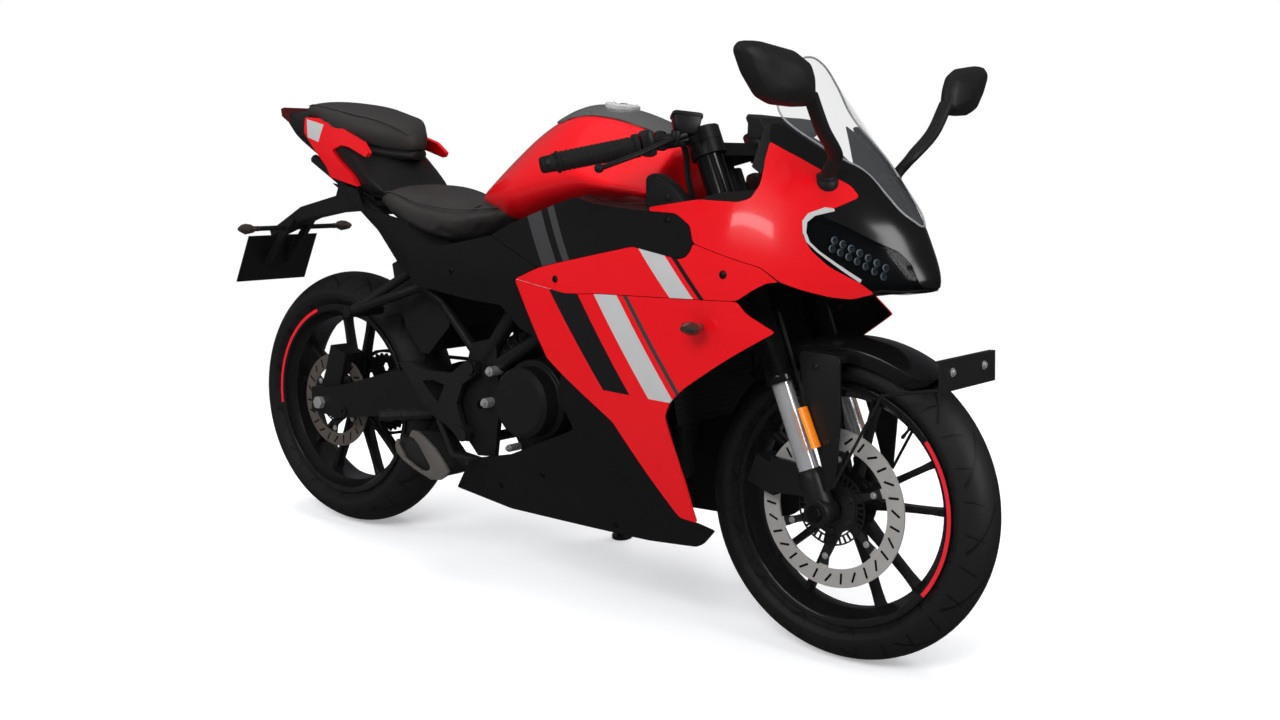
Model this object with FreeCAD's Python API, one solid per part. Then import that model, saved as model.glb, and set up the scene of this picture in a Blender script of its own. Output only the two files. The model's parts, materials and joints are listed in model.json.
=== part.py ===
"""A sport motorcycle leaning on its side stand, modelled piece by piece.

The machine is drawn upright first: X points forward, Y to the rider's left, Z up, and the
ground line runs under both tyres. Every solid is then leaned onto the side stand and moved
so that the middle of the machine's footprint is the origin.
"""
import FreeCAD
import Part
import math
import os

os.makedirs("parts", exist_ok=True)
V = FreeCAD.Vector

# Wheels and steering
WHEELBASE = 1360.0
RAKE_DEG = 24.5
TRAIL = 95.0
PARK_LEAN_DEG = 8.0
FRONT_TYRE_RADIUS = 293.0
FRONT_TYRE_WIDTH = 110.0
FRONT_RIM_WIDTH = 84.0
REAR_TYRE_RADIUS = 300.0
REAR_TYRE_WIDTH = 140.0
REAR_RIM_WIDTH = 116.0
BEAD_RADIUS = 218.0
RIM_EDGE_RADIUS = 226.0
RIM_WALL = 7.0
RIM_FLANGE = 5.0
RIM_WELL_DEPTH = 22.0
TYRE_SHOULDER_DROP = 46.0
TYRE_FIT = 0.3
HUB_RADIUS = 36.0
SPOKE_HUB_WIDTH = 20.0
SPOKE_RIM_WIDTH = 13.0
SPOKE_HUB_DEPTH = 34.0
SPOKE_RIM_DEPTH = 24.0
SPOKE_PAIRS = 5
SPOKE_HALF_ANGLE_DEG = 13.0
AXLE_RADIUS = 8.5
AXLE_CLEARANCE = 0.06
RUNNING_CLEARANCE = 1.0
AXLE_NUT_RADIUS = 15.0
AXLE_NUT_LENGTH = 14.0

# Brakes and drive
FRONT_DISC_RADIUS = 147.0
FRONT_DISC_BAND = 34.0
FRONT_DISC_PLANE = 60.0
REAR_DISC_RADIUS = 110.0
REAR_DISC_BAND = 30.0
REAR_DISC_PLANE = 67.0
DISC_THICKNESS = 4.5
DISC_ARM_WIDTH = 14.0
DISC_HUB_BAND = 12.0
FRONT_SLOTS = 14
REAR_SLOTS = 10
SLOT_WIDTH = 6.0
SLOT_LENGTH = 18.0
SLOT_SLANT_DEG = 35.0
CALIPER_GAP = 5.5
CALIPER_WALL = 22.0
CALIPER_HEIGHT = 56.0
CHAIN_PLANE = 84.0
CHAIN_WIDTH = 13.0
CHAIN_HEIGHT = 14.0
SPROCKET_RADIUS = 92.0
SPROCKET_TEETH = 34
SPROCKET_THICKNESS = 6.0
SPROCKET_TOOTH = 8.0
DRIVE_SPROCKET_RADIUS = 32.0

# Fork, bars and front mudguard
FORK_HALF_SPAN = 96.0
FORK_OUTER_RADIUS = 26.0
FORK_INNER_RADIUS = 19.0
FORK_TOP_HEIGHT = 938.0
FORK_SEAL_HEIGHT = 519.0
FORK_LUG_TOP_HEIGHT = 364.0
FORK_LUG_RADIUS = 25.0
CLAMP_THICKNESS = 26.0
CLAMP_REACH = 22.0
LOWER_CLAMP_HEIGHT = 745.0
UPPER_CLAMP_HEIGHT = 908.0
STEM_RADIUS = 15.0
HEAD_TUBE_RADIUS = 27.0
BAR_RADIUS = 11.0
GRIP_RADIUS = 17.0
GRIP_LENGTH = 125.0
BAR_END_LENGTH = 18.0
LEVER_WIDTH = 9.0
MUDGUARD_GAP = 13.0
MUDGUARD_WALL = 3.0
MUDGUARD_HALF_WIDTH = 66.0
MUDGUARD_FRONT_DEG = 56.0
MUDGUARD_REAR_DEG = 134.0

# Frame, swingarm and stand
FRAME_TUBE_RADIUS = 17.0
SMALL_TUBE_RADIUS = 11.0
FRAME_HALF_WIDTH = 112.0
PIVOT_PLATE_THICKNESS = 12.0
SWINGARM_WALL = 20.0
SWINGARM_HEIGHT = 62.0
SWINGARM_HALF_SPAN = 106.0
PIVOT_RADIUS = 20.0
SHOCK_BODY_RADIUS = 22.0
SPRING_RADIUS = 30.0
SPRING_WIRE = 5.5
SPRING_TURNS = 6
STAND_TUBE_RADIUS = 11.0
STAND_FOOT_RADIUS = 24.0
STAND_FOOT_THICKNESS = 7.0
STAND_FOOT_REACH = 235.0
STAND_PIVOT_RADIUS = 7.0

# Bodywork
BODY_HALF_WIDTH = 236.0
PANEL_WALL = 4.0
NOSE_WALL = 6.0
LAMP_WALL = 12.0
SCREEN_WALL = 3.0
PANEL_GAP = 0.6
OVERRUN = 30.0

# Rise and fall of the bodywork's half width, along the machine and up it
LENGTH_WIDTH_SHARES = (
    (-0.309, 0.62), (-0.184, 0.72), (-0.074, 0.8), (0, 0.85), (0.11, 0.92), (0.221, 0.97),
    (0.331, 1), (0.397, 1), (0.441, 0.93), (0.478, 0.835), (0.515, 0.69))
HEIGHT_WIDTH_SHARES = (
    (0.11, 0.56), (0.125, 0.6), (0.184, 0.74), (0.257, 0.86), (0.331, 0.95), (0.404, 0.99),
    (0.478, 1), (0.529, 0.99), (0.574, 0.95), (0.625, 0.87), (0.699, 0.68), (0.743, 0.55))
NOSE_REACH_SHARES = (
    (0.581, 0.456), (0.604, 0.5), (0.612, 0.518), (0.609, 0.538), (0.597, 0.566), (0.583, 0.594),
    (0.56, 0.629), (0.535, 0.662), (0.507, 0.699), (0.471, 0.743))
NOSE_START_SHARE = 0.397
NOSE_FLAT_POWER = 1.5
NOSE_ROUND_POWER = 0.75


def smooth(table, at):
    """Value of a table of (place, value) rows at a place, along a curve that never overshoots."""
    places = [row[0] for row in table]
    values = [row[1] for row in table]
    if at <= places[0]:
        return values[0]
    if at >= places[-1]:
        return values[-1]
    steps = [b - a for a, b in zip(places, places[1:])]
    slopes = [(b - a) / s for a, b, s in zip(values, values[1:], steps)]

    def tangent(row):
        if row == 0:
            return slopes[0]
        if row == len(slopes):
            return slopes[-1]
        before, after = slopes[row - 1], slopes[row]
        return 0.0 if before * after <= 0 else 2 * before * after / (before + after)

    row = max(index for index, place in enumerate(places[:-1]) if place <= at)
    t = (at - places[row]) / steps[row]
    lift = steps[row] * (tangent(row) * t * (1 - t) ** 2 + tangent(row + 1) * t * t * (t - 1))
    return values[row] * (1 + 2 * t) * (1 - t) ** 2 + values[row + 1] * t * t * (3 - 2 * t) + lift


def place(shares):
    """Point of the upright machine from its shares of the wheelbase."""
    return V(*shares) * WHEELBASE


def flat(pairs, y=0.0):
    """Points of a side outline, given as shares of the wheelbase, in the plane at y."""
    return [V(x * WHEELBASE, y, z * WHEELBASE) for x, z in pairs]


def mirrored(shape):
    """The same shape on the machine's other side."""
    return shape.mirror(V(0, 0, 0), V(0, 1, 0))


def polygon_face(points):
    """Flat face bounded by straight edges through the points."""
    return Part.Face(Part.makePolygon(points + points[:1]))


def slab(pairs, y_low, y_high):
    """Side outline given depth from y_low to y_high."""
    return polygon_face(flat(pairs, y_low)).extrude(V(0, y_high - y_low, 0))


def pin(start, end, radius):
    """Round bar from one point to another."""
    axis = end.sub(start)
    return Part.makeCylinder(radius, axis.Length, start, axis)


def tube(start, end, radius, bore):
    """Round bar with a bore right through."""
    axis = end.sub(start)
    reach = V(axis).normalize() * OVERRUN
    return pin(start, end, radius).cut(pin(start.sub(reach), end.add(reach), bore))


def ring(centre, axis, radius, bore, thickness):
    """Flat ring centred on a point, its thickness shared either side."""
    half = V(axis).normalize() * (thickness / 2)
    return tube(centre.sub(half), centre.add(half), radius, bore)


def around(middle, axis, radius, sides):
    """Corners of a regular outline square to an axis."""
    axis = V(axis).normalize()
    side = V(axis.z, 0, -axis.x) if abs(axis.y) < NEAR_ONE else V(1, 0, 0)
    side.normalize()
    other = axis.cross(side)
    turns = [2 * math.pi * n / sides for n in range(sides)]
    return [middle.add(side * (radius * math.cos(t))).add(other * (radius * math.sin(t))) for t in turns]


def bar(start, end, radius, sides=10):
    """Many-sided straight bar from one point to another."""
    axis = end.sub(start)
    return polygon_face(around(start, axis, radius, sides)).extrude(axis)


def sleeve(start, end, radius, bore, sides=12):
    """Many-sided straight bar with a bore right through."""
    reach = end.sub(start).normalize() * OVERRUN
    clear = bore / math.cos(math.pi / sides)
    return bar(start, end, radius, sides).cut(bar(start.sub(reach), end.add(reach), clear, sides))


def mitred_bar(points, radius, sides=8):
    """Many-sided bar along straight runs that meet at mitres."""
    corners = around(points[0], points[1].sub(points[0]), radius, sides)
    outline = Part.makePolygon(corners + corners[:1])
    return Part.makePolygon(points).makePipeShell([outline], True, False, 1)


def patches(a, b, c, d):
    """One flat face through four corners, or two where they don't lie in one plane."""
    normal = b.sub(a).cross(c.sub(a))
    if normal.Length > 0 and abs(normal.normalize().dot(d.sub(a))) < FLATNESS:
        return [polygon_face([a, b, c, d])]
    return [polygon_face([a, b, c]), polygon_face([a, c, d])]


def closed_solid(faces):
    """Solid inside a closed set of faces."""
    body = Part.makeSolid(Part.makeShell(faces))
    if body.Volume < 0:
        body.reverse()
    return body


def ring_solid(rings):
    """Many-sided solid through a row of flat rings with as many corners each."""
    faces = [polygon_face(rings[0]), polygon_face(rings[-1])]
    for low, high in zip(rings, rings[1:]):
        for n in range(len(low)):
            m = (n + 1) % len(low)
            faces += patches(low[n], low[m], high[m], high[n])
    return closed_solid(faces)


def walled_grid(rows, way):
    """Solid wall between a grid of points and the same grid moved along a direction."""
    faces = []
    for row, following in zip(rows, rows[1:]):
        for n in range(len(row) - 1):
            near = (row[n], row[n + 1], following[n + 1], following[n])
            faces += patches(*near)
            faces += patches(*[p.add(way) for p in near])
    rim_points = rows[0] + [row[-1] for row in rows[1:-1]] + rows[-1][::-1] + [row[0] for row in rows[-2:0:-1]]
    for a, b in zip(rim_points, rim_points[1:] + rim_points[:1]):
        faces.append(polygon_face([a, b, b.add(way), a.add(way)]))
    return closed_solid(faces)


def lathe(profile, start, axis, sides):
    """Many-sided solid turned about an axis, from a closed outline of (radius, distance along) points."""
    axis = V(axis).normalize()
    rays = [p.sub(start) for p in around(start, axis, 1.0, sides)]
    faces = []
    for ray, following in zip(rays, rays[1:] + rays[:1]):
        for (r0, h0), (r1, h1) in zip(profile, profile[1:] + profile[:1]):
            corners = [start.add(axis * h0).add(ray * r0), start.add(axis * h1).add(ray * r1)]
            if r1 > 0:
                corners.append(start.add(axis * h1).add(following * r1))
            if r0 > 0:
                corners.append(start.add(axis * h0).add(following * r0))
            if len(corners) > 2:
                faces.append(polygon_face(corners))
    return closed_solid(faces)


def joined(shapes):
    """Several touching or crossing solids as one."""
    whole = shapes[0].fuse(shapes[1:]) if len(shapes) > 1 else shapes[0]
    return whole.removeSplitter()


def spun(shape, centre, degrees):
    """Copy of a shape turned about the axle line through the centre."""
    copy = shape.copy()
    copy.rotate(centre, V(0, 1, 0), degrees)
    return copy


def along(start, way, distance):
    """Point at a distance from a start along a direction."""
    return start.add(V(way).normalize() * distance)


# Datum points and directions of the upright machine
REAR_AXLE = V(-WHEELBASE / 2, 0, REAR_TYRE_RADIUS)
FRONT_AXLE = V(WHEELBASE / 2, 0, FRONT_TYRE_RADIUS)
RAKE = math.radians(RAKE_DEG)
STEER_AXIS = V(-math.sin(RAKE), 0, math.cos(RAKE))
STEER_FOOT = V(WHEELBASE / 2 + TRAIL, 0, 0)
STEER_LOCK_DEG = 27.0
ACROSS = V(0, 1, 0)
INWARD = V(0, 1, 0)
BACKWARD = V(-1, 0, 0)
BACK_AND_IN = V(-1, 1, 0).normalize()
NEAR_ONE = 0.99
FLATNESS = 1e-8


def on_steering(height):
    """Point of the steering axis at a height."""
    return STEER_FOOT.add(STEER_AXIS * (height / STEER_AXIS.z))


def on_fork(height, side):
    """Point of a fork leg's centre line at a height, on side -1 (right) or +1 (left)."""
    run = STEER_AXIS * ((height - FRONT_AXLE.z) / STEER_AXIS.z)
    return FRONT_AXLE.add(run).add(ACROSS * (side * FORK_HALF_SPAN))


FORK_SET = FRONT_AXLE.distanceToLine(STEER_FOOT, STEER_AXIS)


def half_width(x_share, z_share):
    """Half width of the fairing where it is at its broadest lengthwise place."""
    return BODY_HALF_WIDTH * smooth(LENGTH_WIDTH_SHARES, x_share) * smooth(HEIGHT_WIDTH_SHARES, z_share)


SIDE_STATIONS_SHARES = (-0.312, -0.184, -0.044, 0.088, 0.221, 0.331, 0.397, 0.441, 0.482)
SIDE_HEIGHTS_SHARES = (0.103, 0.14, 0.184, 0.243, 0.316, 0.404, 0.529, 0.574, 0.625, 0.665)
NOSE_STATIONS_SHARES = (0.456, 0.5, 0.518, 0.54, 0.566, 0.594, 0.629, 0.676, 0.728)
NOSE_TURNS_DEG = (90, 68, 50, 36, 24, 14, 6, 0)
NOSE_BACK_SHARES = (0.246, 0.324)


def side_skin(wall):
    """Right-hand flank of the bodywork as one walled solid."""
    rows = []
    for x in SIDE_STATIONS_SHARES:
        rows.append([V(x * WHEELBASE, -half_width(x, z), z * WHEELBASE) for z in SIDE_HEIGHTS_SHARES])
    return walled_grid(rows, INWARD * wall)


def nose_skin(wall):
    """Right-hand half of the nose, wrapping round to the middle of the machine."""
    rows = []
    reach = [(z, x) for x, z in NOSE_REACH_SHARES]
    for z in NOSE_STATIONS_SHARES:
        broad = half_width(NOSE_START_SHARE, z)
        tip = smooth(reach, z)
        row = [V(x * WHEELBASE, -half_width(x, z), z * WHEELBASE) for x in NOSE_BACK_SHARES]
        for degrees in NOSE_TURNS_DEG:
            w = math.sin(math.radians(degrees))
            along_share = max(0.0, 1 - w ** (1 / NOSE_ROUND_POWER)) ** (1 / NOSE_FLAT_POWER)
            x = NOSE_START_SHARE + (tip - NOSE_START_SHARE) * along_share
            row.append(V(x * WHEELBASE, -broad * w, z * WHEELBASE))
        rows.append(row)
    return walled_grid(rows, BACK_AND_IN * wall)


def panel(skin, pairs):
    """Piece of a walled skin inside a side outline, right of the machine's middle."""
    reach = BODY_HALF_WIDTH + OVERRUN
    return skin.common(slab(pairs, -reach, 0.0))


# Seams that neighbouring panels share, in side view
UPPER_LOW_SEAM_SHARES = ((0.343, 0.56), (0.443, 0.537), (0.467, 0.519))
MID_LOW_SEAM_SHARES = ((0.01, 0.483), (0.119, 0.473), (0.188, 0.479), (0.416, 0.492))
BELLY_SEAM_SHARES = ((0.11, 0.357), (0.205, 0.302), (0.257, 0.239), (0.307, 0.179), (0.338, 0.177))
TANK_UPPER_SEAM_SHARES = ((0.26, 0.596), (0.306, 0.596), (0.333, 0.582), (0.343, 0.56))
TANK_MID_SEAM_SHARES = ((0.341, 0.551), (0.335, 0.542), (0.323, 0.538), (0.24, 0.549), (0.098, 0.514), (0.059, 0.504))
COVER_SEAM_SHARES = ((-0.049, 0.542), (0.059, 0.504))
COVER_FLANK_SEAM_SHARES = ((0.01, 0.483), (0.035, 0.444), (0.063, 0.401))
NOSE_UPPER_SEAM_SHARES = ((0.418, 0.695), (0.456, 0.675), (0.497, 0.651), (0.512, 0.643), (0.526, 0.628), (0.507, 0.613))
NOSE_LAMP_SEAM_SHARES = (
    (0.507, 0.613), (0.498, 0.603), (0.525, 0.59), (0.551, 0.575), (0.576, 0.562), (0.59, 0.546),
    (0.598, 0.526), (0.601, 0.517))
LAMP_UPPER_SEAM_SHARES = (
    (0.507, 0.613), (0.487, 0.607), (0.481, 0.596), (0.483, 0.579), (0.495, 0.561), (0.517, 0.541),
    (0.548, 0.523), (0.562, 0.509))

# Outlines of the panels in side view
UPPER_FAIRING_SHARES = TANK_UPPER_SEAM_SHARES[::-1] + (
    (0.259, 0.602), (0.338, 0.617), (0.401, 0.617), (0.416, 0.622), (0.423, 0.64), (0.421, 0.667)
) + NOSE_UPPER_SEAM_SHARES + LAMP_UPPER_SEAM_SHARES[1:] + (
    (0.54, 0.501), (0.518, 0.503), (0.489, 0.511)
) + UPPER_LOW_SEAM_SHARES[:0:-1]
MID_FAIRING_SHARES = TANK_MID_SEAM_SHARES[::-1] + UPPER_LOW_SEAM_SHARES + (
    (0.453, 0.518), (0.436, 0.507)
) + MID_LOW_SEAM_SHARES[::-1]
LOWER_FAIRING_SHARES = MID_LOW_SEAM_SHARES + (
    (0.43, 0.476), (0.466, 0.456), (0.421, 0.425), (0.338, 0.368), (0.313, 0.346), (0.303, 0.324),
    (0.31, 0.299), (0.328, 0.232)
) + BELLY_SEAM_SHARES[::-1] + (
    (0.081, 0.376),
) + COVER_FLANK_SEAM_SHARES[:0:-1]
BELLY_SHARES = ((-0.176, 0.127), (-0.125, 0.186), (-0.024, 0.212), (0.126, 0.277), (0.099, 0.324)) + BELLY_SEAM_SHARES + (
    (0.367, 0.171), (0.343, 0.147), (0.326, 0.138), (0.237, 0.128), (-0.05, 0.116)
)
LEFT_BELLY_SHARES = ((0.022, 0.12), (0.015, 0.221), (0.126, 0.277), (0.099, 0.324)) + BELLY_SEAM_SHARES + (
    (0.367, 0.171), (0.343, 0.147), (0.326, 0.138), (0.237, 0.128)
)
TANK_SIDE_SHARES = ((-0.011, 0.561), (0.092, 0.599), (0.121, 0.608), (0.155, 0.601)) + TANK_UPPER_SEAM_SHARES + (
    TANK_MID_SEAM_SHARES) + COVER_SEAM_SHARES[:1]
SIDE_COVER_SHARES = ((-0.268, 0.547), (-0.208, 0.518), (-0.177, 0.515)) + COVER_SEAM_SHARES + COVER_FLANK_SEAM_SHARES + (
    (0.022, 0.412), (-0.022, 0.441), (-0.097, 0.441), (-0.243, 0.45)
)
NOSE_COWL_SHARES = NOSE_UPPER_SEAM_SHARES[:-1] + NOSE_LAMP_SEAM_SHARES + (
    (0.625, 0.515), (0.625, 0.594), (0.583, 0.594), (0.568, 0.607), (0.548, 0.629), (0.529, 0.651),
    (0.512, 0.664), (0.498, 0.671), (0.471, 0.687), (0.426, 0.716), (0.413, 0.717)
)
LAMP_SHARES = LAMP_UPPER_SEAM_SHARES + ((0.588, 0.507), (0.61, 0.512)) + NOSE_LAMP_SEAM_SHARES[:0:-1]
SCREEN_SHARES = (
    (0.586, 0.593), (0.568, 0.608), (0.548, 0.63), (0.529, 0.652), (0.512, 0.665), (0.498, 0.673),
    (0.471, 0.689), (0.428, 0.719), (0.411, 0.741), (0.409, 0.765), (0.401, 0.787), (0.39, 0.824),
    (0.515, 0.824), (0.632, 0.593))
TAIL_COWL_SHARES = (
    (-0.604, 0.712), (-0.515, 0.69), (-0.441, 0.665), (-0.362, 0.626), (-0.346, 0.604),
    (-0.409, 0.593), (-0.471, 0.616), (-0.553, 0.653), (-0.593, 0.665))
TAIL_BASE_SHARES = (
    (-0.643, 0.721), (-0.638, 0.707), (-0.604, 0.691), (-0.553, 0.65), (-0.412, 0.588),
    (-0.324, 0.574), (-0.297, 0.588), (-0.297, 0.638), (-0.346, 0.643), (-0.441, 0.676),
    (-0.604, 0.724))
TAIL_SIDE_SHARES = (
    (-0.482, 0.597), (-0.409, 0.591), (-0.39, 0.562), (-0.269, 0.546), (-0.221, 0.524),
    (-0.254, 0.451), (-0.288, 0.471), (-0.349, 0.526), (-0.434, 0.575))
TAIL_HALF_FRONT = 148.0
TAIL_HALF_REAR = 86.0
TAIL_FRONT_SHARE = -0.221
TAIL_REAR_SHARE = -0.647
TAIL_WALL = 8.0
TAIL_BASE_GAP = 1.0

# Rows of a tank or seat section: place along, low, widest and top heights, low, widest and shoulder half widths
TANK_SECTIONS_SHARES = (
    (-0.157, 0.568, 0.588, 0.607, 0.022, 0.049, 0.022),
    (-0.11, 0.562, 0.599, 0.653, 0.044, 0.074, 0.029),
    (-0.044, 0.562, 0.61, 0.703, 0.059, 0.101, 0.038),
    (0.029, 0.581, 0.625, 0.732, 0.066, 0.118, 0.049),
    (0.103, 0.592, 0.636, 0.728, 0.071, 0.129, 0.054),
    (0.176, 0.597, 0.636, 0.704, 0.074, 0.137, 0.062),
    (0.235, 0.599, 0.634, 0.674, 0.076, 0.137, 0.074),
    (0.283, 0.612, 0.629, 0.647, 0.088, 0.131, 0.096))
TANK_COVER_SHARES = (
    (-0.044, 0.684), (-0.022, 0.717), (0.005, 0.738), (0.04, 0.742), (0.115, 0.733),
    (0.176, 0.707), (0.229, 0.68), (0.229, 0.662), (0.115, 0.706), (0.04, 0.717), (-0.029, 0.684))
TANK_COVER_HALF = 62.0
TANK_COVER_RISE = 3.0
TANK_FRONT_SHARE = 0.225
TANK_RECESS_HALF = 138.0
RIDER_SEAT_SECTIONS_SHARES = (
    (-0.371, 0.565, 0.576, 0.588, 0.044, 0.074, 0.044),
    (-0.324, 0.546, 0.571, 0.597, 0.059, 0.101, 0.066),
    (-0.25, 0.524, 0.553, 0.585, 0.071, 0.11, 0.074),
    (-0.176, 0.524, 0.55, 0.581, 0.066, 0.104, 0.066),
    (-0.118, 0.543, 0.565, 0.586, 0.051, 0.082, 0.044),
    (-0.087, 0.559, 0.574, 0.587, 0.037, 0.059, 0.029))
PILLION_SECTIONS_SHARES = (
    (-0.601, 0.704, 0.715, 0.725, 0.029, 0.047, 0.029),
    (-0.559, 0.691, 0.71, 0.729, 0.044, 0.065, 0.041),
    (-0.471, 0.673, 0.695, 0.724, 0.059, 0.082, 0.049),
    (-0.382, 0.651, 0.68, 0.715, 0.062, 0.088, 0.051),
    (-0.316, 0.641, 0.673, 0.699, 0.062, 0.085, 0.051),
    (-0.3, 0.644, 0.665, 0.68, 0.059, 0.076, 0.049))


def section(row, sides):
    """Corners of a many-sided section across the machine from one row of a section table."""
    x, low, wide, top, low_half, wide_half, top_half = [share * WHEELBASE for share in row]
    shoulder = (wide + top * 3) / 4
    right = [V(x, 0, low), V(x, -low_half, low), V(x, -wide_half, wide), V(x, -top_half * SHOULDER_SHARE, shoulder)]
    left = [V(p.x, -p.y, p.z) for p in reversed(right[1:])]
    curve = Part.BSplineCurve()
    curve.interpolate(right + [V(x, 0, top)] + left, PeriodicFlag=True)
    return curve.toShape().discretize(sides + 1)[:-1]


def swept_body(rows, stations, sides):
    """Body through a table of sections, each column of the table followed smoothly between its rows."""
    start, end = rows[0][0], rows[-1][0]
    columns = [[(row[0], row[n]) for row in rows] for n in range(1, len(rows[0]))]
    rings = []
    for n in range(stations):
        x = start + (end - start) * n / (stations - 1)
        rings.append(section([x] + [smooth(column, x) for column in columns], sides))
    return ring_solid(rings)


SHOULDER_SHARE = 1.25
TANK_GRID = (11, 20)
SEAT_GRID = (8, 14)


# Wheels

def rim(centre, width, plane, disc_face):
    """Cast wheel: well, flanges, paired spokes and a hub whose right end seats the disc."""
    half = width / 2
    lip = half - RIM_FLANGE
    well = BEAD_RADIUS - RIM_WELL_DEPTH
    outer = [(RIM_EDGE_RADIUS, -half), (RIM_EDGE_RADIUS, -lip), (BEAD_RADIUS, -lip),
             (BEAD_RADIUS, lip), (RIM_EDGE_RADIUS, lip), (RIM_EDGE_RADIUS, half)]
    inner = [(BEAD_RADIUS - RIM_WALL, half), (well, 0), (BEAD_RADIUS - RIM_WALL, -half)]
    barrel = lathe(outer + inner, centre, ACROSS, WHEEL_SIDES)
    hub_right = centre.sub(ACROSS * disc_face)
    hub_left = centre.add(ACROSS * plane)
    hub = bar(hub_right, hub_left, HUB_RADIUS, 16)
    spokes = []
    for pair in range(SPOKE_PAIRS):
        for side in (-1, 1):
            spokes.append(spun(spoke(centre, well, side), centre, 360 / SPOKE_PAIRS * pair))
    body = joined([barrel, hub] + spokes)
    return body.cut(bar(along(hub_right, -ACROSS, OVERRUN), along(hub_left, ACROSS, OVERRUN),
                        (AXLE_RADIUS + RUNNING_CLEARANCE) / BORE_SHARE, 12))


SPOKE_ROOT_SHARE = 0.6


def spoke(centre, well, side):
    """One tapered arm of a spoke pair, leaning to one side of the pair's middle."""
    root = HUB_RADIUS * SPOKE_ROOT_SHARE
    tip = well + RIM_WALL
    spread = math.tan(math.radians(SPOKE_HALF_ANGLE_DEG)) * side

    def slice_at(radius, width, depth, offset):
        shift = spread * (radius - root) + offset
        corners = [(shift - width / 2, -depth / 2), (shift + width / 2, -depth / 2),
                   (shift + width / 2, depth / 2), (shift - width / 2, depth / 2)]
        return [V(centre.x + a, centre.y + b, centre.z + radius) for a, b in corners]

    offset = side * SPOKE_HUB_WIDTH / 4
    return ring_solid([slice_at(root, SPOKE_HUB_WIDTH, SPOKE_HUB_DEPTH, offset),
                       slice_at(tip, SPOKE_RIM_WIDTH, SPOKE_RIM_DEPTH, offset)])


def tyre(centre, radius, width, rim_width):
    """Tyre seated between the rim's flanges, with a round crown and bulging walls."""
    half = width / 2
    bead = rim_width / 2 - RIM_FLANGE - TYRE_FIT
    shoulder = radius - TYRE_SHOULDER_DROP
    base = BEAD_RADIUS + TYRE_FIT
    lip = RIM_EDGE_RADIUS + TYRE_FIT

    crown = Part.Arc(V(shoulder, -half, 0), V(radius, 0, 0), V(shoulder, half, 0)).toShape()
    wall_mid, bulge = (lip + shoulder) / 2, (bead + half * 2) / 3
    right = [(base, -bead), (lip, -bead), (wall_mid, -bulge)]
    left = [(r, -y) for r, y in reversed(right)]
    tread = [(p.x, p.y) for p in crown.discretize(TYRE_CROWN_POINTS)]
    return lathe(right + tread + left, centre, ACROSS, WHEEL_SIDES)


WHEEL_SIDES = 36
TYRE_CROWN_POINTS = 5


def disc(centre, side, plane, radius, band, slots, arms):
    """Slotted brake disc on a carrier with arms, its outer face on the given plane."""
    middle = centre.add(ACROSS * (side * (plane + DISC_THICKNESS / 2)))
    half = ACROSS * (DISC_THICKNESS / 2)
    track = sleeve(middle.sub(half), middle.add(half), radius, radius - band, DISC_SIDES)
    hub_ring = sleeve(middle.sub(half), middle.add(half), HUB_RADIUS + DISC_HUB_BAND, HUB_RADIUS / 2)
    start = HUB_RADIUS
    reach = radius - band * ARM_SINK_SHARE
    arm = Part.makeBox(DISC_ARM_WIDTH, DISC_THICKNESS, reach - start,
                       V(middle.x - DISC_ARM_WIDTH / 2, middle.y - DISC_THICKNESS / 2, middle.z + start))
    solids = [track, hub_ring] + [spun(arm, middle, 360 / arms * n) for n in range(arms)]
    body = joined(solids)
    slot = Part.makeBox(SLOT_WIDTH, DISC_THICKNESS * 3, SLOT_LENGTH,
                        V(middle.x - SLOT_WIDTH / 2, middle.y - DISC_THICKNESS * 1.5,
                          middle.z + radius - band / 2 - SLOT_LENGTH / 2))
    slot = spun(slot, V(middle.x, middle.y, middle.z + radius - band / 2), SLOT_SLANT_DEG)
    for n in range(slots):
        body = body.cut(spun(slot, middle, 360 / slots * n))
    return body


DISC_SIDES = 32
ARM_SINK_SHARE = 0.9


def caliper(centre, plane, radius, band, degrees, bracket, bracket_face):
    """Caliper straddling a right-hand disc's rim, turned round the axle to its place, on its bracket."""
    side = -1
    reach_in = radius - band - CALIPER_GAP
    reach_out = radius + CALIPER_WALL
    middle_y = centre.y + side * (plane + DISC_THICKNESS / 2)
    half = CALIPER_WALL + CALIPER_GAP
    body = Part.makeBox(CALIPER_HEIGHT, half * 2, reach_out - reach_in,
                        V(centre.x - CALIPER_HEIGHT / 2, middle_y - half, centre.z + reach_in))
    gap_start = V(centre.x, middle_y - CALIPER_GAP - DISC_THICKNESS / 2, centre.z)
    gap = bar(gap_start, gap_start.add(ACROSS * (CALIPER_GAP * 2 + DISC_THICKNESS)), radius + CALIPER_GAP, DISC_SIDES)
    plate = slab(bracket, -bracket_face, -bracket_face + BRACKET_THICKNESS)
    return joined([spun(body.cut(gap), centre, degrees), plate])


BRACKET_THICKNESS = 11.0
NODES = {}


def front_wheel_nodes():
    """Front tyre, cast wheel and brake disc."""
    NODES["front_tyre"] = tyre(FRONT_AXLE, FRONT_TYRE_RADIUS, FRONT_TYRE_WIDTH, FRONT_RIM_WIDTH)
    NODES["front_rim"] = rim(FRONT_AXLE, FRONT_RIM_WIDTH, FRONT_HUB_LEFT, FRONT_DISC_PLANE)
    NODES["front_disc"] = disc(FRONT_AXLE, -1, FRONT_DISC_PLANE, FRONT_DISC_RADIUS, FRONT_DISC_BAND,
                               FRONT_SLOTS, DISC_ARMS)


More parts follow.
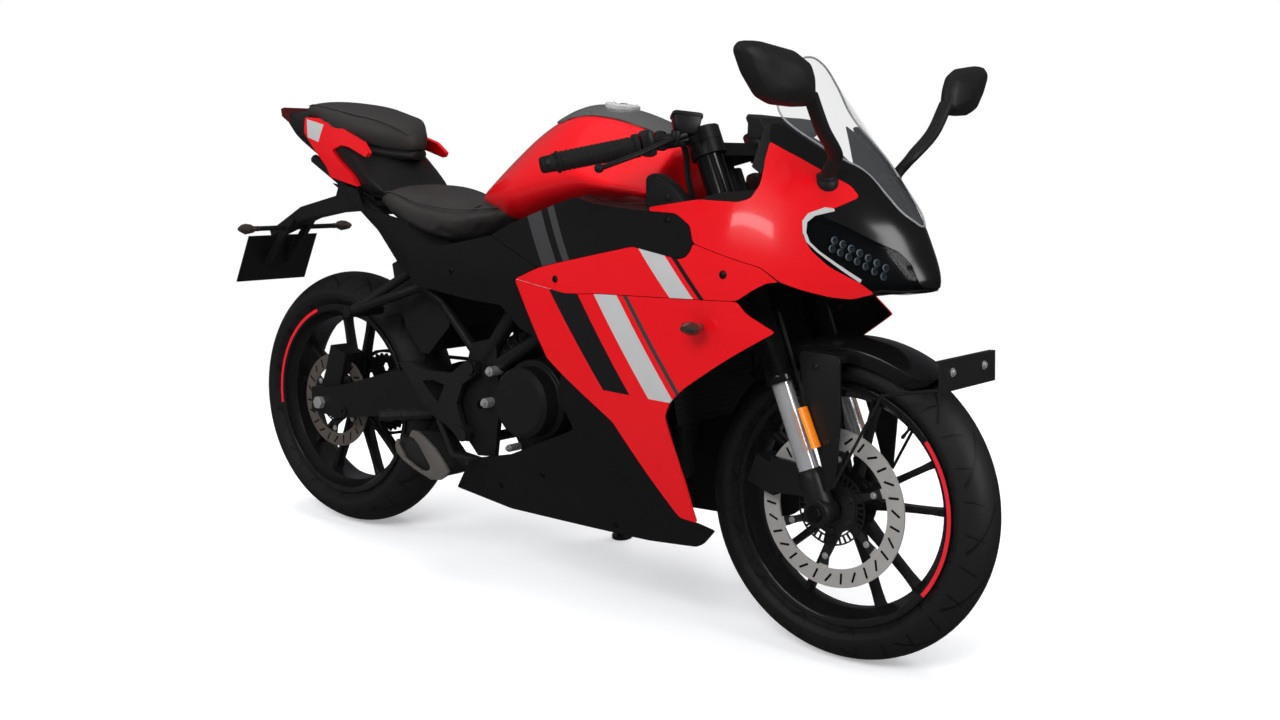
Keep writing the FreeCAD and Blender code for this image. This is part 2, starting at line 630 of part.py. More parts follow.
def rear_wheel_nodes():
    """Rear tyre, cast wheel, brake disc and the chain's sprocket."""
    NODES["rear_tyre"] = tyre(REAR_AXLE, REAR_TYRE_RADIUS, REAR_TYRE_WIDTH, REAR_RIM_WIDTH)
    face = CHAIN_PLANE - SPROCKET_THICKNESS / 2
    NODES["rear_rim"] = rim(REAR_AXLE, REAR_RIM_WIDTH, face, REAR_DISC_PLANE)
    NODES["rear_disc"] = disc(REAR_AXLE, -1, REAR_DISC_PLANE, REAR_DISC_RADIUS, REAR_DISC_BAND,
                              REAR_SLOTS, DISC_ARMS)
    NODES["rear_sprocket"] = toothed_wheel(REAR_AXLE.add(ACROSS * CHAIN_PLANE), SPROCKET_RADIUS, SPROCKET_TEETH)


FRONT_HUB_LEFT = 60.0
DISC_ARMS = 6


def toothed_wheel(centre, radius, teeth):
    """Sprocket plate with pointed teeth and lightening holes."""
    points = []
    for n in range(teeth * 2):
        reach = radius + SPROCKET_TOOTH / 2 if n % 2 else radius - SPROCKET_TOOTH / 2
        angle = math.pi * n / teeth
        points.append(V(centre.x + reach * math.cos(angle), centre.y - SPROCKET_THICKNESS / 2,
                        centre.z + reach * math.sin(angle)))
    plate = polygon_face(points).extrude(ACROSS * SPROCKET_THICKNESS)
    reach = ACROSS * OVERRUN
    plate = plate.cut(bar(centre.sub(reach), centre.add(reach), (AXLE_RADIUS + RUNNING_CLEARANCE) / BORE_SHARE, 12))
    hole_radius = radius * SPROCKET_HOLE_SHARE
    hole_place = radius * SPROCKET_HOLE_PLACE_SHARE
    hole = bar(centre.add(V(0, -OVERRUN, hole_place)), centre.add(V(0, OVERRUN, hole_place)), hole_radius, 6)
    for n in range(SPROCKET_HOLES):
        plate = plate.cut(spun(hole, centre, 360 / SPROCKET_HOLES * n))
    return plate


SPROCKET_HOLES = 6
SPROCKET_HOLE_SHARE = 0.13
SPROCKET_HOLE_PLACE_SHARE = 0.68


# Steering assembly

FORK_CLAMP_HEIGHTS = (LOWER_CLAMP_HEIGHT, UPPER_CLAMP_HEIGHT)


def fork_leg(side):
    """One fork leg: thick outer tube above, bright inner tube and the lug that holds the axle."""
    seal = on_fork(FORK_SEAL_HEIGHT, side)
    top = on_fork(FORK_TOP_HEIGHT, side)
    lug_top = on_fork(FORK_LUG_TOP_HEIGHT, side)
    foot = on_fork(FRONT_AXLE.z, side)
    outer = bar(seal, top, FORK_OUTER_RADIUS, 20)
    collar = bar(along(seal, -STEER_AXIS, COLLAR_LENGTH), along(seal, STEER_AXIS, COLLAR_LENGTH),
                 FORK_OUTER_RADIUS + COLLAR_RISE, 20)
    inner = bar(foot, seal, FORK_INNER_RADIUS, 20)
    lug = bar(foot, lug_top, FORK_LUG_RADIUS, 12)
    boss_in = foot.sub(ACROSS * (side * LUG_BOSS_INNER))
    boss_out = foot.add(ACROSS * (side * LUG_BOSS_OUTER))
    boss = bar(boss_in, boss_out, FORK_LUG_RADIUS * BOSS_SHARE, 12)
    leg = joined([outer, collar, inner, lug, boss])
    reach = ACROSS * (side * OVERRUN * 2)
    return leg.cut(bar(foot.sub(reach), foot.add(reach), (AXLE_RADIUS + AXLE_CLEARANCE) / BORE_SHARE, 12))


COLLAR_LENGTH = 9.0
COLLAR_RISE = 2.5
BOSS_SHARE = 1.04
LUG_BOSS_INNER = 20.0
LUG_BOSS_OUTER = 26.0


def fork_clamp(height):
    """Plate that ties both fork legs to the steering stem."""
    centre = on_steering(height)
    half = STEER_AXIS * (CLAMP_THICKNESS / 2)
    solids = []
    for side in (-1, 1):
        leg = leg_beside(centre, side)
        solids.append(bar(leg.sub(half), leg.add(half), FORK_OUTER_RADIUS + CLAMP_WALL, 12))
    forward = V(STEER_AXIS.z, 0, -STEER_AXIS.x)
    corners = []
    for x, y in ((-CLAMP_REACH, -FORK_HALF_SPAN * CLAMP_REAR_SHARE), (-CLAMP_REACH, FORK_HALF_SPAN * CLAMP_REAR_SHARE),
                 (FORK_SET + CLAMP_WALL, FORK_HALF_SPAN), (FORK_SET + CLAMP_WALL, -FORK_HALF_SPAN)):
        corners.append(centre.add(forward * x).add(ACROSS * y).sub(half))
    solids.append(polygon_face(corners).extrude(STEER_AXIS * CLAMP_THICKNESS))
    plate = joined(solids)
    for side in (-1, 1):
        leg = leg_beside(centre, side)
        reach = STEER_AXIS * OVERRUN
        plate = plate.cut(bar(leg.sub(reach), leg.add(reach), (FORK_OUTER_RADIUS + TYRE_FIT) / BORE_SHARE, 12))
    return plate


CLAMP_WALL = 8.0
BORE_SHARE = math.cos(math.pi / 12)
CLAMP_REAR_SHARE = 0.35


def leg_beside(centre, side):
    """Point of a fork leg's centre line level, along the steering axis, with a point of that axis."""
    forward = V(STEER_AXIS.z, 0, -STEER_AXIS.x)
    return centre.add(forward * FORK_SET).add(ACROSS * (side * FORK_HALF_SPAN))


def steering_nodes():
    """Everything that turns with the handlebars apart from the wheel."""
    NODES["fork_legs"] = Part.makeCompound([fork_leg(-1), fork_leg(1)])
    clamps = [fork_clamp(height) for height in FORK_CLAMP_HEIGHTS]
    stem = bar(on_steering(LOWER_CLAMP_HEIGHT), on_steering(UPPER_CLAMP_HEIGHT), STEM_RADIUS)
    NODES["fork_clamps"] = joined(clamps + [stem])
    bars = handlebar(-1)
    NODES["handlebars"] = Part.makeCompound([bars, mirrored(bars)])
    controls = hand_control(-1)
    NODES["hand_controls"] = Part.makeCompound([controls, mirrored(controls)])
    NODES["front_axle"] = front_axle()
    NODES["front_mudguard"] = mudguard()
    bracket_face = FORK_HALF_SPAN - FORK_LUG_RADIUS / 4
    body = caliper(FRONT_AXLE, FRONT_DISC_PLANE, FRONT_DISC_RADIUS, FRONT_DISC_BAND, FRONT_CALIPER_DEG,
                   FRONT_BRACKET_SHARES, bracket_face)
    NODES["front_caliper"] = body.cut(pin(on_fork(FRONT_AXLE.z, -1), on_fork(FORK_SEAL_HEIGHT, -1),
                                          FORK_LUG_RADIUS + TYRE_FIT))
    NODES["front_plate"] = front_plate()


FRONT_CALIPER_DEG = -72.0
FRONT_BRACKET_SHARES = ((0.412, 0.274), (0.478, 0.269), (0.491, 0.243), (0.478, 0.229), (0.412, 0.225))
REAR_CALIPER_DEG = 16.0


def front_axle():
    """Axle through both fork lugs and the front hub, with a head at each end."""
    end = FORK_HALF_SPAN + LUG_BOSS_OUTER
    shaft = pin(FRONT_AXLE.sub(ACROSS * end), FRONT_AXLE.add(ACROSS * end), AXLE_RADIUS)
    heads = [bar(FRONT_AXLE.add(ACROSS * (side * end)), FRONT_AXLE.add(ACROSS * (side * (end + AXLE_NUT_LENGTH / 2))),
                 AXLE_NUT_RADIUS, 6) for side in (-1, 1)]
    return joined([shaft] + heads)


BAR_ROOT_SHARES = (0.298, -0.081, 0.699)
BAR_END_SHARES = (0.175, -0.254, 0.657)
LEVER_REACH = 46.0
CONTROL_RADIUS = 21.0
CONTROL_LENGTH = 40.0
RESERVOIR_RADIUS = 18.0
RESERVOIR_HEIGHT = 34.0


def handlebar(side):
    """Clip-on bar of one side: ring round the fork leg, bar, grip and bar-end weight."""
    leg = leg_beside(on_steering(UPPER_CLAMP_HEIGHT), side)
    base = along(leg, STEER_AXIS, CLAMP_THICKNESS / 2 + PANEL_GAP)
    top = along(base, STEER_AXIS, CLAMP_THICKNESS)
    reach = STEER_AXIS * OVERRUN
    root, end = place(BAR_ROOT_SHARES), place(BAR_END_SHARES)
    way = end.sub(root).normalize()
    root = base.add(STEER_AXIS * (CLAMP_THICKNESS / 2)).add(way * (FORK_OUTER_RADIUS / 2))
    way = end.sub(root).normalize()
    clamp = bar(base, top, FORK_OUTER_RADIUS + CLAMP_WALL, 12)
    stalk = bar(root, end, BAR_RADIUS)
    grip = bar(end.sub(way * GRIP_LENGTH), end, GRIP_RADIUS, 12)
    weight = bar(end, end.add(way * BAR_END_LENGTH), GRIP_RADIUS * BAR_END_SHARE)
    bore = bar(base.sub(reach), top.add(reach), (FORK_OUTER_RADIUS + TYRE_FIT) / BORE_SHARE, 12)
    return joined([clamp, stalk, grip, weight]).cut(bore)


BAR_END_SHARE = 0.85


def hand_control(side):
    """Lever, its perch, switch pod and fluid pot clamped inboard of one grip."""
    leg = leg_beside(on_steering(UPPER_CLAMP_HEIGHT), side)
    root = along(leg, STEER_AXIS, CLAMP_THICKNESS + PANEL_GAP)
    end = place(BAR_END_SHARES)
    way = end.sub(root).normalize()
    root = root.add(way * (FORK_OUTER_RADIUS / 2))
    grip_start = end.sub(way * (GRIP_LENGTH + PANEL_GAP))
    pod_end = grip_start.sub(way * CONTROL_LENGTH)
    pod = sleeve(pod_end, grip_start, CONTROL_RADIUS, BAR_RADIUS + PANEL_GAP / 2)
    ahead = way.cross(V(0, 0, 1)).normalize()
    ahead = ahead if ahead.x > 0 else ahead * -1
    perch = bar(pod_end.add(way * (CONTROL_LENGTH / 2)).add(ahead * (CONTROL_RADIUS - PANEL_WALL)),
                pod_end.add(way * (CONTROL_LENGTH / 2)).add(ahead * LEVER_REACH), LEVER_WIDTH)
    pivot = pod_end.add(way * (CONTROL_LENGTH / 2)).add(ahead * LEVER_REACH)
    blade_end = end.add(ahead * (LEVER_REACH * LEVER_TIP_SHARE))
    blade_mid = along(pivot, blade_end.sub(pivot), GRIP_LENGTH * LEVER_BEND_SHARE).add(ahead * LEVER_WIDTH)
    blade = mitred_bar([pivot, blade_mid, blade_end], LEVER_WIDTH / 2, 8)
    pot_base = pod_end.add(ahead * LEVER_REACH).add(V(0, 0, CONTROL_RADIUS / 2))
    pot = bar(pot_base, pot_base.add(V(0, 0, RESERVOIR_HEIGHT)), RESERVOIR_RADIUS, 12)
    arm = bar(pivot, pot_base.add(V(0, 0, RESERVOIR_RADIUS / 2)), LEVER_WIDTH, 8)
    return joined([pod, perch, blade, arm, pot])


LEVER_TIP_SHARE = 0.9
LEVER_BEND_SHARE = 0.5


def mudguard():
    """Front mudguard: a trough over the tyre with an arm down to each fork lug."""
    inner = FRONT_TYRE_RADIUS + MUDGUARD_GAP
    half = MUDGUARD_HALF_WIDTH
    drop = MUDGUARD_HALF_WIDTH * MUDGUARD_SIDE_SHARE

    def trough_ring(degrees):
        ways = math.cos(math.radians(degrees)), math.sin(math.radians(degrees))
        corners = []
        for radius, wide in ((inner + MUDGUARD_WALL, half), (inner, half - MUDGUARD_WALL)):
            side = [(radius - drop * r_share, wide * y_share) for r_share, y_share in MUDGUARD_SECTION]
            row = [(r, -y) for r, y in side] + [(r, y) for r, y in reversed(side)]
            corners += row if radius > inner else reversed(row)
        return [FRONT_AXLE.add(V(r * ways[0], y, r * ways[1])) for r, y in corners]

    step = (MUDGUARD_REAR_DEG - MUDGUARD_FRONT_DEG) / MUDGUARD_STEPS
    trough = ring_solid([trough_ring(MUDGUARD_FRONT_DEG + step * n) for n in range(MUDGUARD_STEPS + 1)])
    arms = []
    for side in (-1, 1):
        y = side * (FORK_HALF_SPAN + FORK_LUG_RADIUS * ARM_SET_SHARE)
        plate = slab(MUDGUARD_ARM_SHARES, y - MUDGUARD_WALL, y + MUDGUARD_WALL)
        link = slab(MUDGUARD_LINK_SHARES, min(side * (half - MUDGUARD_WALL), y), max(side * (half - MUDGUARD_WALL), y))
        height = ARM_PEG_SHARE * WHEELBASE
        peg = bar(V(ARM_FRONT_SHARE * WHEELBASE, y, height), V(on_fork(height, side).x + ARM_PEG_SINK, y, height), ARM_PEG_RADIUS, 8)
        arms += [plate, link, peg]
    return joined([trough] + arms)


MUDGUARD_SIDE_SHARE = 0.5
MUDGUARD_SECTION = ((1.25, 1), (0.5, 1), (0, 0.55))
MUDGUARD_STEPS = 9
ARM_SET_SHARE = 0.3
ARM_PEG_SHARE = 0.274
ARM_FRONT_SHARE = 0.507
ARM_PEG_RADIUS = 6.0
ARM_PEG_SINK = 14.0
MUDGUARD_ARM_SHARES = (
    (0.454, 0.425), (0.518, 0.425), (0.524, 0.346), (0.521, 0.254), (0.51, 0.243), (0.494, 0.29),
    (0.471, 0.346))
MUDGUARD_LINK_SHARES = ((0.459, 0.424), (0.515, 0.424), (0.515, 0.413), (0.459, 0.413))


def front_plate():
    """Blank front plate on its bracket over the tyre, held by rods down to the lugs."""
    centre = place(FRONT_PLATE_SHARES)
    tilt = math.radians(FRONT_PLATE_TILT_DEG)
    up = V(-math.sin(tilt), 0, math.cos(tilt))
    back = V(-math.cos(tilt), 0, -math.sin(tilt))
    corners = [centre.add(ACROSS * (sy * FRONT_PLATE_WIDTH / 2)).add(up * (sz * FRONT_PLATE_HEIGHT / 2))
               for sy, sz in ((-1, -1), (1, -1), (1, 1), (-1, 1))]
    plate = polygon_face(corners).extrude(back * FRONT_PLATE_WALL)
    top = [corners[3], corners[2], corners[2].add(back * FRONT_PLATE_LEDGE), corners[3].add(back * FRONT_PLATE_LEDGE)]
    ledge = polygon_face(top).extrude(up * -FRONT_PLATE_WALL)
    rods = []
    for side in (-1, 1):
        low = corners[0 if side < 0 else 1].add(back * FRONT_PLATE_WALL).add(up * PLATE_ROD_RADIUS * 2)
        knee = place(PLATE_KNEE_SHARES)
        knee = V(knee.x, side * knee.y, knee.z)
        lug = V(FRONT_AXLE.x + FORK_LUG_RADIUS, side * (FORK_HALF_SPAN + FORK_LUG_RADIUS * ARM_SET_SHARE + PLATE_ROD_RADIUS),
                FRONT_AXLE.z + FORK_LUG_RADIUS * 2)
        rods.append(mitred_bar([low, knee, lug], PLATE_ROD_RADIUS, 6))
    return joined([plate, ledge] + rods)


FRONT_PLATE_SHARES = (0.66, 0, 0.415)
FRONT_PLATE_TILT_DEG = 4.0
FRONT_PLATE_WIDTH = 210.0
FRONT_PLATE_HEIGHT = 54.0
FRONT_PLATE_WALL = 2.5
FRONT_PLATE_LEDGE = 12.0
PLATE_ROD_RADIUS = 3.0
PLATE_KNEE_SHARES = (0.581, 0.076, 0.382)


# Chassis

def both(points):
    """Right-hand points and the same points on the left."""
    return [points, [V(p.x, -p.y, p.z) for p in points]]


HEAD_LOW = 770.0
HEAD_HIGH = 880.0
FRAME_MAIN_SHARES = (
    (0.29, -0.029, 0.599), (0.221, -0.082, 0.515), (0.088, -0.087, 0.471), (-0.04, -0.087, 0.434),
    (-0.103, -0.087, 0.346))
FRAME_LOWER_SHARES = (
    (0.307, -0.022, 0.588), (0.243, -0.074, 0.507), (0.147, -0.082, 0.412), (0.007, -0.087, 0.39),
    (-0.099, -0.087, 0.324))
FRAME_HANGER_SHARES = ((0.193, -0.079, 0.456), (0.213, -0.079, 0.368), (0.197, -0.076, 0.294))
SEAT_RAIL_SHARES = (
    (-0.044, -0.082, 0.441), (-0.221, -0.076, 0.509), (-0.324, -0.074, 0.532),
    (-0.382, -0.068, 0.557), (-0.559, -0.051, 0.634))
SEAT_STAY_SHARES = ((-0.138, -0.077, 0.351), (-0.225, -0.077, 0.434), (-0.382, -0.068, 0.557))
PIVOT_PLATE_SHARES = (
    (-0.077, 0.382), (-0.129, 0.368), (-0.147, 0.294), (-0.14, 0.221), (-0.11, 0.193),
    (-0.074, 0.197), (-0.066, 0.279))
CROSS_TUBES_SHARES = ((-0.11, 0.091, 0.218), (-0.221, 0.076, 0.509), (-0.382, 0.068, 0.557), (-0.072, 0.085, 0.396))
PIVOT_HEIGHT = 372.0
PIVOT_SHARE = -0.107
PIVOT_PLATE_INNER = 119.0


def frame():
    """Tubular main frame: head tube, two pairs of side tubes, pivot plates and cross tubes."""
    head = bar(on_steering(HEAD_LOW), on_steering(HEAD_HIGH), HEAD_TUBE_RADIUS, 12)
    solids = []
    for table, radius in ((FRAME_MAIN_SHARES, FRAME_TUBE_RADIUS), (FRAME_LOWER_SHARES, FRAME_TUBE_RADIUS),
                          (FRAME_HANGER_SHARES, SMALL_TUBE_RADIUS)):
        for side in (1, -1):
            points = [place(row) for row in table]
            points = [V(p.x, p.y * side, p.z) for p in points]
            solids.append(mitred_bar(points, radius))
    gusset = []
    for side in (-1, 1):
        near, far = side * HEAD_TUBE_RADIUS * GUSSET_SINK_SHARE, side * (HEAD_TUBE_RADIUS + GUSSET_REACH)
        gusset.append(slab(HEAD_GUSSET_SHARES, min(near, far), max(near, far)))
        inner = side * PIVOT_PLATE_INNER
        outer = side * (PIVOT_PLATE_INNER + PIVOT_PLATE_THICKNESS)
        solids.append(slab(PIVOT_PLATE_SHARES, min(inner, outer), max(inner, outer)))
        root = place(FAIRING_STAY_SHARES)
        reach = half_width(FAIRING_STAY_SHARES[0], FAIRING_STAY_SHARES[2]) - PANEL_WALL / 2
        solids.append(bar(V(root.x, side * FRAME_HALF_WIDTH * FRAME_STAY_SHARE, root.z),
                          V(root.x, side * reach, root.z), STAY_RADIUS, 8))
    for x, y, z in CROSS_TUBES_SHARES[:1] + CROSS_TUBES_SHARES[3:]:
        solids.append(bar(place((x, -y, z)), place((x, y, z)), SMALL_TUBE_RADIUS))
    body = joined([head] + gusset + solids)
    pivot = V(PIVOT_SHARE * WHEELBASE, 0, PIVOT_HEIGHT)
    reach = ACROSS * (PIVOT_PLATE_INNER + OVERRUN)
    bore = bar(pivot.sub(reach), pivot.add(reach), PIVOT_RADIUS / 2)
    return body.cut(bore).cut(bar(on_steering(HEAD_LOW - OVERRUN), on_steering(HEAD_HIGH + OVERRUN),
                                  (STEM_RADIUS + RUNNING_CLEARANCE) / BORE_SHARE, 12))


HEAD_GUSSET_SHARES = ((0.324, 0.566), (0.294, 0.56), (0.221, 0.507), (0.243, 0.581), (0.274, 0.625), (0.288, 0.634))
GUSSET_REACH = 14.0
FAIRING_STAY_SHARES = (0.213, 0, 0.368)
FRAME_STAY_SHARE = 0.95
STAY_RADIUS = 7.0
GUSSET_SINK_SHARE = 0.65


def subframe():
    """Seat rails, their stays and the triangles that carry the passenger pegs."""
    solids = []
    for table, radius in ((SEAT_RAIL_SHARES, SMALL_TUBE_RADIUS), (SEAT_STAY_SHARES, SMALL_TUBE_RADIUS),
                          (PEG_UPPER_SHARES, SMALL_TUBE_RADIUS), (PEG_LOWER_SHARES, SMALL_TUBE_RADIUS)):
        for side in (1, -1):
            points = [V(p.x, p.y * side, p.z) for p in [place(row) for row in table]]
            solids.append(mitred_bar(points, radius))
    for x, y, z in CROSS_TUBES_SHARES[1:3]:
        solids.append(bar(place((x, -y, z)), place((x, y, z)), SMALL_TUBE_RADIUS))
    for side in (-1, 1):
        peg = place(PEG_JOINT_SHARES)
        peg = V(peg.x, peg.y * side, peg.z)
        solids.append(bar(peg.sub(ACROSS * (side * SMALL_TUBE_RADIUS)), peg.add(ACROSS * (side * PEG_LENGTH)),
                          PEG_RADIUS))
    return joined(solids)


PEG_UPPER_SHARES = ((-0.25, -0.078, 0.515), (-0.279, -0.082, 0.465), (-0.372, -0.131, 0.394))
PEG_LOWER_SHARES = ((-0.212, -0.078, 0.422), (-0.247, -0.087, 0.446), (-0.372, -0.131, 0.394))
PEG_JOINT_SHARES = (-0.372, -0.131, 0.394)
PEG_LENGTH = 88.0
PEG_RADIUS = 13.0


def swingarm():
    """Two box arms joined ahead of the tyre, with a pivot tube and axle slots."""
    inner = SWINGARM_HALF_SPAN - SWINGARM_WALL / 2
    arms = [slab(SWINGARM_SHARES, min(side * inner, side * (inner + SWINGARM_WALL)),
                 max(side * inner, side * (inner + SWINGARM_WALL))) for side in (-1, 1)]
    bridge = slab(SWINGARM_BRIDGE_SHARES, -inner - SWINGARM_WALL / 2, inner + SWINGARM_WALL / 2)
    pivot = V(PIVOT_SHARE * WHEELBASE, 0, PIVOT_HEIGHT)
    half = PIVOT_PLATE_INNER - PANEL_GAP
    tube_body = bar(pivot.sub(ACROSS * half), pivot.add(ACROSS * half), PIVOT_RADIUS + SWINGARM_WALL / 3, 12)
    spools = [bar(place(SPOOL_SHARES).add(ACROSS * (side * inner)),
                  place(SPOOL_SHARES).add(ACROSS * (side * (inner + SWINGARM_WALL + SPOOL_LENGTH))),
                  SPOOL_RADIUS) for side in (-1, 1)]
    body = joined(arms + [bridge, tube_body] + spools)
    reach = ACROSS * (PIVOT_PLATE_INNER + OVERRUN)
    body = body.cut(bar(pivot.sub(reach), pivot.add(reach), PIVOT_RADIUS / 2))
    body = body.cut(bar(REAR_AXLE.sub(reach), REAR_AXLE.add(reach), (AXLE_RADIUS + AXLE_CLEARANCE) / BORE_SHARE, 12))
    spool = place(SPOOL_SHARES)
    for side in (-1, 1):
        face = spool.add(ACROSS * (side * (inner + SWINGARM_WALL + SPOOL_LENGTH)))
        body = body.cut(pin(face.add(ACROSS * (side * OVERRUN)), face.sub(ACROSS * (side * SPOOL_DEPTH)), SPOOL_BORE_RADIUS))
    return body


SWINGARM_SHARES = (
    (-0.526, 0.244), (-0.471, 0.251), (-0.412, 0.268), (-0.324, 0.297), (-0.243, 0.309),
    (-0.11, 0.296), (-0.082, 0.274), (-0.11, 0.251), (-0.265, 0.243), (-0.353, 0.218),
    (-0.456, 0.199), (-0.526, 0.203))
SWINGARM_BRIDGE_SHARES = ((-0.25, 0.293), (-0.118, 0.288), (-0.11, 0.259), (-0.254, 0.251))
SPOOL_SHARES = (-0.441, 0, 0.213)
SPOOL_RADIUS = 11.0
SPOOL_LENGTH = 6.0
SPOOL_BORE_RADIUS = 4.0
SPOOL_DEPTH = 22.0


def rear_axle():
    """Axle through the swingarm and rear hub with its nuts."""
    end = SWINGARM_HALF_SPAN + SWINGARM_WALL / 2
    shaft = pin(REAR_AXLE.sub(ACROSS * end), REAR_AXLE.add(ACROSS * end), AXLE_RADIUS)
    heads = [bar(REAR_AXLE.add(ACROSS * (side * end)), REAR_AXLE.add(ACROSS * (side * (end + AXLE_NUT_LENGTH))),
                 AXLE_NUT_RADIUS, 6) for side in (-1, 1)]
    return joined([shaft] + heads)


def rear_shock():
    """Coil spring on its damper, from the frame's cross tube down to the swingarm bridge."""
    top, low = [place(row) for row in SHOCK_SHARES]
    way = low.sub(top).normalize()
    length = top.distanceToPoint(low)
    profile = [(0.0, 0.0), (SHOCK_BODY_RADIUS, 0.0), (SHOCK_BODY_RADIUS, length * SPRING_START_SHARE)]
    pitch = length * SPRING_RUN_SHARE / SPRING_TURNS
    for n in range(SPRING_TURNS):
        at = length * SPRING_START_SHARE + pitch * n
        profile += [(SPRING_RADIUS, at + pitch * SPRING_RISE_SHARE), (SPRING_RADIUS, at + pitch / 2),
                    (SPRING_RADIUS - SPRING_WIRE, at + pitch)]
    profile += [(SHOCK_BODY_RADIUS / 2, profile[-1][1]), (SHOCK_BODY_RADIUS / 2, length), (0.0, length)]
    return lathe(profile, top, way, 12)


SPRING_RISE_SHARE = 0.2
SHOCK_SHARES = ((-0.079, 0, 0.39), (-0.185, 0, 0.293))
SPRING_START_SHARE = 0.22
SPRING_RUN_SHARE = 0.62


def engine():
    """Engine mass: crankcase with a forward-leaning cylinder and its head."""
    case = slab(CRANKCASE_SHARES, -CRANKCASE_HALF, CRANKCASE_HALF)
    barrel = slab(CYLINDER_SHARES, -CYLINDER_HALF, CYLINDER_HALF)
    for n in range(FIN_COUNT):
        share = (n + 0.5) / FIN_COUNT
        low = place(FIN_LOW_SHARES).add((place(FIN_HIGH_SHARES).sub(place(FIN_LOW_SHARES))) * share)
        way = place(FIN_HIGH_SHARES).sub(place(FIN_LOW_SHARES)).normalize()
        side = V(way.z, 0, -way.x)
        half = FIN_REACH
        corners = [low.add(side * -half).add(ACROSS * -(CYLINDER_HALF + FIN_RISE)),
                   low.add(side * half).add(ACROSS * -(CYLINDER_HALF + FIN_RISE)),
                   low.add(side * half).add(ACROSS * (CYLINDER_HALF + FIN_RISE)),
                   low.add(side * -half).add(ACROSS * (CYLINDER_HALF + FIN_RISE))]
        barrel = barrel.fuse(polygon_face(corners).extrude(way * FIN_WALL))
    pocket = slab(SPROCKET_POCKET_SHARES, CRANKCASE_HALF - SPROCKET_POCKET_DEPTH, CRANKCASE_HALF + OVERRUN)
    return joined([case, barrel]).cut(pocket)


CRANKCASE_SHARES = (
    (-0.068, 0.243), (-0.074, 0.309), (-0.044, 0.368), (0.044, 0.379), (0.132, 0.368),
    (0.193, 0.309), (0.193, 0.243), (0.162, 0.193), (0.044, 0.171), (-0.029, 0.184))
CYLINDER_SHARES = (
    (0.044, 0.353), (0.132, 0.353), (0.193, 0.279), (0.221, 0.309), (0.232, 0.382), (0.184, 0.434),
    (0.11, 0.456), (0.066, 0.441))
SPROCKET_POCKET_SHARES = ((-0.088, 0.232), (-0.015, 0.232), (-0.015, 0.346), (-0.088, 0.346))
SPROCKET_POCKET_DEPTH = 20.0
CRANKCASE_HALF = 92.0
CYLINDER_HALF = 84.0
FIN_COUNT = 4
FIN_LOW_SHARES = (0.11, 0, 0.382)
FIN_HIGH_SHARES = (0.147, 0, 0.43)
FIN_REACH = 92.0
FIN_RISE = 7.0
FIN_WALL = 3.0


def engine_covers():
    """Round clutch cover on the right and generator cover on the left, each on its flange."""
    solids = []
    for shares, side, rise in ((CLUTCH_SHARES, -1, CLUTCH_FLANGE), (GENERATOR_SHARES, 1, GENERATOR_FLANGE)):
        centre = place(shares)
        start = V(centre.x, side * CRANKCASE_HALF, centre.z)
        flange = bar(start, start.add(ACROSS * (side * rise)), COVER_RADIUS + COVER_FLANGE_RISE, 20)
        profile = [(0.0, 0.0), (COVER_RADIUS, 0.0), (COVER_RADIUS, COVER_DEPTH - COVER_EDGE),
                   (COVER_RADIUS - COVER_EDGE, COVER_DEPTH), (0.0, COVER_DEPTH)]
        base = start.add(ACROSS * (side * rise))
        dome = lathe(profile, base, ACROSS * side, 20)
        solids.append(joined([flange, dome]))
    return Part.makeCompound(solids)


CLUTCH_SHARES = (0.007, 0, 0.297)
GENERATOR_SHARES = (0.082, 0, 0.291)
COVER_RADIUS = 72.0
CLUTCH_FLANGE = 44.0
GENERATOR_FLANGE = 24.0
COVER_FLANGE_RISE = 12.0
COVER_DEPTH = 46.0
COVER_EDGE = 9.0


def radiator():
    """Finned radiator core between two side tanks, ahead of the cylinder."""
    centre = place(RADIATOR_SHARES)
    tilt = RADIATOR_TILT_DEG
    core = Part.makeBox(RADIATOR_DEPTH, RADIATOR_WIDTH, RADIATOR_HEIGHT,
                        V(-RADIATOR_DEPTH / 2, -RADIATOR_WIDTH / 2, -RADIATOR_HEIGHT / 2))
    tanks = [Part.makeBox(RADIATOR_DEPTH + RADIATOR_TANK_RISE, RADIATOR_TANK, RADIATOR_HEIGHT,
                          V(-(RADIATOR_DEPTH + RADIATOR_TANK_RISE) / 2,
                            side * (RADIATOR_WIDTH + RADIATOR_TANK) / 2 - RADIATOR_TANK / 2, -RADIATOR_HEIGHT / 2))
             for side in (-1, 1)]
    body = joined([core] + tanks)
    body.rotate(V(0, 0, 0), ACROSS, tilt)
    body.translate(centre)
    pegs = []
    for side in (-1, 1):
        front, rear = [place((x, y * side, z)) for x, y, z in RADIATOR_PEG_SHARES]
        pegs.append(bar(front, rear, PEG_RADIUS / 2, 8))
    return joined([body] + pegs)


RADIATOR_PEG_SHARES = ((0.259, 0.033, 0.397), (0.213, 0.033, 0.397))


RADIATOR_SHARES = (0.259, 0, 0.368)
RADIATOR_TILT_DEG = -14.0
RADIATOR_DEPTH = 24.0
RADIATOR_WIDTH = 250.0
RADIATOR_HEIGHT = 190.0
RADIATOR_TANK = 26.0
RADIATOR_TANK_RISE = 10.0


def exhaust_pipe():
    """Header pipe from the front of the head, down and back under the crankcase."""
    return mitred_bar([place(row) for row in HEADER_SHARES], HEADER_RADIUS)


HEADER_SHARES = (
    (0.221, -0.022, 0.346), (0.235, -0.022, 0.221), (0.176, -0.022, 0.156), (0.044, -0.029, 0.151),
    (-0.088, -0.065, 0.163), (-0.176, -0.074, 0.174))
HEADER_RADIUS = 20.0


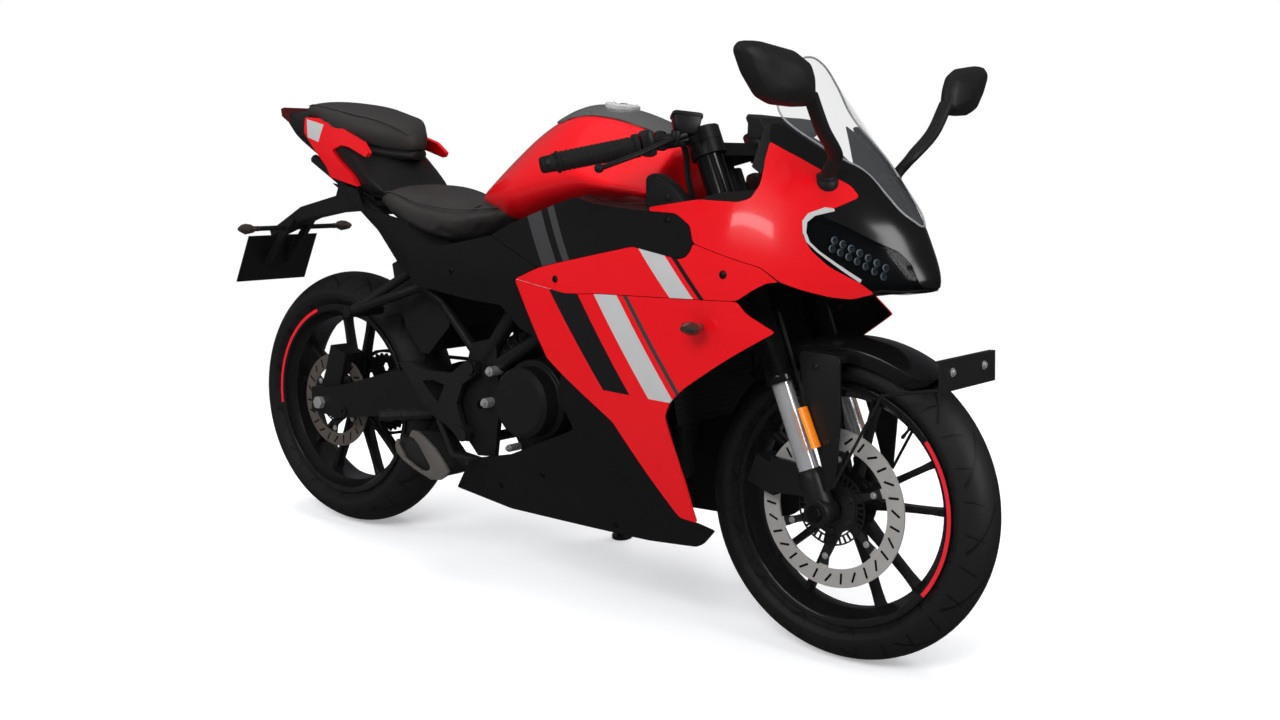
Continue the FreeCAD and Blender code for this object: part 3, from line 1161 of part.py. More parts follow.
def muffler():
    """Short under-slung muffler with a slanted end and an oval heat shield ring."""
    body = slab(MUFFLER_SHARES, -MUFFLER_OUTER, -MUFFLER_INNER)
    body = body.makeChamfer(MUFFLER_ROUND, body.Edges)
    tail = bar(place(TAILPIPE_SHARES[0]), place(TAILPIPE_SHARES[1]), TAILPIPE_RADIUS, 16)
    bore = bar(place(TAILPIPE_SHARES[0]).add(place(TAILPIPE_SHARES[1]).sub(place(TAILPIPE_SHARES[0])) * 0.5),
               place(TAILPIPE_SHARES[1]).add(place(TAILPIPE_SHARES[1]).sub(place(TAILPIPE_SHARES[0]))),
               TAILPIPE_RADIUS - PANEL_WALL)
    return joined([body, tail]).cut(bore)


MUFFLER_SHARES = (
    (-0.266, 0.171), (-0.259, 0.203), (-0.215, 0.219), (-0.151, 0.16), (-0.197, 0.141),
    (-0.25, 0.153))
MUFFLER_OUTER = 168.0
MUFFLER_INNER = 62.0
MUFFLER_ROUND = 16.0
TAILPIPE_SHARES = ((-0.243, -0.088, 0.18), (-0.275, -0.101, 0.19))
TAILPIPE_RADIUS = 20.0


def rearset(side):
    """Footrest plate of one side with its ribbed peg and pedal."""
    inner = side * REARSET_INNER
    outer = side * (REARSET_INNER + REARSET_WALL)
    plate = slab(REARSET_SHARES, min(inner, outer), max(inner, outer))
    plate = plate.cut(slab(REARSET_HOLE_SHARES, min(inner, outer) - OVERRUN, max(inner, outer) + OVERRUN))
    solids = [plate]
    for x, z in REARSET_BOSS_SHARES:
        start = V(x * WHEELBASE, side * (PIVOT_PLATE_INNER + PIVOT_PLATE_THICKNESS), z * WHEELBASE)
        solids.append(bar(start, start.add(ACROSS * (side * BOSS_LENGTH)), REARSET_BOSS_RADIUS))
    root = place(FOOTREST_SHARES[0])
    tip = place(FOOTREST_SHARES[1])
    root, tip = V(root.x, side * -root.y, root.z), V(tip.x, side * -tip.y, tip.z)
    solids.append(ribbed_peg(root, tip))
    pedal = [place(row) for row in PEDAL_SHARES]
    pedal = [V(p.x, side * -p.y, p.z) for p in pedal]
    solids.append(mitred_bar(pedal, PEDAL_RADIUS))
    return joined(solids)


def ribbed_peg(root, tip):
    """Footrest peg: a plain root and a row of square ribs out to its tip."""
    way = tip.sub(root).normalize()
    length = root.distanceToPoint(tip)
    profile = [(0.0, 0.0), (FOOTREST_RADIUS, 0.0)]
    pitch = length * FOOTREST_GRIP_SHARE / FOOTREST_RIBS
    for n in range(FOOTREST_RIBS):
        at = length * (1 - FOOTREST_GRIP_SHARE) + pitch * n
        profile += [(FOOTREST_RADIUS, at), (FOOTREST_RADIUS + FOOTREST_RIB / 2, at),
                    (FOOTREST_RADIUS + FOOTREST_RIB / 2, at + pitch / 2), (FOOTREST_RADIUS, at + pitch / 2)]
    profile += [(FOOTREST_RADIUS, length), (0.0, length)]
    return lathe(profile, root, way, 8)


REARSET_INNER = 140.0
REARSET_WALL = 12.0
REARSET_SHARES = (
    (-0.276, 0.321), (-0.25, 0.325), (-0.213, 0.316), (-0.158, 0.318), (-0.126, 0.341),
    (-0.104, 0.343), (-0.103, 0.324), (-0.131, 0.305), (-0.144, 0.272), (-0.132, 0.243),
    (-0.116, 0.229), (-0.118, 0.216), (-0.137, 0.216), (-0.163, 0.234), (-0.193, 0.244),
    (-0.219, 0.254), (-0.237, 0.283))
REARSET_HOLE_SHARES = ((-0.221, 0.298), (-0.197, 0.303), (-0.171, 0.298), (-0.185, 0.268), (-0.199, 0.278))
REARSET_BOSS_SHARES = ((-0.115, 0.332), (-0.128, 0.226))
REARSET_BOSS_RADIUS = 15.0
BOSS_LENGTH = REARSET_INNER + REARSET_WALL * 1.6 - PIVOT_PLATE_INNER - PIVOT_PLATE_THICKNESS
FOOTREST_SHARES = ((-0.207, -0.107, 0.246), (-0.249, -0.176, 0.246))
FOOTREST_RADIUS = 12.0
FOOTREST_RIBS = 3
FOOTREST_GRIP_SHARE = 0.8
FOOTREST_RIB = 4.0
PEDAL_SHARES = (
    (-0.188, -0.107, 0.239), (-0.14, -0.122, 0.193), (-0.088, -0.124, 0.193),
    (-0.087, -0.144, 0.193))
PEDAL_RADIUS = 6.0


def inner_mudguard():
    """Box ahead of the rear tyre that keeps spray off the shock, with a hugger over the tyre."""
    box = slab(INNER_BOX_SHARES, -INNER_BOX_HALF, INNER_BOX_HALF)
    cut = slab(INNER_BOX_CORE_SHARES, -INNER_BOX_HALF + PANEL_WALL, INNER_BOX_HALF - PANEL_WALL)
    root = place(INNER_BOX_LUG_SHARES)
    near, far = ACROSS * (INNER_BOX_HALF - PANEL_WALL / 2), ACROSS * (INNER_BOX_HALF + INNER_BOX_LUG)
    lugs = [bar(root.add(near * side), root.add(far * side), PEG_RADIUS / 2, 8) for side in (-1, 1)]
    return joined([box.cut(cut)] + lugs)


INNER_BOX_LUG_SHARES = (-0.241, 0, 0.443)
INNER_BOX_LUG = 12.0


INNER_BOX_SHARES = (
    (-0.346, 0.471), (-0.324, 0.482), (-0.265, 0.471), (-0.213, 0.441), (-0.21, 0.382),
    (-0.257, 0.332), (-0.274, 0.332), (-0.309, 0.368), (-0.332, 0.412))
INNER_BOX_CORE_SHARES = (
    (-0.34, 0.463), (-0.324, 0.476), (-0.268, 0.465), (-0.218, 0.438), (-0.214, 0.384),
    (-0.254, 0.34), (-0.243, 0.324), (-0.368, 0.324), (-0.382, 0.471))
INNER_BOX_HALF = 88.0


def plate_hanger():
    """Arm behind the tail with the blank number plate and its light."""
    arm = slab(HANGER_ARM_SHARES, -HANGER_HALF, HANGER_HALF)
    legs = []
    for side in (-1, 1):
        y = side * HANGER_LEG_Y
        legs.append(slab(HANGER_LEG_SHARES, y - HANGER_HALF / 4, y + HANGER_HALF / 4))
    top, low = place(PLATE_TOP_SHARES), place(PLATE_LOW_SHARES)
    way = low.sub(top).normalize()
    back = V(way.z, 0, -way.x)
    corners = [top.add(ACROSS * -PLATE_HALF_WIDTH), top.add(ACROSS * PLATE_HALF_WIDTH),
               low.add(ACROSS * PLATE_HALF_WIDTH), low.add(ACROSS * -PLATE_HALF_WIDTH)]
    plate = polygon_face(corners).extrude(back * -PLATE_WALL)
    stalk = bar(place(INDICATOR_BAR_SHARES).sub(ACROSS * INDICATOR_BAR_HALF),
                place(INDICATOR_BAR_SHARES).add(ACROSS * INDICATOR_BAR_HALF), HANGER_HALF / 4, 8)
    return joined([arm, plate, stalk] + legs)


HANGER_ARM_SHARES = (
    (-0.471, 0.626), (-0.441, 0.568), (-0.471, 0.55), (-0.559, 0.54), (-0.625, 0.526),
    (-0.724, 0.488), (-0.728, 0.497), (-0.64, 0.546), (-0.544, 0.571), (-0.515, 0.647))
HANGER_LEG_SHARES = ((-0.665, 0.526), (-0.651, 0.521), (-0.725, 0.435), (-0.735, 0.441))
HANGER_HALF = 24.0
HANGER_LEG_Y = 30.0
PLATE_TOP_SHARES = (-0.712, 0, 0.491)
PLATE_LOW_SHARES = (-0.749, 0, 0.406)
PLATE_HALF_WIDTH = 104.0
PLATE_WALL = 3.0
INDICATOR_BAR_SHARES = (-0.673, 0, 0.507)
INDICATOR_BAR_HALF = 112.0


def indicators():
    """Two small front indicators on the fairing and two on the plate hanger's bar."""
    solids = []
    for shares, start_y in ((REAR_INDICATOR_SHARES, INDICATOR_BAR_HALF), (FRONT_INDICATOR_SHARES, None)):
        root = place(shares)
        y0 = start_y if start_y else half_width(root.x / WHEELBASE, root.z / WHEELBASE) - PANEL_WALL - PANEL_GAP
        for side in (-1, 1):
            start = V(root.x, side * (y0 + PANEL_GAP), root.z)
            stem = bar(start, start.add(ACROSS * (side * INDICATOR_STEM)), INDICATOR_HEIGHT / 4, 8)
            middle = start.add(ACROSS * (side * (INDICATOR_STEM + INDICATOR_DEPTH / 2 - PANEL_WALL)))
            lens = spindle(middle, INDICATOR_LENGTH / 2, INDICATOR_DEPTH / 2, INDICATOR_HEIGHT / 2)
            solids.append(joined([stem, lens]))
    return Part.makeCompound(solids)


def spindle(middle, half_length, half_depth, half_height):
    """Leaf-shaped lens: eight-sided sections that shrink to both ends across the machine."""
    wires = []
    for share, width in SPINDLE_SHARES:
        y = middle.y + half_depth * share
        points = [V(middle.x + half_length * width * math.cos(math.pi * n / 4), y,
                    middle.z + half_height * width * math.sin(math.pi * n / 4)) for n in range(8)]
        wires.append(points)
    return ring_solid(wires)


SPINDLE_SHARES = ((-1, 0.4), (-0.3, 1), (0.4, 0.85), (1, 0.35))
REAR_INDICATOR_SHARES = (-0.673, 0, 0.507)
FRONT_INDICATOR_SHARES = (0.366, 0, 0.454)
INDICATOR_STEM = 16.0
INDICATOR_LENGTH = 44.0
INDICATOR_DEPTH = 44.0
INDICATOR_HEIGHT = 26.0


def tail_piece(pairs):
    """Right and left panels of the tail, tapering in plan towards the back."""
    solids = []
    for side in (-1, 1):
        front, rear = V(TAIL_FRONT_SHARE * WHEELBASE, side * TAIL_HALF_FRONT, 0), V(TAIL_REAR_SHARE * WHEELBASE, side * TAIL_HALF_REAR, 0)
        inward = ACROSS * (-side * TAIL_WALL)
        strip = polygon_face([front, rear, rear.add(inward), front.add(inward)]).extrude(V(0, 0, WHEELBASE))
        solids.append(strip.common(slab(pairs, -BODY_HALF_WIDTH, BODY_HALF_WIDTH)))
    return Part.makeCompound(solids)


def tail_base():
    """Dark middle of the tail between its two side panels."""
    points = []
    for x_share, half in ((TAIL_FRONT_SHARE, TAIL_HALF_FRONT), (TAIL_REAR_SHARE, TAIL_HALF_REAR)):
        points.append((x_share * WHEELBASE, half - TAIL_WALL - TAIL_BASE_GAP))
    (x0, y0), (x1, y1) = points
    wedge = polygon_face([V(x0, -y0, 0), V(x1, -y1, 0), V(x1, y1, 0), V(x0, y0, 0)]).extrude(V(0, 0, WHEELBASE))
    body = wedge.common(slab(TAIL_BASE_SHARES, -BODY_HALF_WIDTH, BODY_HALF_WIDTH))
    return body.cut(slab(TAIL_HOLLOW_SHARES, -TAIL_HOLLOW_HALF, TAIL_HOLLOW_HALF))


TAIL_HOLLOW_SHARES = (
    (-0.515, 0.581), (-0.382, 0.544), (-0.279, 0.559), (-0.279, 0.585), (-0.382, 0.601),
    (-0.507, 0.64))
TAIL_HOLLOW_HALF = 76.0


def tank():
    """Fuel tank with a recess at the front that the fork clamps swing into."""
    body = swept_body(TANK_SECTIONS_SHARES, *TANK_GRID)
    front = TANK_FRONT_SHARE * WHEELBASE
    recess = Part.makeBox(WHEELBASE, TANK_RECESS_HALF * 2, WHEELBASE, V(front, -TANK_RECESS_HALF, 0))
    cover = slab(TANK_COVER_BED_SHARES, -TANK_COVER_HALF - PANEL_GAP / 2, TANK_COVER_HALF + PANEL_GAP / 2)
    return body.cut(recess).cut(cover).cut(grip_room(-1)).cut(grip_room(1))


def grip_room(side):
    """Room beside the tank's top that one bar swings into at full lock."""
    leg = leg_beside(on_steering(UPPER_CLAMP_HEIGHT), side)
    end = place(BAR_END_SHARES)
    corners = [along(leg, STEER_AXIS, CLAMP_THICKNESS), V(end.x, side * abs(end.y), end.z)]
    turn = FreeCAD.Rotation(STEER_AXIS, side * STEER_LOCK_DEG)
    corners = [STEER_FOOT.add(turn.multVec(corner.sub(STEER_FOOT))) for corner in corners]
    way = corners[1].sub(corners[0]).normalize()
    rise = V(0, -side, 1)
    rise = rise.sub(way * rise.dot(way)).normalize()
    outward = way.cross(rise).normalize()
    outward = outward if outward.z > 0 else outward * -1
    foot = outward * -(BAR_RADIUS + GRIP_ROOM)
    near = corners[0].sub(way * OVERRUN).add(foot)
    far = corners[1].add(way * OVERRUN).add(foot)
    face = polygon_face([near.sub(rise * GRIP_REACH), far.sub(rise * GRIP_REACH),
                         far.add(rise * GRIP_REACH), near.add(rise * GRIP_REACH)])
    return face.extrude(outward * GRIP_REACH)


GRIP_ROOM = 14.0
GRIP_REACH = 200.0


def tank_cover():
    """Textured cover down the middle of the tank's top, with a round well for the cap."""
    cover = slab(TANK_COVER_SHARES, -TANK_COVER_HALF, TANK_COVER_HALF)
    return cover.cut(cap_cylinder(CAP_RADIUS + CAP_GAP, OVERRUN, OVERRUN))


TANK_COVER_BED_SHARES = (
    (-0.046, 0.809), (-0.046, 0.683), (-0.029, 0.683), (0.04, 0.716), (0.115, 0.705),
    (0.229, 0.661), (0.294, 0.661), (0.294, 0.809))
CAP_SHARES = (0.081, 0, 0.736)
CAP_RADIUS = 36.0
CAP_THICKNESS = 12.0
CAP_TILT_DEG = 6.0
CAP_GAP = 2.5


def cap_cylinder(radius, above, below):
    """Cylinder square to the tank's top at the filler."""
    centre = place(CAP_SHARES)
    up = V(math.sin(math.radians(CAP_TILT_DEG)), 0, math.cos(math.radians(CAP_TILT_DEG)))
    return bar(centre.sub(up * below), centre.add(up * above), radius, 24)


def fuel_cap():
    """Filler cap set in the tank's top, hinged at its front edge."""
    return cap_cylinder(CAP_RADIUS, CAP_THICKNESS / 3, CAP_THICKNESS)


def windscreen():
    """Clear screen: one curved section carried up a straight slope, trimmed to its outline."""
    foot, slope = place(SCREEN_FOOT_SHARES), place(SCREEN_SLOPE_SHARES)
    row = [foot.add(V(-SCREEN_DEPTH * w * w, SCREEN_HALF_WIDTH * w, 0)) for w in SCREEN_POINT_SHARES]
    sheet = walled_grid([row, [p.add(slope) for p in row]], BACKWARD * SCREEN_WALL)
    return sheet.common(slab(SCREEN_SHARES, -BODY_HALF_WIDTH, BODY_HALF_WIDTH))


SCREEN_FOOT_SHARES = (0.59, 0, 0.585)
SCREEN_SLOPE_SHARES = (-0.2, 0, 0.232)
SCREEN_POINT_SHARES = (-1, -0.84, -0.68, -0.52, -0.36, -0.18, 0, 0.18, 0.36, 0.52, 0.68, 0.84, 1)
SCREEN_DEPTH = 100.0
SCREEN_HALF_WIDTH = 150.0


def mirror_arm():
    """Right mirror: foot on the screen's rim, bent stem and shield-shaped head."""
    foot, elbow, neck = [place(row) for row in MIRROR_STEM_SHARES]
    stem = mitred_bar([foot, elbow, neck], MIRROR_STEM_RADIUS)
    base = bar(foot.sub(V(0, 0, MIRROR_STEM_RADIUS)), foot.add(V(0, 0, MIRROR_STEM_RADIUS)), MIRROR_STEM_RADIUS * MIRROR_BASE_SHARE)
    inner_y = MIRROR_HEAD_SHARES[0][0]
    outline = []
    for y_share, z_share in MIRROR_HEAD_SHARES:
        x = (MIRROR_HEAD_X_SHARE - MIRROR_SWEEP_SHARE * (inner_y - y_share)) * WHEELBASE
        outline.append(V(x, y_share * WHEELBASE, z_share * WHEELBASE))
    middle = sum(outline, V(0, 0, 0)) * (1 / len(outline))
    wires = []
    for ahead, size in MIRROR_LAYER_SHARES:
        layer = [middle.add(p.sub(middle) * size).add(V(MIRROR_DEPTH * ahead, 0, 0)) for p in outline]
        wires.append(layer)
    head = ring_solid(wires)
    return joined([stem, base, head])


MIRROR_STEM_SHARES = ((0.487, -0.082, 0.647), (0.507, -0.104, 0.678), (0.515, -0.175, 0.751))
MIRROR_STEM_RADIUS = 11.0
MIRROR_HEAD_SHARES = (
    (-0.171, 0.746), (-0.172, 0.779), (-0.185, 0.797), (-0.221, 0.805), (-0.279, 0.808),
    (-0.304, 0.803), (-0.313, 0.793), (-0.303, 0.765), (-0.287, 0.754), (-0.235, 0.744),
    (-0.184, 0.739))
MIRROR_HEAD_X_SHARE = 0.516
MIRROR_SWEEP_SHARE = 0.09
MIRROR_LAYER_SHARES = ((-0.33, 0.97), (-0.1, 1), (0.35, 0.9), (0.62, 0.62))
MIRROR_DEPTH = 40.0
MIRROR_BASE_SHARE = 1.4


def instruments():
    """Instrument display and the cockpit bracket that carries it and the screen."""
    display = slab(DISPLAY_SHARES, -DISPLAY_HALF, DISPLAY_HALF)
    plan = polygon_face([V(x * WHEELBASE, y * WHEELBASE, 0) for x, y in DISPLAY_PLAN_SHARES])
    display = display.common(plan.extrude(V(0, 0, WHEELBASE)))
    bracket = slab(COCKPIT_SHARES, -COCKPIT_HALF, COCKPIT_HALF)
    foot, seat = [place(row) for row in COCKPIT_STAY_SHARES]
    return joined([display, bracket, bar(foot, seat, SMALL_TUBE_RADIUS)])


DISPLAY_SHARES = ((0.335, 0.699), (0.309, 0.724), (0.316, 0.729), (0.368, 0.724), (0.382, 0.706), (0.368, 0.695))
DISPLAY_HALF = 88.0
DISPLAY_PLAN_SHARES = (
    (0.309, -0.013), (0.309, 0.013), (0.331, 0.028), (0.346, 0.044), (0.349, 0.066), (0.39, 0.066),
    (0.39, -0.066), (0.349, -0.066), (0.346, -0.044), (0.331, -0.028))
COCKPIT_SHARES = (
    (0.368, 0.695), (0.382, 0.706), (0.441, 0.68), (0.485, 0.647), (0.515, 0.603), (0.5, 0.588),
    (0.412, 0.662))
COCKPIT_HALF = 40.0
COCKPIT_STAY_SHARES = ((0.306, 0, 0.612), (0.434, 0, 0.659))


def chain():
    """Drive chain as one loop round both sprockets."""
    front = V(DRIVE_SPROCKET_SHARE * WHEELBASE, 0, DRIVE_SPROCKET_HEIGHT)
    rear = V(REAR_AXLE.x, 0, REAR_AXLE.z)
    outer = chain_outline(front, rear, SPROCKET_TOOTH / 2 + CHAIN_SEAT + CHAIN_HEIGHT / 2)
    inner = chain_outline(front, rear, SPROCKET_TOOTH / 2 + CHAIN_SEAT)
    low = ACROSS * (CHAIN_PLANE - CHAIN_WIDTH / 2)
    solids = [face.extrude(ACROSS * CHAIN_WIDTH) for face in (outer, inner)]
    for solid in solids:
        solid.translate(low)
    return solids[0].cut(solids[1])


CHAIN_SEAT = 2.2
DRIVE_SPROCKET_SHARE = -0.057
DRIVE_SPROCKET_HEIGHT = 392.0


def chain_outline(front, rear, rise):
    """Face bounded by a belt line round the two sprockets, a rise outside their pitch radius."""
    small, large = DRIVE_SPROCKET_RADIUS + rise, SPROCKET_RADIUS + rise
    gap = front.sub(rear)
    lean = math.atan2(gap.z, gap.x)
    cone = math.acos((large - small) / gap.Length)

    def on(centre, radius, angle):
        return centre.add(V(radius * math.cos(angle), 0, radius * math.sin(angle)))

    points = []
    for centre, radius, first, turn in ((front, small, lean + cone, -2 * cone), (rear, large, lean - cone, 2 * cone - 2 * math.pi)):
        steps = CHAIN_TURN_STEPS
        points += [on(centre, radius, first + turn * n / steps) for n in range(steps + 1)]
    return polygon_face(points)


CHAIN_TURN_STEPS = 12
SPROCKET_COVER_SHARES = (
    (-0.063, 0.332), (-0.022, 0.338), (0.006, 0.324), (0.016, 0.279), (0.001, 0.246),
    (-0.044, 0.243), (-0.063, 0.257))
SPROCKET_COVER_DEPTH = 44.0


def side_stand():
    """Side stand down: a leg from its pivot lug to a foot that lies flat on the ground."""
    pivot = place(STAND_PIVOT_SHARES)
    lean = math.radians(PARK_LEAN_DEG)
    foot_ground = V(pivot.x + STAND_FOOT_RADIUS, STAND_FOOT_REACH, STAND_FOOT_REACH * math.tan(lean))
    up = V(0, -math.sin(lean), math.cos(lean))
    sole = foot_ground.sub(up * GROUND_SINK)
    foot = bar(sole, sole.add(up * STAND_FOOT_THICKNESS), STAND_FOOT_RADIUS, 12)
    knee = pivot.add(foot_ground).multiply(0.5).add(ACROSS * STAND_BOW)
    leg = mitred_bar([pivot, knee, sole.add(up * (STAND_FOOT_THICKNESS / 2))], STAND_TUBE_RADIUS)
    eye = bar(pivot.sub(STAND_AXIS * STAND_EYE_HALF), pivot.add(STAND_AXIS * STAND_EYE_HALF), STAND_EYE_RADIUS, 12)
    body = joined([leg, foot, eye])
    reach = STAND_AXIS * (STAND_EYE_HALF + OVERRUN)
    return body.cut(bar(pivot.sub(reach), pivot.add(reach), (STAND_PIVOT_RADIUS + TYRE_FIT) / BORE_SHARE, 12))


STAND_PIVOT_SHARES = (-0.051, 0.103, 0.193)
STAND_BOW = 6.0
STAND_EYE_HALF = 12.5
STAND_EYE_RADIUS = 19.0
STAND_FOLDED_WAY = V(-0.985, 0.06, -0.22)
GROUND_SINK = max(FRONT_TYRE_WIDTH, REAR_TYRE_WIDTH) / 2 * (1 - math.cos(math.radians(PARK_LEAN_DEG)))


def stand_axis():
    """Axis that swings the stand's leg from the ground to its place along the swingarm."""
    pivot = place(STAND_PIVOT_SHARES)
    foot = V(pivot.x + STAND_FOOT_RADIUS, STAND_FOOT_REACH, STAND_FOOT_REACH * math.tan(math.radians(PARK_LEAN_DEG)))
    return foot.sub(pivot).cross(STAND_FOLDED_WAY).normalize()


STAND_AXIS = stand_axis()


def stand_bracket():
    """Lug plates and bolt on the frame that the side stand turns on."""
    pivot = place(STAND_PIVOT_SHARES)
    lug_face = STAND_EYE_HALF + RUNNING_CLEARANCE
    solids = []
    for side, radius in ((-1, STAND_EYE_RADIUS), (1, STAND_PIVOT_RADIUS * 2)):
        start = pivot.add(STAND_AXIS * (side * lug_face))
        solids.append(bar(start, start.add(STAND_AXIS * (side * BRACKET_WALL)), radius))
    reach = STAND_AXIS * (STAND_EYE_HALF + BRACKET_WALL)
    bolt = bar(pivot.sub(reach), pivot.add(reach), STAND_PIVOT_RADIUS, 12)
    arm = bar(solids[0].CenterOfMass, place(BRACKET_ANCHOR_SHARES), BRACKET_ARM_RADIUS, 8)
    room = bar(pivot.sub(STAND_AXIS * lug_face), pivot.add(STAND_AXIS * lug_face), STAND_EYE_RADIUS + BRACKET_WALL / 2)
    return joined(solids + [bolt, arm.cut(room)])


BRACKET_ARM_RADIUS = 8.0
BRACKET_WALL = 6.0
BRACKET_ANCHOR_SHARES = (-0.084, 0.085, 0.215)


def pair(*shapes):
    """Right-hand pieces and their left-hand likes as one set."""
    return Part.makeCompound(list(shapes) + [mirrored(shape) for shape in shapes])


def body_nodes():
    """Bodywork panels, screen, tank and seats."""
    brow, flank = nose_skin(PANEL_WALL), side_skin(PANEL_WALL)
    NODES["upper_fairing"] = pair(panel(brow, UPPER_FAIRING_SHARES))
    NODES["side_fairing"] = pair(panel(flank, MID_FAIRING_SHARES), panel(flank, LOWER_FAIRING_SHARES))
    left_belly = mirrored(panel(flank, LEFT_BELLY_SHARES))
    NODES["belly_pan"] = Part.makeCompound([panel(flank, BELLY_SHARES), left_belly])
    NODES["side_covers"] = pair(panel(flank, TANK_SIDE_SHARES), panel(flank, SIDE_COVER_SHARES))
    nose = panel(nose_skin(NOSE_WALL), NOSE_COWL_SHARES)
    NODES["nose_cowl"] = joined([nose, mirrored(nose)])
    lamp = panel(nose_skin(LAMP_WALL), LAMP_SHARES)
    NODES["headlamp"] = joined([lamp, mirrored(lamp)])
    NODES["windscreen"] = windscreen()
    NODES["mirrors"] = pair(mirror_arm())
    NODES["instruments"] = instruments()
    NODES["fuel_tank"] = tank()
    NODES["tank_cover"] = tank_cover()
    NODES["fuel_cap"] = fuel_cap()
    NODES["rider_seat"] = swept_body(RIDER_SEAT_SECTIONS_SHARES, *SEAT_GRID)
    NODES["pillion_seat"] = swept_body(PILLION_SECTIONS_SHARES, *SEAT_GRID)
    NODES["tail_cowl"] = tail_piece(TAIL_COWL_SHARES)
    NODES["tail_side"] = tail_piece(TAIL_SIDE_SHARES)
    NODES["tail_base"] = tail_base()
    NODES["tail_lamp"] = slab(TAIL_LAMP_SHARES, -TAIL_LAMP_HALF, TAIL_LAMP_HALF)


TAIL_LAMP_SHARES = (
    (-0.641, 0.72), (-0.637, 0.707), (-0.602, 0.692), (-0.611, 0.684), (-0.648, 0.704),
    (-0.651, 0.717))
TAIL_LAMP_HALF = 70.0


REAR_BRACKET_SHARES = (
    (-0.494, 0.312), (-0.46, 0.3), (-0.471, 0.243), (-0.482, 0.207), (-0.515, 0.207),
    (-0.519, 0.243), (-0.507, 0.274))


def chassis_nodes():
    """Frame, engine, suspension and what hangs on them."""
    NODES["frame"] = joined([frame(), stand_bracket()])
    NODES["subframe"] = subframe()
    NODES["swingarm"] = swingarm()
    NODES["rear_axle"] = rear_axle()
    NODES["rear_shock"] = rear_shock()
    NODES["engine"] = engine()
    NODES["engine_covers"] = engine_covers()
    NODES["radiator"] = radiator()
    NODES["exhaust"] = joined([exhaust_pipe(), muffler()])
    NODES["footrests"] = Part.makeCompound([rearset(-1), rearset(1)])
    NODES["inner_mudguard"] = inner_mudguard()
    NODES["plate_hanger"] = plate_hanger()
    NODES["indicators"] = indicators()
    NODES["chain"] = chain()
    NODES["sprocket_cover"] = slab(SPROCKET_COVER_SHARES, CRANKCASE_HALF, CRANKCASE_HALF + SPROCKET_COVER_DEPTH)
    arm_face = SWINGARM_HALF_SPAN - SWINGARM_WALL / 2
    body = caliper(REAR_AXLE, REAR_DISC_PLANE, REAR_DISC_RADIUS, REAR_DISC_BAND, REAR_CALIPER_DEG,
                   REAR_BRACKET_SHARES, arm_face - TYRE_FIT)
    NODES["rear_caliper"] = body.cut(bar(REAR_AXLE.sub(ACROSS * arm_face), REAR_AXLE, (AXLE_RADIUS + RUNNING_CLEARANCE) / BORE_SHARE, 12))
    NODES["side_stand"] = side_stand()


# Pieces relieved where a neighbour of the same body passes or seats, as (piece, neighbours)
SEATED = (("hand_controls", ("handlebars",)), ("front_plate", ("front_mudguard",)),
          ("rider_seat", ("fuel_tank",)), ("tail_base", ("rider_seat", "pillion_seat")),
          ("tail_side", ("rider_seat",)), ("subframe", ("frame",)), ("sprocket_cover", ("frame",)),
          ("rear_shock", ("swingarm", "frame")), ("exhaust", ("engine",)),
          ("frame", ("side_fairing",)), ("instruments", ("frame",)), ("radiator", ("engine",)),
          ("mirrors", ("upper_fairing", "nose_cowl")), ("front_mudguard", ("fork_legs",)),
          ("indicators", ("side_fairing", "plate_hanger")), ("inner_mudguard", ("subframe",)),
          ("tail_lamp", ("tail_base",)), ("plate_hanger", ("tail_base",)))


def seat_pieces():
    """Cut each piece of the list back from the neighbours it meets."""
    for piece, neighbours in SEATED:
        kept = []
        for solid in NODES[piece].Solids:
            for neighbour in neighbours:
                solid = max(solid.cut(NODES[neighbour]).Solids, key=lambda part: part.Volume)
            kept.append(solid)
        NODES[piece] = kept[0] if len(kept) == 1 else Part.makeCompound(kept)


def lean_over(shape):
    """The shape leaned to the left about the ground line under both tyres."""
    copy = shape.copy()
    copy.rotate(V(0, 0, 0), V(1, 0, 0), -PARK_LEAN_DEG)
    return copy


def extent(shapes):
    """Corners of the smallest upright box round all the shapes."""
    lows, highs = [], []
    for shape in shapes:
        box = shape.optimalBoundingBox(False, False)
        lows.append((box.XMin, box.YMin, box.ZMin))
        highs.append((box.XMax, box.YMax, box.ZMax))
    return V(*[min(column) for column in zip(*lows)]), V(*[max(column) for column in zip(*highs)])


front_wheel_nodes()
rear_wheel_nodes()
steering_nodes()
body_nodes()
chassis_nodes()
seat_pieces()
PARKED = {name: lean_over(shape) for name, shape in NODES.items()}
LOW, HIGH = extent(PARKED.values())
TO_ORIGIN = V(-(LOW.x + HIGH.x) / 2, -(LOW.y + HIGH.y) / 2, -LOW.z)
for name, shape in PARKED.items():
    shape.translate(TO_ORIGIN)
    shape.exportStep("parts/" + name + ".step")
print("nodes", len(PARKED), "size", HIGH.sub(LOW))
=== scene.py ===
"""Looks of a small faired sport motorcycle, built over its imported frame."""
import json
import logging
import math
from dataclasses import dataclass
from enum import Enum
from functools import partial
from typing import Callable, Iterable, Optional, Sequence

import bmesh
import bpy
from mathutils import Matrix, Vector


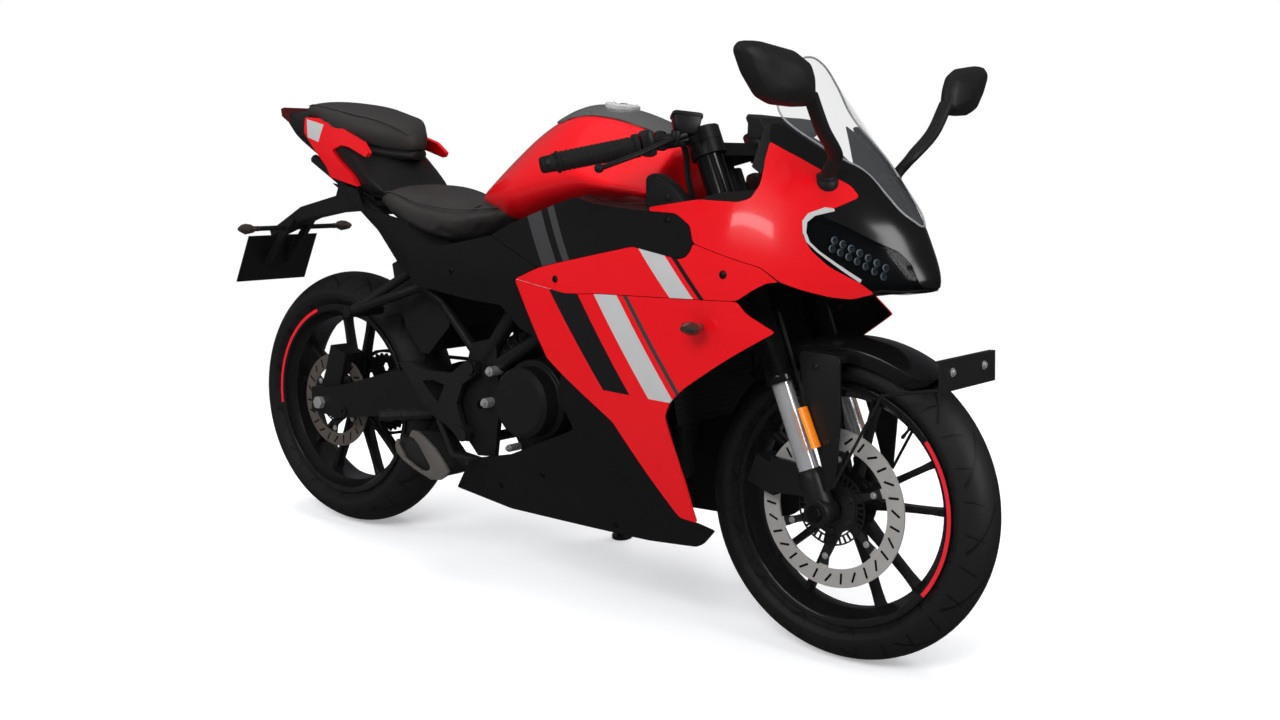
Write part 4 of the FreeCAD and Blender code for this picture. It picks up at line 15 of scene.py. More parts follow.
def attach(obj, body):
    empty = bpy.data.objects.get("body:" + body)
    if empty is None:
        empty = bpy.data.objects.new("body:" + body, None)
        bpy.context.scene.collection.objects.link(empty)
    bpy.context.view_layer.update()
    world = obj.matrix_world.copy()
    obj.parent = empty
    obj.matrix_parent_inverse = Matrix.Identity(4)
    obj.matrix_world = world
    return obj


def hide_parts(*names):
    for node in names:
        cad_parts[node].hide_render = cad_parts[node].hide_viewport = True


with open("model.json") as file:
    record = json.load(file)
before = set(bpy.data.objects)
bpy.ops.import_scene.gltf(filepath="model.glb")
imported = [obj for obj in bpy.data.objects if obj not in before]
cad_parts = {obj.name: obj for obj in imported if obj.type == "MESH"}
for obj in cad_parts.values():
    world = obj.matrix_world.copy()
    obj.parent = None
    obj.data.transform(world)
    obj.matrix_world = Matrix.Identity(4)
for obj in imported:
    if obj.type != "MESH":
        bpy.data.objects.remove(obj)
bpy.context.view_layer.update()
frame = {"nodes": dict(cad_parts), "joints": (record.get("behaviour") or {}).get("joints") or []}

LOG = logging.getLogger("motorcycle")
LEAN = math.radians(8.0)
FRONT_AXLE = Vector((0.68, 0.0, 0.293))
REAR_AXLE = Vector((-0.68, 0.0, 0.3))
ACROSS = Vector((0.0, 1.0, 0.0))
UPWARD = Vector((0.0, 0.0, 1.0))
AHEAD = Vector((1.0, 0.0, 0.0))
SIDES = (-1.0, 1.0)
RAKE = math.radians(24.5)
LOCK = math.radians(27.0)
FORK_HALF = 0.096
CLAMP_HEIGHT = 0.908
STEER_FOOT = Vector((0.775, 0.0, 0.0))
BAR_END = (238.0, 345.0, 893.0)
BAR_ROOM = 0.025
MM = 0.001
WELD = 2e-5
MIRRORED = Matrix.Diagonal((1.0, -1.0, 1.0, 1.0))

Pair = tuple[float, float]
Triple = tuple[float, float, float]
BMesh = bmesh.types.BMesh
BMVert = bmesh.types.BMVert
BMEdge = bmesh.types.BMEdge
BMFace = bmesh.types.BMFace
Tree = bpy.types.NodeTree
Socket = bpy.types.NodeSocket
Node = bpy.types.Node
Thing = bpy.types.Object


class Body(Enum):
    """The bodies of the frame that pieces ride on."""

    CHASSIS = "chassis"
    STEERING = "steering"
    FRONT_WHEEL = "front_wheel"
    REAR_WHEEL = "rear_wheel"
    STAND = "stand"
    CAP = "cap"


def parked_place() -> Matrix:
    """The transform from the upright machine to the parked one.

    Returns:
        The lean onto the side stand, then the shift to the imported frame's origin.
    """
    turn = Matrix.Rotation(-LEAN, 4, "X")
    hub = next(j["pos_m"] for j in frame["joints"] if j["name"] == "front_wheel_spin")
    return Matrix.Translation(Vector(hub) - turn @ FRONT_AXLE) @ turn


PARK = parked_place()


# Finishes

COAT_ROUGHNESS = 0.03
CLOUDS_PER_M = 14.0
TWILL_PER_M = 260.0
PEBBLES_PER_M = 420.0
RINGS_PER_M = 1400.0
FIN_ROWS_PER_M = 200.0
FINS_PER_M = 700.0


def fed(tree: Tree, slot: Socket, value: object) -> None:
    """Gives a node's input a value, or links a socket to it.

    Args:
        tree: The node tree.
        slot: The input.
        value: The value or the socket.
    """
    if isinstance(value, Socket):
        tree.links.new(value, slot)
    else:
        slot.default_value = value


def node(tree: Tree, kind: str, **values: object) -> Node:
    """Adds a shader node.

    Args:
        tree: The node tree.
        kind: The node's type, without the words in front that all have.
        values: A value or a socket for each input, whose name has low lines for its spaces.

    Returns:
        The node.
    """
    made = tree.nodes.new("ShaderNode" + kind)
    for name, value in values.items():
        fed(tree, made.inputs[name.replace("_", " ")], value)
    return made


def mixed(tree: Tree, factor: Socket, first: object, second: object) -> Socket:
    """A colour between two, by a factor.

    Args:
        tree: The node tree.
        factor: 0 for the first colour, 1 for the second.
        first: A socket or a colour.
        second: A socket or a colour.

    Returns:
        The mixed colour.
    """
    mix = tree.nodes.new("ShaderNodeMix")
    mix.data_type = "RGBA"
    for name, value in (("Factor", factor), ("A", first), ("B", second)):
        fed(tree, mix.inputs[name], value if isinstance(value, Socket) else (*value, 1.0))
    return mix.outputs["Result"]


class Pattern(Enum):
    """The surface detail that a finish carries."""

    GRAIN = "grain"
    WEAVE = "weave"
    TREAD = "tread"
    TURNED = "turned"
    VINYL = "vinyl"
    CORE = "core"


@dataclass(frozen=True)
class Finish:
    """One finish of the machine, made of procedural nodes on Object coordinates."""

    name: str
    colour: Triple
    metallic: float = 0.0
    roughness: float = 0.4
    coat: float = 0.0
    specular: float = 0.5
    grain_per_m: float = 900.0
    bump: float = 0.06
    colour_shift: float = 0.12
    rough_shift: float = 0.08
    alpha: float = 1.0
    glow: float = 0.0
    pattern: Pattern = Pattern.GRAIN
    centre: Triple = (0.0, 0.0, 0.0)
    split_radius: float = 0.0

    def material(self) -> bpy.types.Material:
        """Returns the finish's material, made on first use."""
        made = bpy.data.materials.get("look_" + self.name)
        return made if made is not None else self._build()

    def _build(self) -> bpy.types.Material:
        """Builds the node tree: grain, colour and roughness variation, then the pattern.

        Returns:
            The new material.
        """
        material = bpy.data.materials.new("look_" + self.name)
        material.use_nodes = True
        tree = material.node_tree
        shader = tree.nodes["Principled BSDF"]
        fixed = {"Metallic": self.metallic, "Coat Weight": self.coat, "Specular IOR Level": self.specular,
                 "Coat Roughness": COAT_ROUGHNESS, "Alpha": self.alpha}
        if self.glow:
            fixed.update({"Emission Color": (*self.colour, 1.0), "Emission Strength": self.glow})
        for name, value in fixed.items():
            shader.inputs[name].default_value = value
        place = tree.nodes.new("ShaderNodeTexCoord").outputs["Object"]
        cloud = node(tree, "TexNoise", Scale=CLOUDS_PER_M, Detail=5.0, Vector=place).outputs["Fac"]
        grain = node(tree, "TexNoise", Scale=self.grain_per_m, Detail=3.0, Vector=place).outputs["Fac"]
        dark = tuple(c * (1.0 - self.colour_shift) for c in self.colour)
        light = tuple(min(1.0, c * (1.0 + self.colour_shift)) for c in self.colour)
        shade = mixed(tree, cloud, dark, light)
        rough = node(tree, "MapRange", To_Min=max(0.02, self.roughness - self.rough_shift),
                     To_Max=min(1.0, self.roughness + self.rough_shift), Value=cloud)
        relief = node(tree, "Bump", Strength=self.bump, Distance=0.0006, Height=grain)
        fed(tree, shader.inputs["Roughness"], rough.outputs["Result"])
        fed(tree, shader.inputs["Normal"], relief.outputs["Normal"])
        fed(tree, shader.inputs["Base Color"], self._dress(tree, place, shade, relief))
        return material

    def _dress(self, tree: Tree, place: Socket, colour: Socket,
               relief: Node) -> Socket:
        """Adds the finish's pattern.

        Args:
            tree: The material's node tree.
            place: Its texture coordinates.
            colour: The colour so far.
            relief: The bump node, whose height the pattern may take over.

        Returns:
            The colour to use.
        """
        if self.pattern is Pattern.WEAVE:
            return self._weave(tree, place, colour)
        if self.pattern is Pattern.TREAD:
            return self._tread(tree, place, colour, relief)
        if self.pattern is Pattern.TURNED:
            return self._turned(tree, place, colour)
        if self.pattern is Pattern.VINYL:
            return self._vinyl(tree, place, colour, relief)
        if self.pattern is Pattern.CORE:
            return self._core(tree, place, colour, relief)
        return colour

    def _upright(self, tree: Tree, place: Socket) -> list[Socket]:
        """Coordinates of the upright machine, measured from the finish's centre.

        Args:
            tree: The material's node tree.
            place: Its texture coordinates.

        Returns:
            The X, Y and Z sockets, in metres.
        """
        turn = PARK.to_3x3().inverted()
        mapping = node(tree, "Mapping", Vector=place, Rotation=turn.to_euler(),
                       Location=-(turn @ (PARK @ Vector(self.centre))))
        parts = node(tree, "SeparateXYZ", Vector=mapping.outputs["Vector"])
        return [parts.outputs[axis] for axis in "XYZ"]

    @staticmethod
    def _sum(tree: Tree, kind: str, first: object, second: object = 0.0) -> Socket:
        """One math node.

        Args:
            tree: The material's node tree.
            kind: The operation.
            first: A socket or a number.
            second: A socket or a number.

        Returns:
            The node's result.
        """
        made = tree.nodes.new("ShaderNodeMath")
        made.operation = kind
        for slot, value in zip(made.inputs, (first, second)):
            fed(tree, slot, value)
        return made.outputs[0]

    def _weave(self, tree: Tree, place: Socket,
               colour: Socket) -> Socket:
        """Fine twill squares of light and dark, as woven cloth under lacquer.

        Args:
            tree: The material's node tree.
            place: Its texture coordinates.
            colour: The colour so far.

        Returns:
            The colour to use.
        """
        x, y, _ = self._upright(tree, place)
        do = partial(self._sum, tree)
        squares = []
        for kind in ("ADD", "SUBTRACT"):
            slant = do(kind, do("MULTIPLY", x, TWILL_PER_M), do("MULTIPLY", y, TWILL_PER_M))
            squares.append(do("GREATER_THAN", do("PINGPONG", slant, 1.0), 0.5))
        both = do("ABSOLUTE", do("SUBTRACT", *squares))
        return mixed(tree, both, colour, tuple(min(1.0, c * 3.0) for c in self.colour))

    def _tread(self, tree: Tree, place: Socket, colour: Socket,
               relief: Node) -> Socket:
        """Slanting grooves either side of a plain middle band, pressed into the tyre, with painted shade darkening
        them.

        Args:
            tree: The material's node tree.
            place: Its texture coordinates.
            colour: The colour so far.
            relief: The bump node, whose height the pattern takes over.

        Returns:
            The colour to use.
        """
        x, y, z = self._upright(tree, place)
        do = partial(self._sum, tree)
        angle = do("ARCTAN2", z, x)
        across = do("ABSOLUTE", y)
        side = do("GREATER_THAN", y, 0.0)
        turned = do("MULTIPLY", angle, 14.0 / math.tau)
        lean = do("MULTIPLY", across, 16.0)
        phase = do("ADD", do("ADD", turned, lean), do("MULTIPLY", side, 0.5))
        place_in = do("ABSOLUTE", do("SUBTRACT", do("FRACT", phase), 0.5))
        near = do("LESS_THAN", place_in, 0.035)
        band_low = do("GREATER_THAN", across, 0.007)
        band_high = do("LESS_THAN", across, self.split_radius)
        groove = do("MULTIPLY", near, do("MULTIPLY", band_low, band_high))
        finer = do("ADD", do("MULTIPLY", angle, 28.0 / math.tau), do("MULTIPLY", across, -9.0))
        finer = do("ABSOLUTE", do("SUBTRACT", do("FRACT", finer), 0.5))
        ends = do("MULTIPLY", do("GREATER_THAN", across, self.split_radius * 0.6),
                  do("LESS_THAN", across, self.split_radius * 1.05))
        fine = do("MULTIPLY", do("LESS_THAN", finer, 0.03), ends)
        cut = do("MAXIMUM", groove, fine)
        relief.inputs["Strength"].default_value = 0.8
        relief.inputs["Distance"].default_value = 0.003
        old = relief.inputs["Height"].links[0].from_socket
        height = do("SUBTRACT", do("MULTIPLY", old, 0.06), cut)
        fed(tree, relief.inputs["Height"], height)
        # The grooves are painted darker than the rubber: painted shade inside them.
        return mixed(tree, cut, colour, (0.002, 0.002, 0.002))

    def _turned(self, tree: Tree, place: Socket,
                colour: Socket) -> Socket:
        """Bright turned band outside a radius and dark carrier inside it.

        Args:
            tree: The material's node tree.
            place: Its texture coordinates.
            colour: The colour so far.

        Returns:
            The colour to use.
        """
        x, _, z = self._upright(tree, place)
        do = partial(self._sum, tree)
        radius = do("SQRT", do("ADD", do("MULTIPLY", x, x), do("MULTIPLY", z, z)))
        rings = do("PINGPONG", do("MULTIPLY", radius, RINGS_PER_M), 1.0)
        bright = mixed(tree, rings, colour, tuple(c * 0.82 for c in self.colour))
        inside = do("LESS_THAN", radius, self.split_radius)
        bare = do("MULTIPLY", do("SUBTRACT", 1.0, inside), self.metallic)
        fed(tree, tree.nodes["Principled BSDF"].inputs["Metallic"], bare)
        return mixed(tree, inside, bright, (0.012, 0.012, 0.013))

    def _vinyl(self, tree: Tree, place: Socket, colour: Socket,
               relief: Node) -> Socket:
        """Small pebbled cells of seat vinyl.

        Args:
            tree: The material's node tree.
            place: Its texture coordinates.
            colour: The colour so far.
            relief: The bump node, whose height the pattern takes over.

        Returns:
            The colour to use.
        """
        cells = node(tree, "TexVoronoi", Scale=PEBBLES_PER_M, Vector=place)
        fed(tree, relief.inputs["Height"], cells.outputs["Distance"])
        relief.inputs["Strength"].default_value = 0.35
        return colour

    def _core(self, tree: Tree, place: Socket, colour: Socket,
              relief: Node) -> Socket:
        """Fine upright fins between flat rows, as on a cooler, with painted shade in the gaps between them.

        Args:
            tree: The material's node tree.
            place: Its texture coordinates.
            colour: The colour so far.
            relief: The bump node, whose height the pattern takes over.

        Returns:
            The colour to use.
        """
        _, y, z = self._upright(tree, place)
        do = partial(self._sum, tree)
        rows = do("GREATER_THAN", do("PINGPONG", do("MULTIPLY", z, FIN_ROWS_PER_M), 1.0), 0.35)
        fins = do("GREATER_THAN", do("PINGPONG", do("MULTIPLY", y, FINS_PER_M), 1.0), 0.5)
        both = do("MULTIPLY", rows, fins)
        fed(tree, relief.inputs["Height"], both)
        relief.inputs["Strength"].default_value = 0.6
        # The gaps between the fins and rows are painted near black: painted shade between them.
        return mixed(tree, both, (0.01, 0.01, 0.01), colour)


RED = Finish("gloss_red_paint", (0.64, 0.003, 0.007), roughness=0.2, coat=0.5, bump=0.004, grain_per_m=140.0,
             colour_shift=0.03, rough_shift=0.03)
RED_STRIPE = Finish("red_rim_stripe", (0.72, 0.006, 0.02), roughness=0.35, bump=0.02, colour_shift=0.05)
GLOSS_BLACK = Finish("gloss_black_paint", (0.005, 0.005, 0.005), roughness=0.14, specular=0.45, bump=0.004,
                     grain_per_m=140.0, rough_shift=0.03)
SATIN_BLACK = Finish("satin_black_paint", (0.0075, 0.0072, 0.007), roughness=0.4, bump=0.05)
CAST_BLACK = Finish("cast_wheel_black", (0.007, 0.0068, 0.0068), roughness=0.26, coat=0.3, bump=0.04)
MATT_BLACK = Finish("moulded_black", (0.0085, 0.0082, 0.0078), roughness=0.52, bump=0.18, grain_per_m=1600.0)
RUBBER = Finish("grip_rubber", (0.008, 0.0078, 0.0075), roughness=0.66, bump=0.3, grain_per_m=1200.0)
FRONT_TREAD = Finish("front_tread_rubber", (0.0085, 0.0083, 0.008), roughness=0.55, pattern=Pattern.TREAD,
                     centre=tuple(FRONT_AXLE), split_radius=0.05)
REAR_TREAD = Finish("rear_tread_rubber", (0.0085, 0.0083, 0.008), roughness=0.55, pattern=Pattern.TREAD,
                    centre=tuple(REAR_AXLE), split_radius=0.062)
CHROME = Finish("hard_chrome", (0.8, 0.8, 0.81), metallic=0.75, roughness=0.2, bump=0.01, rough_shift=0.04)
STEEL = Finish("bright_steel", (0.62, 0.61, 0.59), metallic=0.75, roughness=0.34, bump=0.08)
DARK_STEEL = Finish("oiled_steel", (0.07, 0.066, 0.06), metallic=1.0, roughness=0.42, bump=0.1)
FRONT_DISC = Finish("front_disc_steel", (0.46, 0.44, 0.42), metallic=0.35, roughness=0.4, pattern=Pattern.TURNED,
                    centre=tuple(FRONT_AXLE), split_radius=0.108)
REAR_DISC = Finish("rear_disc_steel", (0.12, 0.1, 0.085), metallic=0.4, roughness=0.42, pattern=Pattern.TURNED,
                   centre=tuple(REAR_AXLE), split_radius=0.078)
ALLOY = Finish("cast_alloy", (0.022, 0.021, 0.02), metallic=0.5, roughness=0.48, bump=0.25, grain_per_m=700.0)
COOLER = Finish("cooler_core", (0.03, 0.03, 0.031), metallic=0.6, roughness=0.5, pattern=Pattern.CORE)
VINYL = Finish("seat_vinyl", (0.027, 0.0245, 0.0232), roughness=0.5, specular=0.4, pattern=Pattern.VINYL)
SEAM = Finish("seat_seam_thread", (0.03, 0.03, 0.03), roughness=0.7, bump=0.3)
WEAVE = Finish("tank_cover_weave", (0.036, 0.035, 0.034), roughness=0.28, coat=0.5, pattern=Pattern.WEAVE)
SILVER = Finish("silver_stripe", (0.5, 0.5, 0.5), metallic=0.2, roughness=0.35, bump=0.03, colour_shift=0.04)
# Dark grey: a real stripe on the lower panels, and painted reflection bands on the tank side panels.
GREY_STRIPE_AND_REFLECTION = Finish("grey_stripe_and_painted_reflection", (0.035, 0.035, 0.036), roughness=0.3, coat=0.4, bump=0.02,
                     colour_shift=0.05)
BLACK_STRIPE = Finish("black_stripe", (0.006, 0.006, 0.0065), roughness=0.3, coat=0.5, bump=0.02)
SCREEN = Finish("clear_screen", (0.2, 0.21, 0.22), roughness=0.03, alpha=0.12, bump=0.0, colour_shift=0.0,
                rough_shift=0.01)
SCREEN_EDGE = Finish("screen_edge", (0.3, 0.31, 0.32), roughness=0.12, alpha=0.75, bump=0.0, colour_shift=0.02)
LENS = Finish("smoked_lens", (0.002, 0.0025, 0.003), roughness=0.08, specular=0.25, alpha=0.45, bump=0.0,
              rough_shift=0.02)
LAMP_INSIDE = Finish("lamp_inside", (0.004, 0.0045, 0.005), roughness=0.45, specular=0.3, bump=0.05)
LED = Finish("lamp_led", (0.15, 0.19, 0.22), metallic=0.3, roughness=0.25, glow=0.08, bump=0.05, grain_per_m=300.0)
# The reflector's glow is painted light: a reflector gives no light of its own.
AMBER = Finish("amber_reflector_painted_glow", (0.9, 0.22, 0.005), roughness=0.25, coat=0.6, bump=0.3, grain_per_m=500.0,
               glow=0.1)
SMOKE_AMBER = Finish("indicator_lens", (0.03, 0.019, 0.015), roughness=0.2, coat=0.7, bump=0.4, grain_per_m=260.0)
RED_LENS = Finish("red_lens", (0.05, 0.002, 0.003), roughness=0.15, coat=0.8, bump=0.2, grain_per_m=300.0)
HEAT_SHIELD = Finish("heat_shield", (0.02, 0.019, 0.018), metallic=0.3, roughness=0.55, bump=0.3)
SHIELD_GREY = Finish("shield_grey", (0.13, 0.12, 0.108), metallic=0.4, roughness=0.45, bump=0.2)


# Mesh making

def metres(pairs: Sequence[Pair]) -> list[Pair]:
    """The points of an outline, from millimetres to metres."""
    return [(a * MM, b * MM) for a, b in pairs]


def spot(x: float, y: float, z: float) -> Vector:
    """A point of the upright machine, from millimetres to metres."""
    return Vector((x, y, z)) * MM


def linear(table: Sequence[Pair], x: float) -> float:
    """Value at x of a broken line through a table, held level beyond its ends.

    Args:
        table: The rows (x, value), in rising order of x.
        x: The place to read.

    Returns:
        The value.
    """
    for (x0, y0), (x1, y1) in zip(table, table[1:]):
        if x0 <= x <= x1:
            return y0 + (y1 - y0) * (x - x0) / (x1 - x0)
    return table[0][1] if x < table[0][0] else table[-1][1]


def smoothed(table: Sequence[Pair], x: float) -> float:
    """Value at x of a smooth curve through a table.

    Args:
        table: The rows (x, value), in rising order of x.
        x: The place to read.

    Returns:
        The value, held level beyond the table's ends.
    """
    if x <= table[0][0]:
        return table[0][1]
    if x >= table[-1][0]:
        return table[-1][1]
    n = next(i for i in range(len(table) - 1) if table[i + 1][0] >= x)
    (x0, y0), (x1, y1) = table[n], table[n + 1]
    before = table[n - 1] if n > 0 else table[n]
    after = table[n + 2] if n + 2 < len(table) else table[n + 1]
    t = (x - x0) / (x1 - x0)
    m0 = (y1 - before[1]) / (x1 - before[0]) * (x1 - x0)
    m1 = (after[1] - y0) / (after[0] - x0) * (x1 - x0)
    return ((2 * t ** 3 - 3 * t ** 2 + 1) * y0 + (t ** 3 - 2 * t ** 2 + t) * m0
            + (-2 * t ** 3 + 3 * t ** 2) * y1 + (t ** 3 - t ** 2) * m1)


def rounded(outline: Sequence[Pair], radius: float, steps: int = 3) -> list[Pair]:
    """An outline with its corners rounded.

    Args:
        outline: The corners in order, closed.
        radius: How far from a corner its rounding starts.
        steps: How many points each corner gets, less one.

    Returns:
        The rounded outline.
    """
    points: list[Pair] = []
    count = len(outline)
    for n in range(count):
        before, here, after = (Vector(outline[(n + k) % count]) for k in (-1, 0, 1))
        reach_in = min(radius, (before - here).length * 0.45)
        reach_out = min(radius, (after - here).length * 0.45)
        start = here + (before - here).normalized() * reach_in
        end = here + (after - here).normalized() * reach_out
        for k in range(steps + 1):
            t = k / steps
            point = start.lerp(here, t).lerp(here.lerp(end, t), t)
            points.append((point.x, point.y))
    return points


def aimed(origin: Vector, way: Vector) -> Matrix:
    """The transform that takes Z at the origin to a direction at a point."""
    return Matrix.Translation(origin) @ way.to_track_quat("Z", "Y").to_matrix().to_4x4()


def turned(bm: BMesh, profile: Sequence[Pair], origin: Vector, way: Vector, steps: int = 48,
           closed: bool = False) -> None:
    """Spins a profile about an axis.

    Args:
        bm: The mesh to add to.
        profile: Points (radius, height along the axis).
        origin: The axis's foot.
        way: The axis's direction.
        steps: How many steps round.
        closed: Whether the profile joins its own start.
    """
    start = set(bm.verts)
    row = [bm.verts.new((r, 0.0, h)) for r, h in profile]
    edges = [bm.edges.new(pair) for pair in zip(row, row[1:])]
    if closed:
        edges.append(bm.edges.new((row[-1], row[0])))
    bmesh.ops.spin(bm, geom=row + edges, axis=(0, 0, 1), cent=(0, 0, 0), angle=math.tau, steps=steps,
                   use_merge=True)
    new = [v for v in bm.verts if v not in start]
    bmesh.ops.remove_doubles(bm, verts=new, dist=1e-6)
    new = [v for v in bm.verts if v not in start]
    faces = {f for v in new for f in v.link_faces}
    bmesh.ops.recalc_face_normals(bm, faces=list(faces))
    bmesh.ops.transform(bm, matrix=aimed(origin, way), verts=new)


def swept(bm: BMesh, path: Sequence[Vector], radius: float, sides: int = 14,
          flat: float = 1.0) -> None:
    """A round bar along a smoothed path, closed at both ends.

    Args:
        bm: The mesh to add to.
        path: The points it passes.
        radius: Its radius.
        sides: How many sides its section has.
        flat: Its section's second radius as a share of the first.
    """
    points = softened(path) if len(path) > 2 else list(path)
    rings = []
    new: list[BMVert] = []
    for n, point in enumerate(points):
        ahead = points[min(n + 1, len(points) - 1)] - points[max(n - 1, 0)]
        place = aimed(point, ahead.normalized()) @ Matrix.Diagonal((1.0, flat, 1.0, 1.0))
        made = bmesh.ops.create_circle(bm, segments=sides, radius=radius, matrix=place,
                                       cap_ends=n in (0, len(points) - 1))
        rings.append(list({e for v in made["verts"] for e in v.link_edges}))
        new += made["verts"]
    for first, second in zip(rings, rings[1:]):
        bmesh.ops.bridge_loops(bm, edges=first + second)
    faces = {f for v in new for f in v.link_faces}
    bmesh.ops.recalc_face_normals(bm, faces=list(faces))


def on_curve(a: Vector, b: Vector, c: Vector, d: Vector, t: float) -> Vector:
    """Point of the smooth curve through four points, between the two in the middle.

    Args:
        a: The first point.
        b: The second, where t is 0.
        c: The third, where t is 1.
        d: The last.
        t: How far on it lies.

    Returns:
        The point.
    """
    return 0.5 * ((2 * b) + (c - a) * t + (2 * a - 5 * b + 4 * c - d) * t * t + (3 * b - a - 3 * c + d) * t ** 3)


def softened(path: Sequence[Vector], steps: int = 6) -> list[Vector]:
    """A smooth run of points through the points of a path.

    Args:
        path: The points.
        steps: How many points it gets from one to the next.

    Returns:
        The run, which ends at the path's last point.
    """
    points = [Vector(p) for p in path]
    rows = [points[0] * 2 - points[1]] + points + [points[-1] * 2 - points[-2]]
    out = []
    for a, b, c, d in zip(rows, rows[1:], rows[2:], rows[3:]):
        for k in range(steps):
            t = k / steps
            out.append(on_curve(a, b, c, d, t))
    out.append(points[-1])
    return out


def plated(bm: BMesh, outline: Sequence[Pair], y_low: float, y_high: float,
           bevel: float = 0.0, segments: int = 2) -> None:
    """A plate cut to a side-view outline.

    Args:
        bm: The mesh to add to.
        outline: Points (x, z).
        y_low: Its lower side.
        y_high: Its higher side.
        bevel: Width of the bevel round its edges.
        segments: How many faces the bevel has.
    """
    start = set(bm.verts)
    face = bm.faces.new([bm.verts.new((x, y_low, z)) for x, z in outline])
    out = bmesh.ops.extrude_face_region(bm, geom=[face])
    top = [v for v in out["geom"] if isinstance(v, BMVert)]
    bmesh.ops.translate(bm, vec=(0, y_high - y_low, 0), verts=top)
    new = [v for v in bm.verts if v not in start]
    faces = list({f for v in new for f in v.link_faces})
    bmesh.ops.recalc_face_normals(bm, faces=faces)
    if bevel:
        rims = [e for e in {e for v in new for e in v.link_edges}
                if len(e.link_faces) == 2 and e.calc_face_angle(0.0) > 0.6]
        bmesh.ops.bevel(bm, geom=rims, offset=bevel, segments=segments, affect="EDGES", profile=0.5,
                        material=-1, clamp_overlap=True)


def whole(bm: BMesh) -> list[BMVert | BMEdge | BMFace]:
    """Everything that a mesh is made of."""
    return bm.verts[:] + bm.edges[:] + bm.faces[:]


def facing(bm: BMesh, way: Vector) -> None:
    """Turns a sheet over if it faces away from a direction.

    Args:
        bm: The sheet.
        way: The direction that it has to face.
    """
    bm.normal_update()
    if sum(f.normal.dot(way) * f.calc_area() for f in bm.faces) < 0:
        bmesh.ops.reverse_faces(bm, faces=bm.faces)


def bridged(bm: BMesh, rows: Iterable[Sequence[Vector]]) -> list[BMFace]:
    """Makes a sheet of open rows of points, each joined to the next.

    Args:
        bm: The mesh to add to.
        rows: The rows in order.

    Returns:
        The new faces.
    """
    chains = []
    for points in rows:
        row = [bm.verts.new(p) for p in points]
        chains.append([bm.edges.new(pair) for pair in zip(row, row[1:])])
    faces: list[BMFace] = []
    for first, second in zip(chains, chains[1:]):
        faces += bmesh.ops.bridge_loops(bm, edges=first + second)["faces"]
    return faces


def gridded(bm: BMesh, step: Pair) -> None:
    """Cuts a flat mesh in the X-Z plane along the lines of a grid.

    Args:
        bm: The mesh.
        step: The grid's spacing along X and Z.
    """
    for axis, gap in ((0, step[0]), (2, step[1])):
        low = min(v.co[axis] for v in bm.verts)
        high = max(v.co[axis] for v in bm.verts)
        normal = UPWARD if axis else AHEAD
        line = math.floor(low / gap) * gap + gap
        while line < high - 1e-6:
            bmesh.ops.bisect_plane(bm, geom=whole(bm), dist=1e-7,
                                   plane_co=normal * line, plane_no=normal)
            line += gap


def skinned(outline: Sequence[Pair], lift: Callable[[float, float], Vector], step: Pair) -> BMesh:
    """A sheet over the bodywork's surface, bounded by an outline, and its mirror image.

    Args:
        outline: The outline in the surface's own two coordinates.
        lift: Takes those coordinates to a point of the right side.
        step: The grid's spacing in those coordinates.

    Returns:
        The mesh, with its faces pointing outwards.
    """
    bm = bmesh.new()
    bm.faces.new([bm.verts.new((u, 0.0, v)) for u, v in outline])
    gridded(bm, step)
    tidied(bm, min(step) * 0.3)
    for vert in bm.verts:
        vert.co = lift(vert.co.x, vert.co.z)
    bmesh.ops.remove_doubles(bm, verts=bm.verts, dist=WELD)
    facing(bm, -ACROSS)
    bmesh.ops.mirror(bm, geom=whole(bm), axis="Y", merge_dist=WELD)
    bm.normal_update()
    for face in bm.faces:
        middle = face.calc_center_median()
        if middle.y * face.normal.y < -1e-9 and abs(middle.y) > 1e-4:
            face.normal_flip()
    return bm


def tidied(bm: BMesh, least: float) -> None:
    """Welds the slivers that cutting along a grid leaves, and keeps the outline and the fields' edges.

    Args:
        bm: The flat mesh.
        least: The shortest edge that stays.
    """
    target: dict[BMVert, BMVert] = {}
    used: set[BMVert] = set()
    for edge in sorted((e for e in bm.edges if e.calc_length() < least), key=lambda e: e.calc_length()):
        keep, go = sorted(edge.verts, key=_hold, reverse=True)
        if keep in used or go in used or (_hold(go) > 0 and not (edge.is_boundary and _hold(go) == 1)):
            continue
        target[go] = keep
        used.update((keep, go))
    bmesh.ops.weld_verts(bm, targetmap=target)


def _hold(vert: BMVert) -> int:
    """How firmly a vertex keeps its place: 0 inside a field, 1 on a straight rim, 2 at a corner or a field's edge.

    Args:
        vert: The vertex.

    Returns:
        The rank.
    """
    if len({f.material_index for f in vert.link_faces}) > 1:
        return 2
    if not vert.is_boundary:
        return 0
    rim = [e.other_vert(vert).co - vert.co for e in vert.link_edges if e.is_boundary]
    return 1 if len(rim) == 2 and min(r.length for r in rim) > 1e-9 and rim[0].angle(rim[1]) > 3.05 else 2


@dataclass(frozen=True)
class Wall:
    """A sheet's thickness, the rounding of its edges, and how far on in the finishes its inner side's one is."""

    thickness: float = 0.0035
    edge: float = 0.0
    inner: int = 0


THIN_WALL = Wall(0.003)


def eased(made: Thing, width: float, degrees: float) -> None:
    """Gives an object's sharp edges a bevel.

    Args:
        made: The object.
        width: The bevel's width.
        degrees: Edges that fold by more than this angle get it.
    """
    edge = made.modifiers.new("edge", "BEVEL")
    edge.width = width
    edge.segments = 2
    edge.limit_method = "ANGLE"
    edge.angle_limit = math.radians(degrees)


